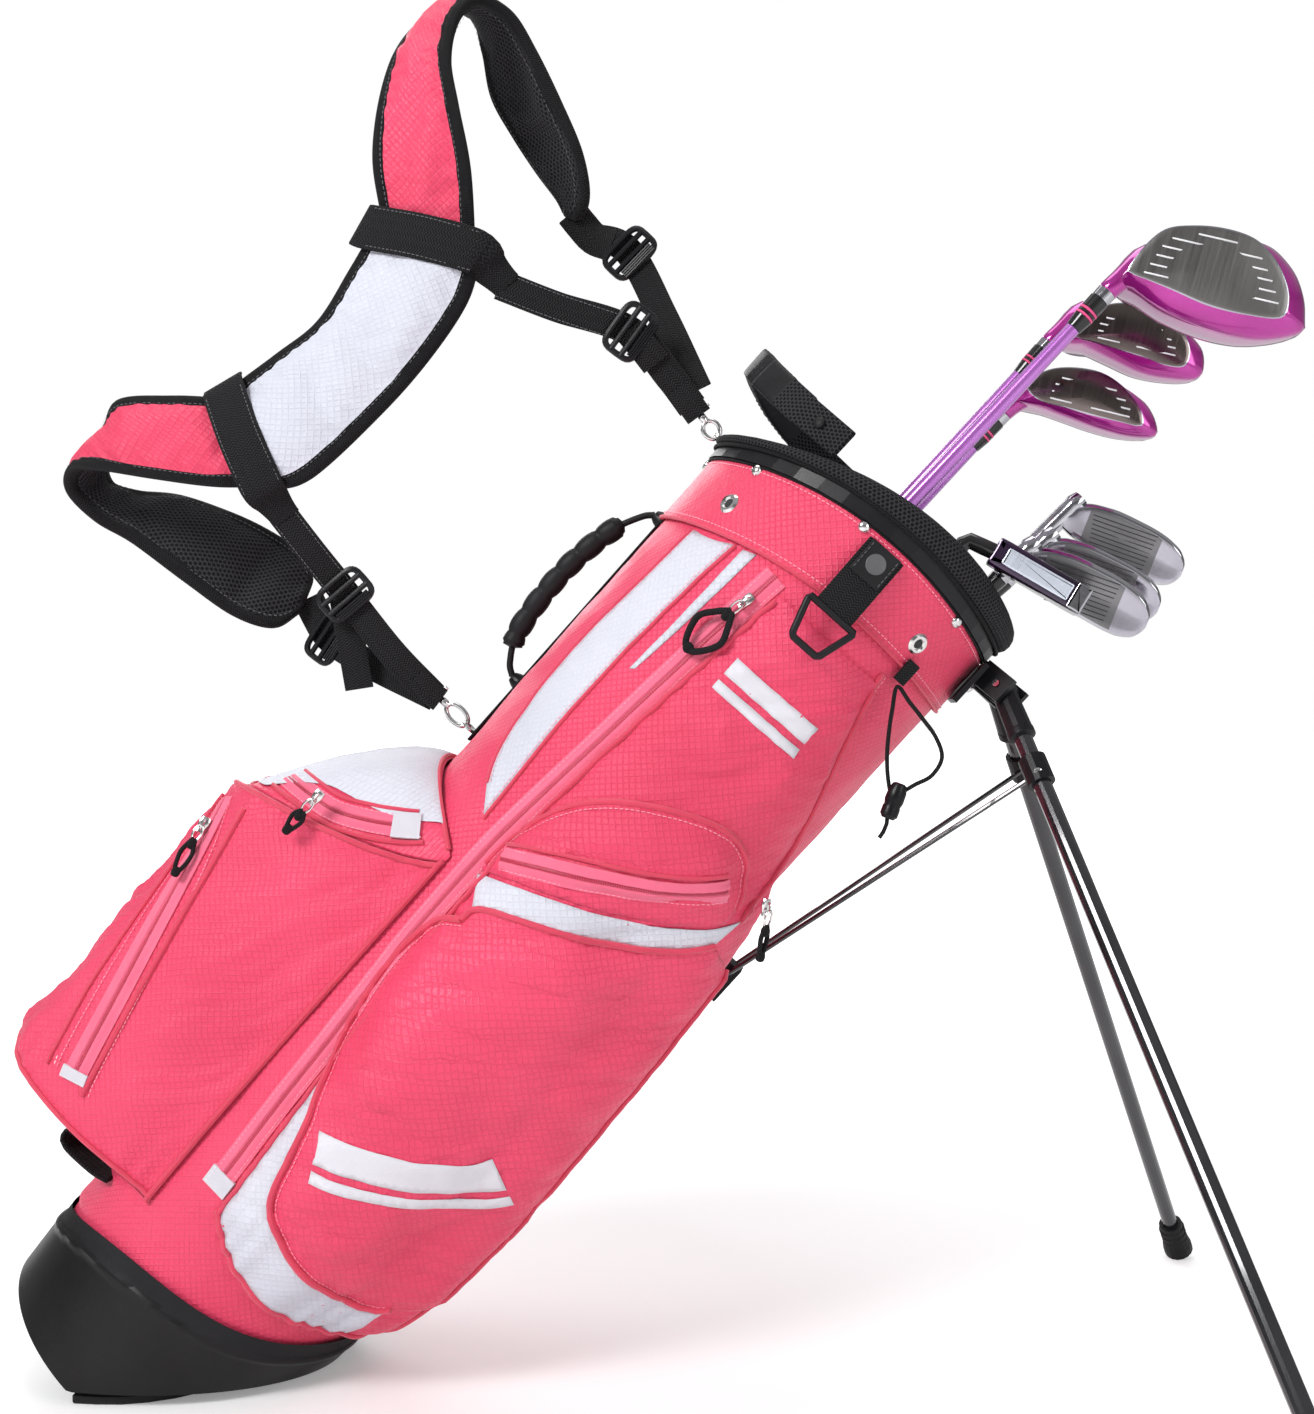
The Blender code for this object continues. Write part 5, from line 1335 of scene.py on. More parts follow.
for k, deg in enumerate((-131, -89, -43, -175, 130, 88)):
    rivet(f"collar_rivet_{k}", deg, cuff_top(CUFF_R * cos(radians(deg))) - 0.0030, 0.0036)
for k, (deg, z) in enumerate(((-131, 0.683), (-49, 0.695), (131, 0.683), (49, 0.695))):
    rivet(f"eyelet_{k}", deg, z, 0.0062, eyelet=True)


def make_top_handle():
    """A rubber strap across the -X side, its roots wrapped in mesh."""
    # (x, y, z) of the far half, from root to middle
    half = [(-0.040, 0.0965, 0.7525), (-0.075, 0.0850, 0.7535), (-0.105, 0.0600, 0.7570),
            (-0.122, 0.0300, 0.7615), (-0.1265, 0.0, 0.7635)]
    points = [(x, -y, z) for x, y, z in half] + half[-2::-1]
    path = [p + Vector((0, 0, 0.0001)) for p in curve(points, 0.0022)]
    last = len(path) - 1
    n = 24
    section = []
    for k in range(n):
        c, s = cos(2 * pi * k / n), sin(2 * pi * k / n)
        section.append((copysign(abs(c) ** 0.35, c) * 0.0026,
                        copysign(abs(s) ** 0.30, s) * 0.0104))
    rows, uvs, run = [], [], 0.0
    for k, (_, side, up) in enumerate(frames_along(path, (0, 0, 1))):
        if k:
            run += (path[k] - path[k - 1]).length
        t = k / last
        rib = 0.0
        if 0.20 < t < 0.36 or 0.64 < t < 0.80:      # two ribbed stretches
            rib = 0.00055 * (1 if sin(run * 2 * pi / 0.0044) > 0 else -0.4)
        slim = 1.0 if 0.12 < t < 0.88 else 0.93
        for x, y in section:
            rows.append(path[k] + side * (x * (1 + rib / 0.0026))
                        + up * (y * slim + (rib if y > 0 else -rib) * 0.6))
            uvs.append((y, run))
    faces = tube_faces(len(path), n)
    face_mat = [0 if 0.19 * last <= f[0] // n <= 0.81 * last else 1 for f in faces]
    build("top_handle_strap", rows, faces, [RUBBER, MESH], "bag", uvs, face_mat=face_mat,
          sharp=50, slot="grip_rubber", replaces="top_handle")


make_top_handle()
for tag, side in (("near", -1), ("far", 1)):
    turned("top_handle_rivet_" + tag, Vector((-0.060, side * 0.0945, 0.7530)),
           polar(1, side * 122, 0),
           [(0.0036, -0.001), (0.0036, 0.0006), (0.0024, 0.0014), (0.001, 0.0016)],
           RUBBER, "bag")

# spine strip and grab handle, on the -X side
sweep("spine_webbing", [Vector((-0.1049, 0, z)) for z in np.linspace(0.458, 0.646, 60)],
      flat_profile(0.024, 0.0018), WEB, "bag", (-1, 0, 0), slot="webbing",
      replaces="spine_stay")


def sleeve_radius(t):
    """Six and a half swellings between two thin ends."""
    if t < 0.15 or t > 0.86:
        return 0.30
    u = (t - 0.15) / 0.71
    return 0.80 + 0.28 * sin(pi * ((u * 6.5) % 1.0)) ** 0.5 - 0.16 * (u < 0.02 or u > 0.98)


GRAB_HANDLE = [(-0.1125, 0.648), (-0.1185, 0.641), (-0.1270, 0.622), (-0.1325, 0.592),
               (-0.1330, 0.560), (-0.1290, 0.530), (-0.1200, 0.513), (-0.1125, 0.507)]   # x, z
sweep("spine_handle_sleeve", [Vector((x, 0, z)) for x, z in catmull(GRAB_HANDLE, 0.0012)],
      ring_profile(0.0072, 18), RUBBER, "spine_handle", (0, 1, 0), scale=sleeve_radius,
      sharp=60, slot="grip_rubber", replaces="spine_handle")
for tag, z in (("top", GRAB_HANDLE[0][1]), ("bottom", GRAB_HANDLE[-1][1])):
    turned("spine_handle_anchor_" + tag, Vector((-0.1035, 0, z)), (-1, 0, 0),
           [(0.0060, 0), (0.0060, 0.003), (0.0048, 0.0065), (0.0034, 0.0090)], PLASTIC, "bag")


def make_towel_hook():
    """Webbing, a rubber tab with a plain disc, and a wire ring, hung from the collar."""
    place = (Matrix.Rotation(radians(-81.0), 4, "Z") @ Matrix.Translation((0.1105, 0, 0.7215))
             @ Matrix.Rotation(radians(-9.0), 4, "Y"))
    up = place.to_3x3() @ Vector((1, 0, 0))
    middle = 0.004      # local y of the strap

    def placed(points):
        return [place @ Vector(p) for p in points]

    sweep("towel_strap", placed([(0.0, middle, z) for z in np.linspace(0.0005, -0.0500, 18)]),
          flat_profile(0.026, 0.0022), WEB, "towel_hook", up, slot="webbing",
          replaces="towel_hook")
    tab = [(x, middle, z) for x, z in ((0.0018, 0.0005), (0.0020, -0.006), (0.0020, -0.012),
                                       (0.0020, -0.0195), (0.0016, -0.0215))]
    sweep("towel_tab", placed(curve(tab, 0.001)), flat_profile(0.0215, 0.0018, 5), RUBBER,
          "towel_hook", up, slot="grip_rubber")
    turned("towel_badge", place @ Vector((0.0027, middle, -0.0105)), up,
           [(0.0062, -0.0004), (0.0062, 0.0005), (0.0056, 0.0009), (0.0050, 0.0006),
            (0.001, 0.0007)], GREY_RUBBER, "towel_hook")
    for tag, side in (("a", -1), ("b", 1)):
        path = placed([(0.0030, middle + side * 0.0093, z)
                       for z in np.linspace(-0.001, -0.0200, 12)])
        stitch_mesh("towel_tab_stitch_" + tag, path, [up] * len(path), THREAD_K, "towel_hook")
    ring = [(0, y, z) for y, z in ((-0.013, -0.0485), (0.021, -0.0485), (0.0205, -0.0515),
                                   (0.0145, -0.0715), (0.0125, -0.0733), (-0.0045, -0.0733),
                                   (-0.0065, -0.0715), (-0.0125, -0.0515))]
    sweep("towel_ring", placed(along_edges(ring, (0.0, 0.25, 0.5, 0.75))),
          ring_profile(0.0022, 12), PLASTIC, "towel_hook", up, closed=True,
          slot="black_plastic")


make_towel_hook()


# ---------------------------------------------------------------- zip pulls and umbrella cord
def zip_pull(node, place, drop, spread, cord_r):
    """A cast slider with its bail, and a knotted cord loop.

    Local X is out of the cloth, -Z down the cord.
    """
    turn = place.to_3x3()
    up, down = turn @ Vector((1, 0, 0)), turn @ Vector((0, 0, -1))

    def placed(points):
        return [place @ Vector(p) for p in points]

    body = sweep(node + "_b", placed([(0.0010, 0, z) for z in np.linspace(0.0052, -0.0052, 15)]),
                 flat_profile(0.0072, 0.0034), NICKEL, node, up,
                 scale=lambda t: 0.72 + 0.28 * sin(pi * min(1, t * 1.25 + 0.12)))
    bail_path = placed([(0.0022, 0, 0.0032), (0.0042, 0, 0.0022), (0.0048, 0, -0.0004),
                        (0.0042, 0, -0.0026), (0.0024, 0, -0.0034)])
    bail = sweep(node + "_c", bail_path, ring_profile(0.0008), NICKEL, node, (0, 1, 0.01))
    link = [(0.0046 + 0.0004 * cos(a), 0.0026 * sin(a), -0.0052 + 0.0052 * cos(a) - 0.001)
            for a in np.linspace(0, 2 * pi, 19)[:-1]]
    ring = sweep(node + "_d", placed(link), ring_profile(0.0008), NICKEL, node, up, closed=True)
    half = [(0.0042, 0.0006, -0.0100), (0.0046, spread * 0.55, -0.30 * drop - 0.004),
            (0.0044, spread, -0.62 * drop), (0.0044, spread * 0.55, -0.90 * drop)]
    loop = half + [(0.0044, 0.0, -drop)] + [(x, -y, z) for x, y, z in half[::-1]]
    cord = sweep(node + "_e", placed(curve(loop, 0.001)), ring_profile(cord_r, 10), CORD,
                 node, up)
    knot = turned(node + "_f", place @ Vector((0.0044, 0, -0.0110)), down,
                  [(0.0012, 0), (0.0026, 0.0012), (0.0029, 0.003), (0.0025, 0.0050),
                   (0.0014, 0.0062)], CORD, node)
    end = turned(node + "_g", place @ Vector((0.0044, 0, -drop + 0.004)), down,
                 [(0.0016, 0), (0.0026, 0.001), (0.0030, 0.0035), (0.0024, 0.0058),
                  (0.0010, 0.0066)], CORD, node)
    joined([body, bail, ring, cord, knot, end], node + "_detail", node, node)


def circle_centre(a, b, c):
    """Centre and normal of the circle through three points."""
    ab, ac = b - a, c - a
    n = ab.cross(ac)
    away = (ac.length_squared * n.cross(ab)) + (ab.length_squared * ac.cross(n))
    return a + away / (2 * n.length_squared), n.normalized()


def pull_frame(origin, out, up):
    """A pull's place: X out of the cloth, Z up along the zip."""
    up = -up if up.z < 0 else up
    place = Matrix((out, up.cross(out), up)).transposed().to_4x4()
    place.translation = origin
    return place


def long_pull_frame():
    mid_deg, r = -106.0, TUBE_R + 0.0029
    out, side = polar(1.0, mid_deg, 0), polar(1.0, mid_deg + 90, 0)
    points = [out * r + side * (r * tan(radians(deg - mid_deg))) + Vector((0, 0, z))
              for deg, z in ((-100.8, 0.646), (-111.0, 0.406), (-103.8, 0.190))]
    centre, _ = circle_centre(*points)
    return pull_frame(points[0], out, (points[0] - centre).normalized().cross(out))


def ball_over(delta, z, lift):
    """A point over the ball pocket's outline, and `lift` out of it."""
    def on_outline(d, height):
        return polar(linear(BALL_OUT, abs(d)), 180 + d, height)

    point = on_outline(delta, z)
    side = on_outline(delta + 1.5, 0) - on_outline(delta - 1.5, 0)
    normal = side.cross(Vector((0, 0, 1))).normalized()
    if normal.dot(Vector((point.x, point.y, 0))) <= 0:
        normal = -normal
    return point + normal * lift


def ball_pull_frame():
    points = [ball_over(delta, z, 0.0055) for z, delta in GUSSET[3:0:-1]]
    centre, normal = circle_centre(*points)
    out = (points[0] - centre).normalized()
    return pull_frame(points[0], out, out.cross(normal))


def cad_garment(u, z):
    """Radius and azimuth of the CAD's plain garment pocket."""
    low = garment_low(u)
    level = POCKET_LOW + (POCKET_TOP - POCKET_LOW) * (z - low) / (POCKET_TOP - low)
    left, right = linear(LEFT_EDGE, level), linear(RIGHT_EDGE, level)
    tube = linear([(0.10, 0.1005), (0.19, 0.1030), (0.30, TUBE_R)], level)
    r = (tube + SEAM + linear(BULGE, level) * (1 - abs(2 * u - 1) ** 2.6)
         + linear(BOXY, level) * boxiness(u))
    return r, left + (right - left) * u


def accessory_point(u, lift=0.0100):
    """A point over the CAD's garment pocket, in the slanted plane of the accessory zip."""
    def plane(x):
        return 0.4523 + 0.597 * x

    z = 0.47
    for _ in range(20):
        r, deg = cad_garment(u, z)
        z = 0.6 * z + 0.4 * plane(polar(r + lift, deg, 0).x)
    r, deg = cad_garment(u, z)
    point = polar(r + lift, deg, 0)
    point.z = plane(point.x)
    return point


def accessory_pull_frame():
    points = [accessory_point(u) for u in (0.80, 0.50, 0.18)]
    centre, normal = circle_centre(*points)
    return pull_frame(points[0], (points[0] - centre).normalized(), normal)


zip_pull("garment_zip_pull", long_pull_frame(), drop=0.0440, spread=0.0112, cord_r=0.0021)
zip_pull("ball_zip_pull", ball_pull_frame(), drop=0.034, spread=0.0036, cord_r=0.0014)
zip_pull("cooler_zip_pull", Matrix.Translation((-0.1368, -0.0990, 0.3835))
         @ Matrix.Rotation(radians(-90), 4, "Z"), drop=0.026, spread=0.0036, cord_r=0.0014)
zip_pull("accessory_zip_pull", accessory_pull_frame(), drop=0.030, spread=0.0026,
         cord_r=0.0015)


def make_umbrella_cord():
    """A hanging cord loop closed by a toggle, and the webbing tab that holds it."""
    node = "umbrella_cord"
    tab_deg = -45.5
    top = BAG @ polar(0.1115, tab_deg, 0.668)
    loop = [(0.0, 0.0), (0.007, -0.009), (0.014, -0.018), (0.0225, -0.030), (0.026, -0.042),
            (0.020, -0.0525), (0.010, -0.058), (0.001, -0.0635), (-0.003, -0.066),
            (-0.0055, -0.054), (-0.006, -0.040), (-0.0048, -0.026), (-0.003, -0.014)]   # x, z
    path = [top + Vector((x, -0.004 - 0.10 * abs(z), z))
            for x, z in catmull(loop, 0.0015, closed=True)]
    cord = sweep("uc_a", path, ring_profile(0.00125, 10), CORD, node, (0, -1, 0), bag=False,
                 closed=True)
    start, end = top + Vector((0.0015, -0.0105, -0.058)), top + Vector((-0.006, -0.0115, -0.078))
    toggle = turned("uc_b", start, end - start,
                    [(0.0026, -0.001), (0.0044, 0.0), (0.0056, 0.004), (0.0058, 0.010),
                     (0.0050, 0.013), (0.0054, 0.0145), (0.0054, 0.019), (0.0036, 0.0212)],
                    PLASTIC, node, bag=False)
    tail_path = [end + (end - start).normalized() * f + Vector((0.001 * sin(f * 300), 0, 0))
                 for f in (-0.002, 0.003, 0.008, 0.012)]
    tail = sweep("uc_c", tail_path, ring_profile(0.00125), CORD, node, (0, -1, 0), bag=False)
    joined([cord, toggle, tail], "umbrella_loop", node, node)
    low = cuff_low(CUFF_R * cos(radians(tab_deg)))
    tab = [polar(CUFF_R + 0.0025, tab_deg, low + d) for d in (0.006, 0.002, -0.004, -0.009)]
    sweep("umbrella_tab", tab, flat_profile(0.0105, 0.0022), WEB, "bag",
          polar(1, tab_deg, 0), slot="webbing")


make_umbrella_cord()

# rod guide low on the stand side, web loops under the ball pocket
ROD_GUIDE = [(0.1040, -0.016), (0.1040, -0.008), (0.1235, -0.006), (0.1255, 0),
             (0.1235, 0.006), (0.1040, 0.008), (0.1040, 0.016)]    # x, y
sweep("rod_guide", [Vector((x, y, 0.190)) for x, y in ROD_GUIDE],
      [(-0.0011, -0.010), (0.0011, -0.010), (0.0011, 0.010), (-0.0011, 0.010)],
      WEB, "bag", (0, 0, 1), slot="webbing", sharp=30)
BASE_WEB = [(-0.1000, 0.0995), (-0.1120, 0.0965), (-0.1350, 0.0960), (-0.1420, 0.1010),
            (-0.1390, 0.1085), (-0.1150, 0.1125), (-0.1010, 0.1140)]    # x, z
for k, (y, shift) in enumerate(((-0.052, 0.018), (0.0, 0.0), (0.052, 0.018))):
    rows, uvs = [], []
    path = [Vector((x + shift, y, z)) for x, z in catmull(BASE_WEB, 0.003)]
    for i, point in enumerate(path):
        for f in (-1, -0.5, 0, 0.5, 1):
            rows.append(point + Vector((0, 0.012 * f, 0)))
            uvs.append((0.012 * f, i * 0.003))
    loop = build(f"base_web_{k}", rows, grid_faces(len(path), 5), WEB, "bag", uvs,
                 slot="webbing")
    solidify(loop, "thick", 0.0018, offset=0.0)


# ---------------------------------------------------------------- harness, in the world frame
# Stations along each pad: the two ends of its width.
UPPER_PAD = [((0.240, -0.040, 0.727), (0.179, -0.040, 0.745)),
             ((0.238, -0.045, 0.775), (0.173, -0.040, 0.786)),
             ((0.230, -0.045, 0.816), (0.176, -0.030, 0.831)),
             ((0.224, -0.042, 0.847), (0.184, -0.012, 0.867)),
             ((0.227, -0.035, 0.875), (0.202, 0.008, 0.893)),
             ((0.238, -0.025, 0.890), (0.222, 0.028, 0.903)),
             ((0.256, -0.010, 0.886), (0.228, 0.042, 0.880)),
             ((0.270, 0.000, 0.865), (0.232, 0.050, 0.852)),
             ((0.286, 0.006, 0.832), (0.246, 0.052, 0.826)),
             ((0.299, 0.012, 0.800), (0.263, 0.052, 0.800)),
             ((0.302, 0.022, 0.774), (0.276, 0.051, 0.783)),
             ((0.294, 0.034, 0.760), (0.284, 0.048, 0.770))]
LOWER_PAD = [((0.098, -0.040, 0.576), (0.073, -0.040, 0.634)),
             ((0.068, -0.045, 0.576), (0.039, -0.040, 0.636)),
             ((0.026, -0.045, 0.582), (-0.001, -0.030, 0.636)),
             ((-0.013, -0.042, 0.589), (-0.017, -0.010, 0.621)),
             ((-0.032, -0.035, 0.590), (-0.029, 0.010, 0.603)),
             ((-0.039, -0.025, 0.578), (-0.032, 0.030, 0.588)),
             ((-0.026, -0.012, 0.560), (-0.017, 0.040, 0.583)),
             ((-0.006, 0.000, 0.546), (0.010, 0.047, 0.581)),
             ((0.029, 0.006, 0.519), (0.044, 0.050, 0.570)),
             ((0.061, 0.012, 0.496), (0.072, 0.052, 0.557)),
             ((0.086, 0.022, 0.488), (0.095, 0.052, 0.541)),
             ((0.101, 0.034, 0.499), (0.106, 0.048, 0.521))]
YOKE = [((0.2435, -0.040, 0.7195), (0.1720, -0.040, 0.7375)),
        ((0.236, -0.045, 0.690), (0.158, -0.042, 0.713)),
        ((0.213, -0.048, 0.655), (0.137, -0.042, 0.681)),
        ((0.181, -0.048, 0.620), (0.110, -0.042, 0.661)),
        ((0.134, -0.045, 0.580), (0.083, -0.040, 0.643)),
        ((0.1035, -0.040, 0.573), (0.0775, -0.040, 0.6365))]
BIND_W = 0.0082
PAD_STEP = 0.0042
PAD_HALF, PAD_CROWN = 0.0040, 0.0038
NEAR = (0, -1, 0)       # towards the camera's side


def swell(obj, pins, frames=20, pressure=4.0, cap=0.006):
    """Blows a closed pad up with cloth whose pinned points stay put, and caps how far any
    point moves."""
    scene = bpy.context.scene
    rest = [v.co.copy() for v in obj.data.vertices]
    group = obj.vertex_groups.new(name="pins")
    for i in pins:
        group.add([i], 1.0, "REPLACE")
    cloth = obj.modifiers.new("cloth", "CLOTH")
    settings = cloth.settings
    settings.quality = 6
    settings.mass = 0.25
    settings.tension_stiffness = settings.compression_stiffness = 14
    settings.shear_stiffness = 4
    settings.bending_stiffness = 0.35
    settings.use_pressure = True
    settings.uniform_pressure_force = pressure
    settings.vertex_group_mass = "pins"
    settings.pin_stiffness = 1.0
    settings.shrink_min = -0.035
    settings.effector_weights.gravity = 0.0
    cloth.collision_settings.use_collision = False
    cloth.point_cache.frame_start, cloth.point_cache.frame_end = 1, frames
    for number in range(1, frames + 1):
        scene.frame_set(number)
    evaluated = obj.evaluated_get(bpy.context.evaluated_depsgraph_get())
    blown = [v.co.copy() for v in evaluated.data.vertices]
    obj.modifiers.remove(cloth)
    obj.vertex_groups.remove(group)
    for v, start, end in zip(obj.data.vertices, rest, blown):
        move = end - start
        if move.length > cap:
            move *= cap / move.length
        v.co = start + move
    scene.frame_set(1)


def pad_stations(stations):
    """Middle, across, half width and outer normal at close steps along a pad."""
    dense = catmull([a + b for a, b in stations], PAD_STEP)
    starts, ends = [Vector(v[:3]) for v in dense], [Vector(v[3:]) for v in dense]
    # the outer cloth faces the near side at the joint with the yoke
    (a0, b0), (a1, b1) = [(Vector(a), Vector(b)) for a, b in stations[:2]]
    facing = 1.0 if ((a1 + b1) - (a0 + b0)).cross(b0 - a0).y < 0 else -1.0
    out = []
    for k, (a, b) in enumerate(zip(starts, ends)):
        i, j = max(k - 1, 0), min(k + 1, len(dense) - 1)
        along = (starts[j] + ends[j]) - (starts[i] + ends[i])
        half_width = (b - a).length / 2
        across = (b - a).normalized()
        out.append(((a + b) / 2, across, half_width, along.cross(across).normalized() * facing))
    return out


def pad_section(half_width, run, seed):
    """(across, height, kind) round a pad; kind is 0 outer cloth, 1 binding, 2 inner mesh."""
    cloth_n, bind_n = 13, 7
    half, bind = PAD_HALF, min(BIND_W, half_width * 0.45)
    inner = half_width - bind
    out = []
    for i in range(cloth_n):
        f = -1 + 2 * i / (cloth_n - 1)
        y = half + PAD_CROWN * (1 - abs(f) ** 2.4)
        y += 0.0011 * abs(f) ** 3 * sin(run * 560 + 2.2 * sin(run * 130 + f))
        y += 0.0018 * (1 - f * f) * folds(f * inner, run, seed, 15, 0.06, 0.02)
        out.append((f * inner, y, 0))
    for i in range(1, bind_n):
        a = pi / 2 - pi * i / bind_n
        out.append((inner + bind * max(0.0, cos(a)) ** 0.8 + 0.0004,
                    (half + 0.0010) * sin(a), 1))
    for i in range(cloth_n):
        f = 1 - 2 * i / (cloth_n - 1)
        crease = 0.0008 * (1 - f * f) * folds(f * inner, run, seed + 4, 10, 0.05, 0.03)
        out.append((f * inner, -half - PAD_CROWN * 0.7 * (1 - abs(f) ** 2.4) - crease, 2))
    for i in range(1, bind_n):
        a = -pi / 2 - pi * i / bind_n
        out.append((-inner - bind * max(0.0, -cos(a)) ** 0.8 - 0.0004,
                    (half + 0.0010) * sin(a), 1))
    return out


def pad(name, stations, outer, node, slot, seed, bound_end=True):
    """A padded strap: crowned outer cloth, mesh inside, and a bound edge all along."""
    dense = pad_stations(stations)
    count = len(dense)
    rows, uvs, kinds, pins = [], [], [], []
    run = 0.0
    for k, (middle, across, half_width, normal) in enumerate(dense):
        if k:
            run += (middle - dense[k - 1][0]).length
        for x, y, kind in pad_section(half_width, run, seed):
            if k in (0, count - 1) or kind == 1:
                pins.append(len(rows))
            rows.append(middle + across * x + normal * y)
            uvs.append((x, run))
            kinds.append(kind)
    n = len(rows) // count
    faces = tube_faces(count, n)
    bound_from = count - 1 - int(0.012 / PAD_STEP) if bound_end else count
    face_mat = []
    for face in faces[:-2]:
        found = {kinds[i] for i in face}
        plain = len(found) == 1 and face[0] // n < bound_from
        face_mat.append(found.pop() if plain else 1)
    face_mat += [1, 1]
    obj = build(name, rows, faces, [outer, BIND, MESH_IN], "harness", uvs, bag=False,
                face_mat=face_mat, sharp=None, slot=slot, replaces=node)
    swell(obj, pins)
    fine = obj.modifiers.new("fine", "SUBSURF")
    fine.levels = fine.render_levels = 1
    # thread along the bound edges, on the outer and the inner face
    for tag, edge in (("near", -1), ("far", 1)):
        for face_tag, face in (("o", 1), ("i", -1)):
            path, normals = [], []
            for middle, across, half_width, normal in dense[2:count - 3]:
                x = half_width - min(BIND_W, half_width * 0.45) + 0.0012
                normals.append(normal * face)
                path.append(middle + across * (edge * x) + normals[-1] * (PAD_HALF + 0.0013))
            stitch_mesh(f"{name}_stitch_{tag}_{face_tag}", path, normals, THREAD_K, "harness",
                        bag=False, pitch=0.0036)


pad("shoulder_pad_upper_cloth", UPPER_PAD, PINK_SIDE, "shoulder_pad_upper", "pink_fabric", 51)
pad("shoulder_pad_lower_cloth", LOWER_PAD, PINK_SIDE, "shoulder_pad_lower", "pink_fabric", 57)
pad("back_pad_cloth", YOKE, WHITE, "back_pad", "white_fabric", 63, bound_end=False)


def harness_sweep(name, path, profile, mat=PLASTIC, up=NEAR, **kw):
    return sweep(name, path, profile, mat, "harness", up, bag=False, **kw)


def strap(name, points, width, thick):
    return harness_sweep(name, curve(points), flat_profile(width, thick), WEB)


def edge_stitch(name, points, offset, lift=0.0012):
    path = curve(points)
    frames = frames_along(path, NEAR)
    for tag, side in (("a", -1), ("b", 1)):
        shifted = [p + f[1] * (side * offset) + f[2] * lift for p, f in zip(path, frames)]
        stitch_mesh(f"{name}_{tag}", shifted, [f[2] for f in frames], THREAD_K, "harness",
                    bag=False, pitch=0.0030)


def ladder_lock(name, centre, along):
    """A cast ladder lock: a rounded frame, two cross bars, and a ribbed thumb tab."""
    half_w, half_h, r = 0.0165, 0.0115, 0.0021
    along = Vector(along).normalized()
    side = along.cross(Vector(NEAR)).normalized()
    up = side.cross(along).normalized()
    centre = Vector(centre)
    ring = []
    for k in range(28):
        c, s = cos(2 * pi * k / 28), sin(2 * pi * k / 28)
        ring.append(centre + side * (copysign(abs(c) ** 0.45, c) * half_w)
                    + along * (copysign(abs(s) ** 0.45, s) * half_h) + up * 0.0016)
    out = [harness_sweep(name + "_a", ring, ring_profile(r, 8, r * 1.15), up=up, closed=True)]
    for k, z in enumerate((-0.35, 0.30)):
        bar = [centre + side * (half_w * f) + along * (half_h * z) + up * 0.0026
               for f in (-1, -0.5, 0, 0.5, 1)]
        out.append(harness_sweep(f"{name}_b{k}", bar, ring_profile(r * 0.9), up=up))
    for k in range(4):
        rib = [centre + side * (half_w * 0.8 * f) + along * (half_h * (0.62 + 0.13 * k))
               + up * (0.0042 - 0.0003 * k) for f in (-1, 0, 1)]
        out.append(harness_sweep(f"{name}_c{k}", rib, ring_profile(0.0009, 6), up=up))
    return out


# node, prefix, four straps, two locks (centre, run), folded end by the clip, its width
WEBBINGS = [
    ("webbing_upper", "wu",
     [[(0.2545, -0.036, 0.703), (0.290, -0.026, 0.690), (0.335, -0.014, 0.676),
       (0.360, -0.005, 0.648), (0.3745, 0.0, 0.6285)],
      [(0.3005, 0.040, 0.752), (0.328, 0.030, 0.739), (0.354, 0.016, 0.690),
       (0.3775, 0.003, 0.640)],
      [(0.2885, 0.0395, 0.7680), (0.296, 0.0385, 0.7585), (0.304, 0.039, 0.7500),
       (0.317, 0.034, 0.744)],
      [(0.335, -0.0165, 0.676), (0.345, -0.0140, 0.664), (0.352, -0.0105, 0.655)]],
     [((0.336, -0.0155, 0.675), (0.030, 0.01, -0.022)),
      ((0.330, 0.0275, 0.736), (0.030, -0.01, -0.030))],
     [(0.3660, -0.0028, 0.6405), (0.3745, -0.0022, 0.6285), (0.3790, -0.0010, 0.6222)], 0.0175),
    ("webbing_lower", "wl",
     [[(0.1115, -0.036, 0.559), (0.128, -0.026, 0.535), (0.146, -0.012, 0.509),
       (0.176, -0.006, 0.470), (0.203, 0.0, 0.441)],
      [(0.108, 0.041, 0.500), (0.120, 0.034, 0.482), (0.150, 0.018, 0.465),
       (0.203, 0.003, 0.441)],
      [(0.104, 0.040, 0.509), (0.109, 0.041, 0.4985), (0.115, 0.038, 0.489)],
      [(0.144, -0.0085, 0.507), (0.1465, -0.004, 0.485), (0.1490, 0.001, 0.463),
       (0.1515, 0.003, 0.446)]],
     [((0.147, -0.0136, 0.508), (0.030, 0.01, -0.036)),
      ((0.122, 0.0315, 0.481), (0.030, -0.01, -0.020))],
     [(0.1920, -0.0022, 0.4540), (0.2000, -0.0016, 0.4445), (0.2075, -0.0006, 0.4385)], 0.0165)]
STRAP_SIZES = [(0.0195, 0.0019), (0.0195, 0.0019), (0.022, 0.0030), (0.0195, 0.0018)]
for node, prefix, straps, locks, end, end_width in WEBBINGS:
    parts = [strap(f"{prefix}{k}", points, *size)
             for k, (points, size) in enumerate(zip(straps, STRAP_SIZES), 1)]
    for k, (centre, along) in enumerate(locks, 5):
        parts += ladder_lock(f"{prefix}{k}", centre, along)
    parts.append(strap(prefix + "7", end, end_width, 0.0048))
    joined(parts, node + "_detail", "harness", node)
for node, _, straps, *_ in WEBBINGS:
    edge_stitch(node + "_thread", straps[0][:3], 0.0078)

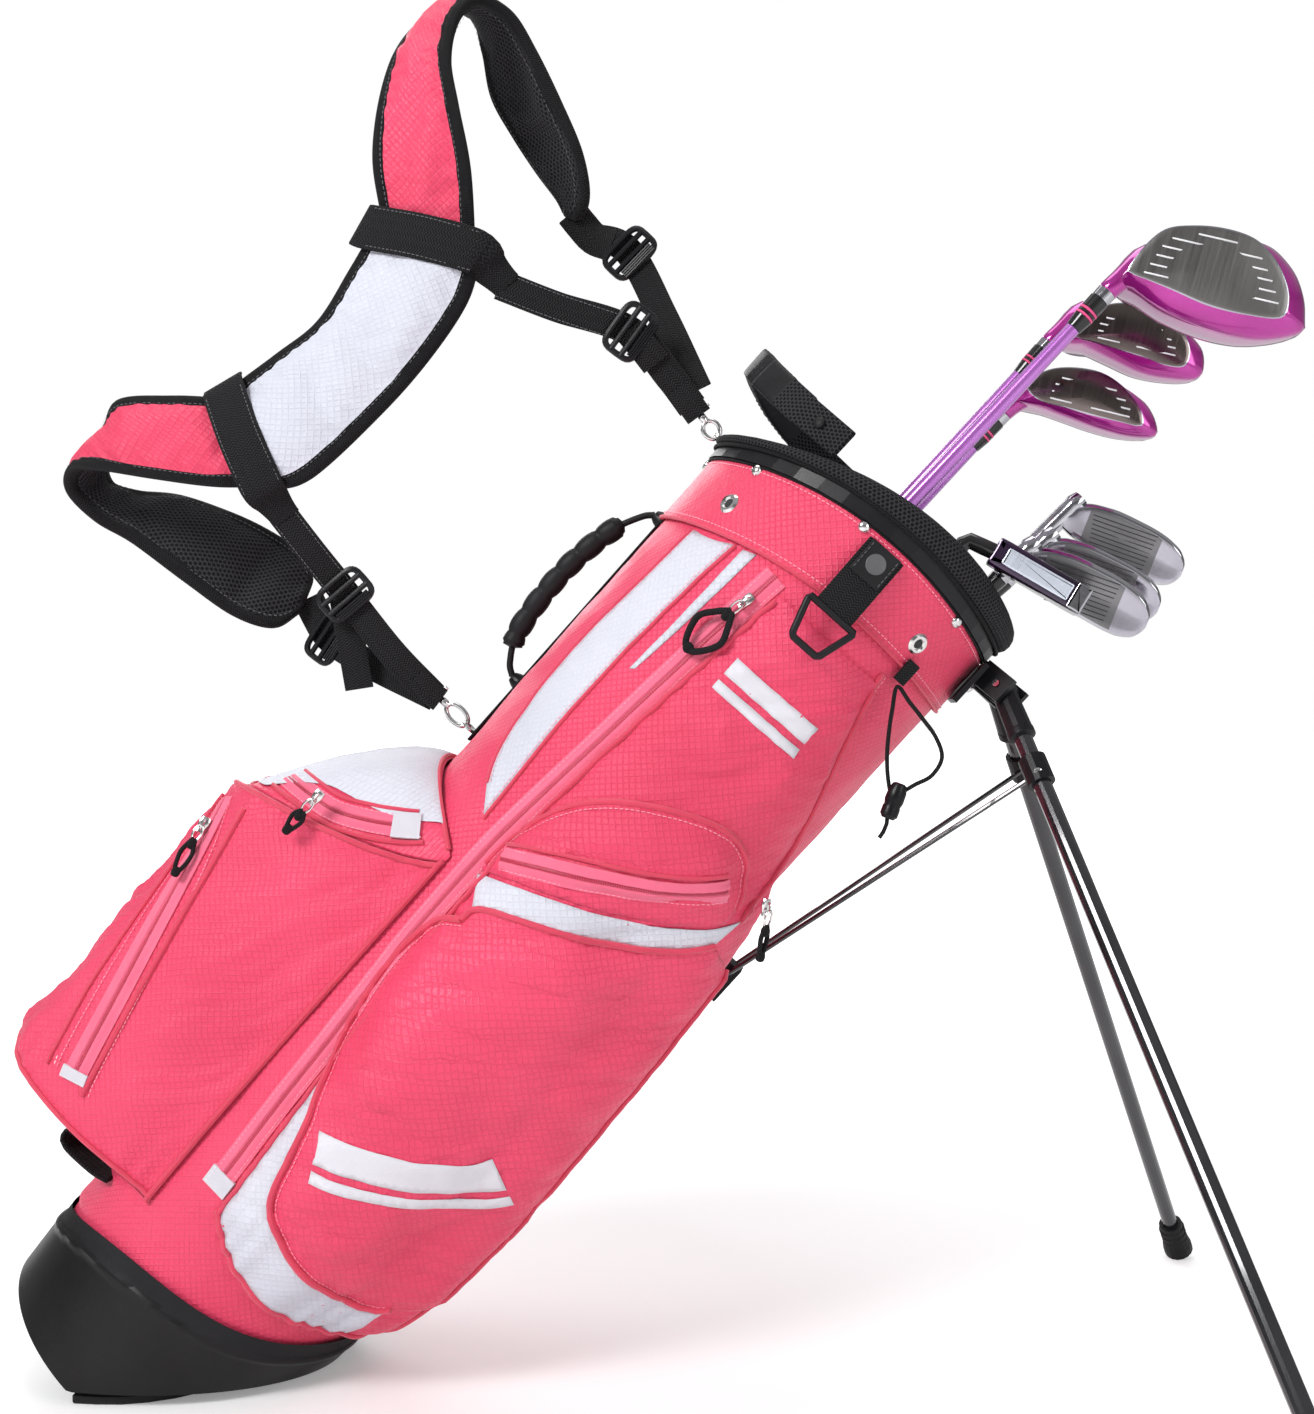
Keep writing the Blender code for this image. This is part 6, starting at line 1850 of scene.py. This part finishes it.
# cross bars: the webbing's wide ends, sewn over the joints between pads
CROSS_BARS = {"upper": [(0.1655, -0.0415, 0.7425), (0.1740, -0.0490, 0.7385),
                        (0.2080, -0.0550, 0.7300), (0.2420, -0.0510, 0.7205),
                        (0.2500, -0.0420, 0.7120), (0.2600, -0.0355, 0.7020)],
              "lower": [(0.0740, -0.0415, 0.6430), (0.0775, -0.0490, 0.6360),
                        (0.0905, -0.0550, 0.6050), (0.1035, -0.0510, 0.5745),
                        (0.1080, -0.0420, 0.5660), (0.1145, -0.0355, 0.5560)]}
for tag, points in CROSS_BARS.items():
    harness_sweep("cross_bar_" + tag, curve(points, 0.0025), flat_profile(0.0290, 0.0022), WEB,
                  scale=lambda t: 1.0 - 0.32 * ease((t - 0.72) / 0.28), slot="webbing")
    edge_stitch("cross_bar_thread_" + tag, points[1:4], 0.0122, lift=0.0014)


def clip(node, start, end):
    """An oval nickel clip with its swivel and bar, and the fixed ring it hooks on."""
    start, end = Vector(start), Vector(end)
    along = (end - start).normalized()
    side = along.cross(Vector((0, 1, 0)))
    oval = [(start + end) / 2 + along * ((end - start).length / 2 * cos(2 * pi * k / 28))
            + side * (0.0052 * sin(2 * pi * k / 28)) for k in range(28)]
    loop = harness_sweep(node + "_a", oval, ring_profile(0.0015, 10), NICKEL, closed=True)
    swivel = turned(node + "_b", start - along * 0.0060, along,
                    [(0.0020, 0.0), (0.0026, 0.001), (0.0026, 0.0045), (0.0018, 0.0062)],
                    NICKEL, "harness", bag=False)
    bar = harness_sweep(node + "_c", [start - along * 0.0085 + Vector((0, -0.001, 0))
                                      + side * (0.0085 * f) for f in (-1, -0.5, 0, 0.5, 1)],
                        ring_profile(0.0014), NICKEL)
    joined([loop, swivel, bar], node + "_detail", "harness", node)
    centre = end + along * 0.0035
    ring = [centre + along * (0.0055 * cos(t)) + Vector((0, 1, 0)) * (0.0062 * sin(t))
            for t in np.linspace(0, 2 * pi, 21)[:-1]]
    sweep(node + "_fixed_ring", ring, ring_profile(0.0012), NICKEL, "bag", side, bag=False,
          closed=True, slot="zinc_nickel")


clip("clip_upper", (0.3832, 0, 0.6186), (0.3906, 0, 0.6084))
clip("clip_lower", (0.2120, 0.001, 0.4350), (0.2250, 0, 0.4225))


# ---------------------------------------------------------------- clubs
class Club:
    """A club in the bag frame, head up; `end` is the hosel's end, angles are in degrees.

    Points of the head are given along its toe and sole directions, from `origin`.
    """

    def __init__(self, name, end, tilt, grip_end, grip_length, lie):
        self.name = name
        self.end = self.origin = Vector(end)
        tilt = radians(tilt)
        self.axis = Vector((sin(tilt), 0, cos(tilt)))
        self.length = (self.end.z - grip_end) / self.axis.z
        self.grip_length = grip_length
        a = tilt + radians(lie)
        self.toe = Vector((sin(a), 0, cos(a)))
        self.sole = Vector((-cos(a), 0, sin(a)))

    def at(self, toe, sole, y=0.0):
        return self.origin + self.toe * toe + self.sole * sole + Vector((0, y, 0))

    def shaft(self):
        bare = self.length - self.grip_length
        turned(self.name + "_shaft_tube", self.end, -self.axis,
               [(0.0066 + (0.0044 - 0.0066) * (1 - d / bare), d)
                for d in np.linspace(0.0004, bare - 0.0004, 24)],
               LILAC, self.name, n=24, slot="shaft_lacquer", replaces=self.name + "_shaft")
        # grip with a turned butt and rows of moulded rings
        grip = self.grip_length
        profile = []
        for k in range(90):
            f = k / 89
            ring = 0.00022 * sin(f * grip / 0.0045 * 2 * pi) if 0.05 < f < 0.95 else 0
            profile.append((0.0078 + (0.0105 - 0.0078) * f + ring, bare + grip * f))
        profile += [(0.0098, bare + grip), (0.004, bare + grip)]
        turned(self.name + "_grip_rubber", self.end, -self.axis, profile, RUBBER, self.name,
               n=24, slot="grip_rubber", replaces=self.name + "_grip")

    def ferrule(self, bands):
        parts = []
        for k, (a, b, mat, r0, r1) in enumerate(bands):
            profile = [(r0 - 0.0004, a), (r0, a + 0.0003), (r1, b - 0.0003), (r1 - 0.0004, b)]
            parts.append(turned(f"{self.name}_f{k}", self.end, -self.axis, profile, mat,
                                self.name))
        joined(parts, self.name + "_ferrule", self.name)


# start, end, material, radius at each
WOOD_BANDS = [(0.0000, 0.0065, CHROME, 0.0060, 0.0058), (0.0065, 0.0150, FERRULE, 0.0062, 0.0060),
              (0.0150, 0.0166, RING_P, 0.0062, 0.0062), (0.0166, 0.0186, FERRULE, 0.0060, 0.0060),
              (0.0186, 0.0202, RING_P, 0.0061, 0.0061), (0.0202, 0.0290, FERRULE, 0.0060, 0.0049)]
IRON_BANDS = [(0.0000, 0.0040, CHROME, 0.0059, 0.0059), (0.0040, 0.0190, FERRULE, 0.0060, 0.0050),
              (0.0190, 0.0200, RING_P, 0.0051, 0.0051)]


def radial(points, centre, n):
    """A closed outline as radii at n even angles about a centre."""
    dense = catmull(points, 0.0008, closed=True)
    angles = np.array([atan2(p[1] - centre[1], p[0] - centre[0]) for p in dense])
    radii = np.array([hypot(p[0] - centre[0], p[1] - centre[1]) for p in dense])
    order = np.argsort(angles)
    even = np.linspace(-pi, pi, n, endpoint=False)
    return even, np.interp(even, angles[order], radii[order], period=2 * pi)


def score(club, lines, y):
    """Round-ended lines (sole, toe start, toe end) in relief on a face."""
    width, n = 0.0010, 8
    verts, faces = [], []
    for sole, start, end in lines:
        base = len(verts)
        for toe, first in ((start, pi / 2), (end, -pi / 2)):
            for i in range(n):
                a = first + pi * i / (n - 1)
                verts.append(club.at(toe + width * 0.5 * cos(a), sole + width * 0.5 * sin(a), y))
        faces.append(tuple(range(base, base + 2 * n)))
    obj = build(club.name + "_score", verts, faces, SCORE, club.name, sharp=None)
    solidify(obj, "relief", 0.0003, offset=0.0)


def wood(name, end, tilt, face_pts, rim_pts, face_y, back_y, centre, face_mat, lines, depth):
    """A wood from (toe, sole) outlines of its face and of its widest rim."""
    club = Club(name, end, tilt, grip_end=0.036, grip_length=0.24, lie=62.0)
    club.shaft()
    club.ferrule(WOOD_BANDS)
    n = 112
    angles, face = radial(face_pts, centre, n)
    _, rim = radial(rim_pts, centre, n)
    rim = np.maximum(rim, face * 1.02 + 0.0006)
    # rings from the face backwards: radii, y, toe and sole shift, material
    rings = [(face * f, face_y + 0.0018 * f * f - 0.0006, 0, 0, 0)
             for f in (0.02, 0.25, 0.5, 0.75, 0.93, 1.0)]
    rings += [(face + 0.0009, face_y + 0.0016, 0, 0, 1),
              (face * 0.55 + rim * 0.45, face_y + depth * 0.35, 0, 0, 2),
              (face * 0.15 + rim * 0.85, face_y + depth * 0.7, 0, 0, 2),
              (rim, face_y + depth, 0, 0, 2)]
    for k in range(1, 15):
        f = k / 14
        y = face_y + depth + (back_y - face_y - depth) * f
        size = max(0.02, (1 - f ** 2.3)) ** 0.55
        rings.append((rim * size, y, -0.004 * f * f, -0.004 * f, 2))
    rows, uvs = [], []
    for radii, y, toe_shift, sole_shift, _ in rings:
        for a, r in zip(angles, radii):
            toe = centre[0] + toe_shift + r * cos(a)
            sole = centre[1] + sole_shift + r * sin(a)
            rows.append(club.at(toe, sole, y))
            uvs.append((toe, sole))
    faces = tube_faces(len(rings), n)
    mats = [rings[f[0] // n + 1][4] for f in faces[:-2]] + [0, 2]
    build(name + "_body", rows, faces, [face_mat, BEVEL, MAGENTA], name, uvs, face_mat=mats,
          sharp=42, slot="crown_lacquer", replaces=name + "_head")
    # neck that flares from the hosel's end (radius, distance) and leans towards the head
    neck = [(0.0058, -0.0004), (0.0062, 0.0006), (0.0064, 0.005), (0.0070, 0.010),
            (0.0082, 0.015), (0.0098, 0.020), (0.0105, 0.026), (0.0080, 0.033)]
    side = Vector((0, 1, 0))
    rows, uvs = [], []
    for r, d in neck:
        lean = ease(d / 0.03)
        middle = (club.end + club.axis * d + club.toe * (0.0055 * lean)
                  + Vector((0, 0.004 * lean, 0)))
        rows += circle(middle, side, club.axis.cross(side), r, 28)
        uvs += [(2 * pi * k / 28 * 0.01, d) for k in range(28)]
    build(name + "_hosel", rows, tube_faces(len(neck), 28)[:-1], MAGENTA, name, uvs, sharp=None,
          slot="crown_lacquer")
    score(club, lines, face_y + 0.0002)


def split_lines(first, *groups):
    """Score lines 4.7 mm apart, one group of (toe start, toe end) on each side of a gap."""
    return [(first + 0.0047 * k, a, b) for group in groups for k, (a, b) in enumerate(group)]


wood("driver", (0.014, -0.078, 0.922), 1.2,
     [(.008, .0111), (.0135, .0269), (.0227, .0391), (.0373, .0444), (.0543, .0466),
      (.0706, .045), (.0831, .0381), (.0929, .0278), (.0985, .0166), (.0972, .0055),
      (.0786, .0027), (.0573, .003), (.0351, .0067), (.0165, .0095)],
     [(-.0006, -.0001), (.007, .005), (.0145, .0036), (.0362, -.0039), (.0639, -.0081),
      (.0901, -.0071), (.1122, .0019), (.1123, .0109), (.1083, .0225), (.0997, .0349),
      (.0866, .0443), (.0737, .0467), (.054, .0478), (.0369, .0456), (.0224, .0403),
      (.0131, .0287), (.0053, .0113)],
     face_y=-0.0150, back_y=0.0690, centre=(0.056, 0.022), face_mat=FACE_D, depth=0.012,
     lines=[(.0122, .0166, .030), (.0177, .0187, .0324), (.0235, .0208, .0348),
            (.0292, .0227, .0369), (.0349, .0271, .0440), (.0405, .0408, .0625),
            (.0349, .0620, .0782), (.0291, .0665, .0829), (.0238, .069, .087),
            (.018, .0716, .0904), (.0122, .0743, .0936)])
wood("fairway_wood", (-0.001, 0.072, 0.910), 0.8,
     [(.0155, .006), (.0186, .014), (.023, .0245), (.0333, .0321), (.0488, .0357),
      (.0613, .0345), (.0749, .0294), (.0852, .0214), (.0897, .0121), (.0879, .0034),
      (.0762, .0016), (.0592, .0038), (.0406, .0046), (.026, .0053)],
     [(.0030, .0010), (.0124, .0021), (.018, .0035), (.0421, -.0013), (.0637, -.0055),
      (.084, -.0048), (.0993, -.0012), (.1025, .0058), (.0982, .0183), (.0855, .0278),
      (.0744, .0324), (.0613, .0356), (.0488, .0366), (.0333, .0331), (.022, .0260),
      (.0130, .0130)],
     face_y=-0.0110, back_y=0.0500, centre=(0.054, 0.017), face_mat=FACE_F, depth=0.009,
     lines=split_lines(.0085, ((.0560, .0810), (.0545, .0800), (.0530, .0760), (.0500, .0690)),
                       ((.0300, .0440), (.0290, .0430), (.0290, .0420), (.0320, .0420))))
wood("rescue_wood", (0.011, 0.012, 0.845), 1.0,
     [(.0109, .0166), (.0124, .022), (.0167, .028), (.0252, .0331), (.0381, .0362),
      (.0517, .0365), (.0644, .0327), (.076, .0256), (.0831, .0174), (.0839, .0107),
      (.0704, .0103), (.0548, .0105), (.037, .0111), (.0212, .0112)],
     [(.0020, .0040), (.0099, .0074), (.0199, .0079), (.0403, .0059), (.0604, .0039),
      (.0799, .0038), (.0954, .0076), (.0937, .0161), (.0859, .0251), (.0768, .0298),
      (.0644, .0340), (.0517, .0375), (.0381, .0372), (.0252, .0341), (.015, .0285),
      (.0080, .0170)],
     face_y=-0.0130, back_y=0.0400, centre=(0.050, 0.021), face_mat=FACE_F, depth=0.008,
     lines=split_lines(.0140, ((.0520, .0760), (.0510, .0750), (.0500, .0710), (.0480, .0640)),
                       ((.0260, .0390), (.0260, .0385), (.0270, .0380), (.0300, .0380))))

# iron blade: toe, sole at the sole edge, sole at the top edge, half depth at each
BLADE = [(-0.003, -0.004, -0.019, 0.0050, 0.0040), (0.003, -0.0005, -0.0218, 0.0066, 0.0037),
         (0.010, 0.002, -0.024, 0.0080, 0.0035), (0.020, 0.0030, -0.0263, 0.0085, 0.0031),
         (0.030, 0.0030, -0.0285, 0.0088, 0.0028), (0.050, 0.0005, -0.0320, 0.0090, 0.0026),
         (0.060, -0.0018, -0.0332, 0.0086, 0.0026), (0.066, -0.0040, -0.0330, 0.0082, 0.0026),
         (0.0715, -0.0068, -0.0314, 0.0070, 0.0026), (0.0745, -0.0095, -0.0290, 0.0058, 0.0026),
         (0.0768, -0.0124, -0.0258, 0.0044, 0.0025), (0.0780, -0.0150, -0.0230, 0.0030, 0.0024)]


def iron(name, end, bend, scale):
    """An iron whose blade starts `bend` beyond the hosel's end."""
    club = Club(name, end, 3.5, grip_end=0.063, grip_length=0.22, lie=65.0)
    club.shaft()
    club.ferrule(IRON_BANDS)
    club.origin = club.end + club.axis * bend
    rows, uvs = [], []
    dense = catmull(BLADE, 0.0016)
    n = 32
    for toe, low, top, low_y, top_y in dense:
        mid = (low + top) / 2
        section = [(low - 0.003, -low_y * 0.9), (low, -low_y * 0.3), (low, low_y * 0.6),
                   (low - 0.004, low_y), (mid, top_y * 0.9), (top + 0.0003, top_y),
                   (top, -top_y), (mid, -top_y * 1.4)]
        # each side, slightly rounded at its corners
        for sole, y in along_edges(section, (0.10, 0.36, 0.64, 0.90)):
            rows.append(club.at(toe * scale, sole * scale, y))
            uvs.append((toe * scale, sole * scale))
    faces = tube_faces(len(dense), n)
    face_mat = []
    for face in faces[:-2]:
        row, column = divmod(face[0], n)
        struck = 0.009 < dense[row][0] < 0.0585
        face_mat.append((1 if struck else 2) if 24 <= column < 31 else 0)
    build(name + "_blade", rows, faces, [CHROME, FACE_I, BEVEL], name, uvs,
          face_mat=face_mat + [0, 0], sharp=32, slot="steel", replaces=name + "_head")
    profile = [(0.0056, -0.0003), (0.0059, 0.0005)]
    profile += [(0.0059 + 0.0004 * f, 0.002 + (bend - 0.006) * f) for f in np.linspace(0, 1, 8)]
    profile += [(0.0066, bend - 0.001), (0.0050, bend + 0.004)]
    turned(name + "_hosel", club.end, club.axis, profile, CHROME, name, n=32, slot="steel")
    columns = np.array(dense).T
    verts, faces = [], []
    for k in range(9):      # grooves, laid just proud of the face
        sole = (-0.0050 - 0.0028 * k) * scale
        start, stop = (0.0125 + 0.0006 * k) * scale, (0.0555 - 0.0002 * k) * scale
        base = len(verts)
        for q in range(7):
            toe = start + (stop - start) * q / 6
            low, top, low_y, top_y = [float(np.interp(toe / scale, columns[0], column))
                                      for column in columns[1:]]
            y = float(np.interp(-(sole / scale), [-(low - 0.003), -((low + top) / 2), -top],
                                [-low_y * 0.9, -top_y * 1.4, -top_y])) - 0.00012
            verts.append(club.at(toe, sole - 0.00035, y))
            verts.append(club.at(toe, sole + 0.00035, y))
        faces += [(q, q + 2, q + 3, q + 1) for q in range(base, base + 12, 2)]
    build(name + "_grooves", verts, faces, GROOVE, name, sharp=None)


iron("long_iron", (0.0810, 0.030, 0.784), bend=0.052, scale=1.0)
iron("mid_iron", (0.0840, -0.0032, 0.768), bend=0.036, scale=1.0)
iron("short_iron", (0.0800, -0.034, 0.764), bend=0.024, scale=1.04)


def plate(club, name, box, y0, y1, mat, r):
    """A cast plate with rounded edges over a (toe, sole, toe, sole) box."""
    t0, s0, t1, s1 = box
    # extra points keep the corners tight
    outline = along_edges([(t0, s0), (t0, s1), (t1, s1), (t1, s0)], (0.06, 0.35, 0.65, 0.94))
    points = catmull(outline, 0.0012, closed=True)
    n = len(points)
    centre = sum(np.array(p) for p in points) / n
    normals = []
    for k, p in enumerate(points):
        a, b = points[k - 1], points[(k + 1) % n]
        normal = np.array([b[1] - a[1], -(b[0] - a[0])])
        normal = normal / (np.linalg.norm(normal) or 1)
        normals.append(-normal if np.dot(normal, p - centre) < 0 else normal)
    rings = ((2.6, y0), (1.0, y0), (0.35, y0 + r * 0.3), (0.0, y0 + r), (0.0, y1 - r),
             (0.35, y1 - r * 0.3), (1.0, y1), (2.6, y1))    # inset in radii, y
    rows, uvs = [], []
    for inset, y in rings:
        for p, normal in zip(points, normals):
            toe, sole = p - normal * r * inset
            rows.append(club.at(toe, sole, y))
            uvs.append((toe, sole))
    return build(name, rows, tube_faces(len(rings), n), mat, club.name, uvs, sharp=30)


def make_putter():
    club = Club("putter", (0.050, -0.064, 0.752), 0.0, grip_end=0.073, grip_length=0.22,
                lie=79.0)
    club.shaft()
    club.ferrule(IRON_BANDS)
    parts = [plate(club, "putter_h1", (.0190, .0030, .0810, .0200), -0.0130, 0.0110, PUTTER,
                   0.0016),
             plate(club, "putter_h2", (.0262, .0062, .0700, .0168), -0.0137, -0.0120, INSERT,
                   0.0006),
             plate(club, "putter_h3", (.0715, .0034, .0806, .0196), -0.0136, -0.0120, CHROME,
                   0.0006)]
    neck = [club.end, club.end + club.axis * 0.006,
            club.end + club.axis * 0.0100 + club.toe * 0.002, club.at(0.0120, 0.0105, -0.001),
            club.at(0.0215, 0.0115, -0.001), club.at(0.0260, 0.0115, -0.001)]
    parts.append(sweep("putter_h4", neck, ring_profile(0.0050, 20), FERRULE, "putter",
                       (0, 1, 0)))
    joined(parts, "putter_blade", "putter", "putter_head")


make_putter()

# ---------------------------------------------------------------- stand fittings
hinge_z = (BAG_INV @ HINGE).z
for k, y in enumerate((-0.030, 0.030)):
    turned(f"bracket_rivet_{k}", Vector((0.1116, y, hinge_z - 0.012)), (1, 0, 0),
           [(0.0042, -0.0004), (0.0042, 0.0006), (0.0034, 0.0016), (0.0018, 0.0022),
            (0.0005, 0.0023)], NICKEL, "bag", slot="zinc_nickel")
turned("bracket_screw", Vector((0.1334, 0.0, hinge_z - 0.001)), (1, 0, 0),
       [(0.0040, -0.0004), (0.0040, 0.0006), (0.0030, 0.0012), (0.0012, 0.0008)],
       NICKEL, "bag", slot="zinc_nickel")
for tag, side in (("near", -1), ("far", 1)):
    leg = "leg_" + tag
    hinge = Vector((HINGE.x, side * HINGE.y, HINGE.z))
    foot = Vector((FOOT.x, side * FOOT.y, FOOT.z))
    along, length = (foot - hinge).normalized(), (foot - hinge).length
    turned("leg_collar_" + tag, hinge + along * 0.0300, along,
           [(0.0084, 0), (0.0086, 0.0012), (0.0086, 0.0050), (0.0062, 0.0064)],
           PLASTIC, leg, bag=False, slot="black_plastic")
    for k in range(3):
        turned(f"foot_rib_{tag}_{k}", hinge + along * (length - 0.026 + 0.0055 * k), along,
               [(0.0088, 0), (0.0098, 0.0009), (0.0098, 0.0017), (0.0089, 0.0026)],
               RUBBER, leg, bag=False, slot="boot_rubber")
    turned("clamp_screw_" + tag, hinge + along * 0.060 + Vector((0, -0.0084, 0)), (0, -1, 0),
           [(0.0026, -0.0006), (0.0026, 0.0006), (0.0010, 0.0012)], NICKEL, leg, bag=False)

# finishes for the CAD's own pieces
FINISH = {"boot_rubber": RUBBER, "grip_rubber": RUBBER, "black_plastic": PLASTIC,
          "leg_enamel": LEG, "zinc_nickel": NICKEL, "steel": CHROME, "webbing": WEB,
          "mesh_fabric": MESH, "pink_fabric": PINK, "white_fabric": WHITE,
          "shaft_lacquer": LILAC, "crown_lacquer": MAGENTA, "putter_lacquer": PUTTER}
for subpart in frame["record"]["subparts"]:
    piece = frame["nodes"].get(subpart["node"])
    if piece is None:
        continue
    finish = FINISH[subpart["material_slot"]]
    if not piece.material_slots:
        piece.data.materials.append(finish)
    for material_slot in piece.material_slots:
        material_slot.material = finish


# ---------------------------------------------------------------- floor, light, camera
def floor_material():
    """Pale floor that glows more with distance, and most of all to the camera."""
    mat = Mat("floor_pale", 0.55)
    cloud = mat.spread(mat.noise(scale=3))
    mat.color(mat.mix(cloud, (0.86, 0.86, 0.865), (0.89, 0.89, 0.89)))
    mat.inputs["Emission Color"].default_value = (1, 1, 1, 1)
    distance = mat.node("VectorMath", operation="LENGTH")
    mat.feed(distance.inputs[0], mat.node("TexCoord").outputs["Object"])
    away = distance.outputs["Value"]
    glow = mat.spread(away, low=0.12, high=0.34, start=0.45, stop=4.0)
    shown = mat.times(mat.node("LightPath").outputs["Is Camera Ray"],
                      mat.spread(away, low=0.12, high=1.0, start=0.45, stop=2.4))
    mat.feed(mat.inputs["Emission Strength"], mat.add(glow, shown))
    return mat.material


def make_world():
    """White to the camera; banded greys, by direction from below to above, to the pieces."""
    world = bpy.data.worlds.new("studio")
    bpy.context.scene.world = world
    world.use_nodes = True
    nodes, link = world.node_tree.nodes, world.node_tree.links.new
    background = nodes["Background"]
    light_path = nodes.new("ShaderNodeLightPath")
    coords = nodes.new("ShaderNodeTexCoord")
    separate = nodes.new("ShaderNodeSeparateXYZ")
    ramp = nodes.new("ShaderNodeValToRGB")
    mix = nodes.new("ShaderNodeMix")
    mix.data_type = "RGBA"
    link(coords.outputs["Generated"], separate.inputs[0])
    link(separate.outputs[2], ramp.inputs[0])
    stops = ramp.color_ramp.elements
    stops[0].position = 0.0
    stops[0].color = (0.14, 0.14, 0.14, 1)
    stops[1].position = 1.0
    stops[1].color = (0.44, 0.44, 0.45, 1)
    for position, level in ((0.10, 0.62), (0.32, 0.28), (0.42, 0.75), (0.7, 0.95)):
        stops.new(position).color = (level * 0.42, level * 0.42, level * 0.43, 1)
    link(light_path.outputs["Is Camera Ray"], mix.inputs[0])
    link(ramp.outputs[0], mix.inputs[6])
    mix.inputs[7].default_value = (1.0, 1.0, 1.0, 1)
    link(mix.outputs[2], background.inputs[0])
    background.inputs[1].default_value = 1.0


def area(name, place, target, size, power, size_y=None):
    light = bpy.data.lights.new(name, "AREA")
    light.shape = "RECTANGLE"
    light.size, light.size_y = size, size_y or size
    light.energy = power
    obj = bpy.data.objects.new(name, light)
    bpy.context.scene.collection.objects.link(obj)
    obj.location = place
    aim = Vector(target) - Vector(place)
    obj.rotation_euler = aim.to_track_quat("-Z", "Y").to_euler()


def make_camera():
    camera = bpy.data.cameras.new("camera")
    camera.sensor_width = 36.0
    camera.sensor_height = 36.0
    camera.lens = 45.03818953
    camera.clip_start = 0.02
    obj = bpy.data.objects.new("camera", camera)
    bpy.context.scene.collection.objects.link(obj)
    obj.location = CAMERA
    aim = Vector((-0.12187, 0.99255, 0))
    obj.rotation_euler = aim.to_track_quat("-Z", "Y").to_euler()
    bpy.context.scene.camera = obj


floor_mat = floor_material()
bpy.ops.mesh.primitive_plane_add(size=60, location=(0, 0, -0.0002))
floor = bpy.context.object
floor.name = "studio_floor"
floor.data.materials.append(floor_mat)
make_world()
area("key_soft", place=(-1.0, -1.9, 1.9), target=(0.30, 0, 0.4), size=1.0, power=58, size_y=0.8)
area("fill_soft", place=(2.2, -1.6, 1.0), target=(0.4, 0, 0.4), size=1.2, power=14)
area("top_soft", place=(0.2, 0.3, 2.6), target=(0.35, 0, 0.4), size=1.4, power=16)
area("rim_back", place=(-0.6, 1.8, 1.4), target=(0.3, 0, 0.5), size=1.0, power=14)
make_camera()
bpy.context.scene.view_settings.view_transform = "Standard"
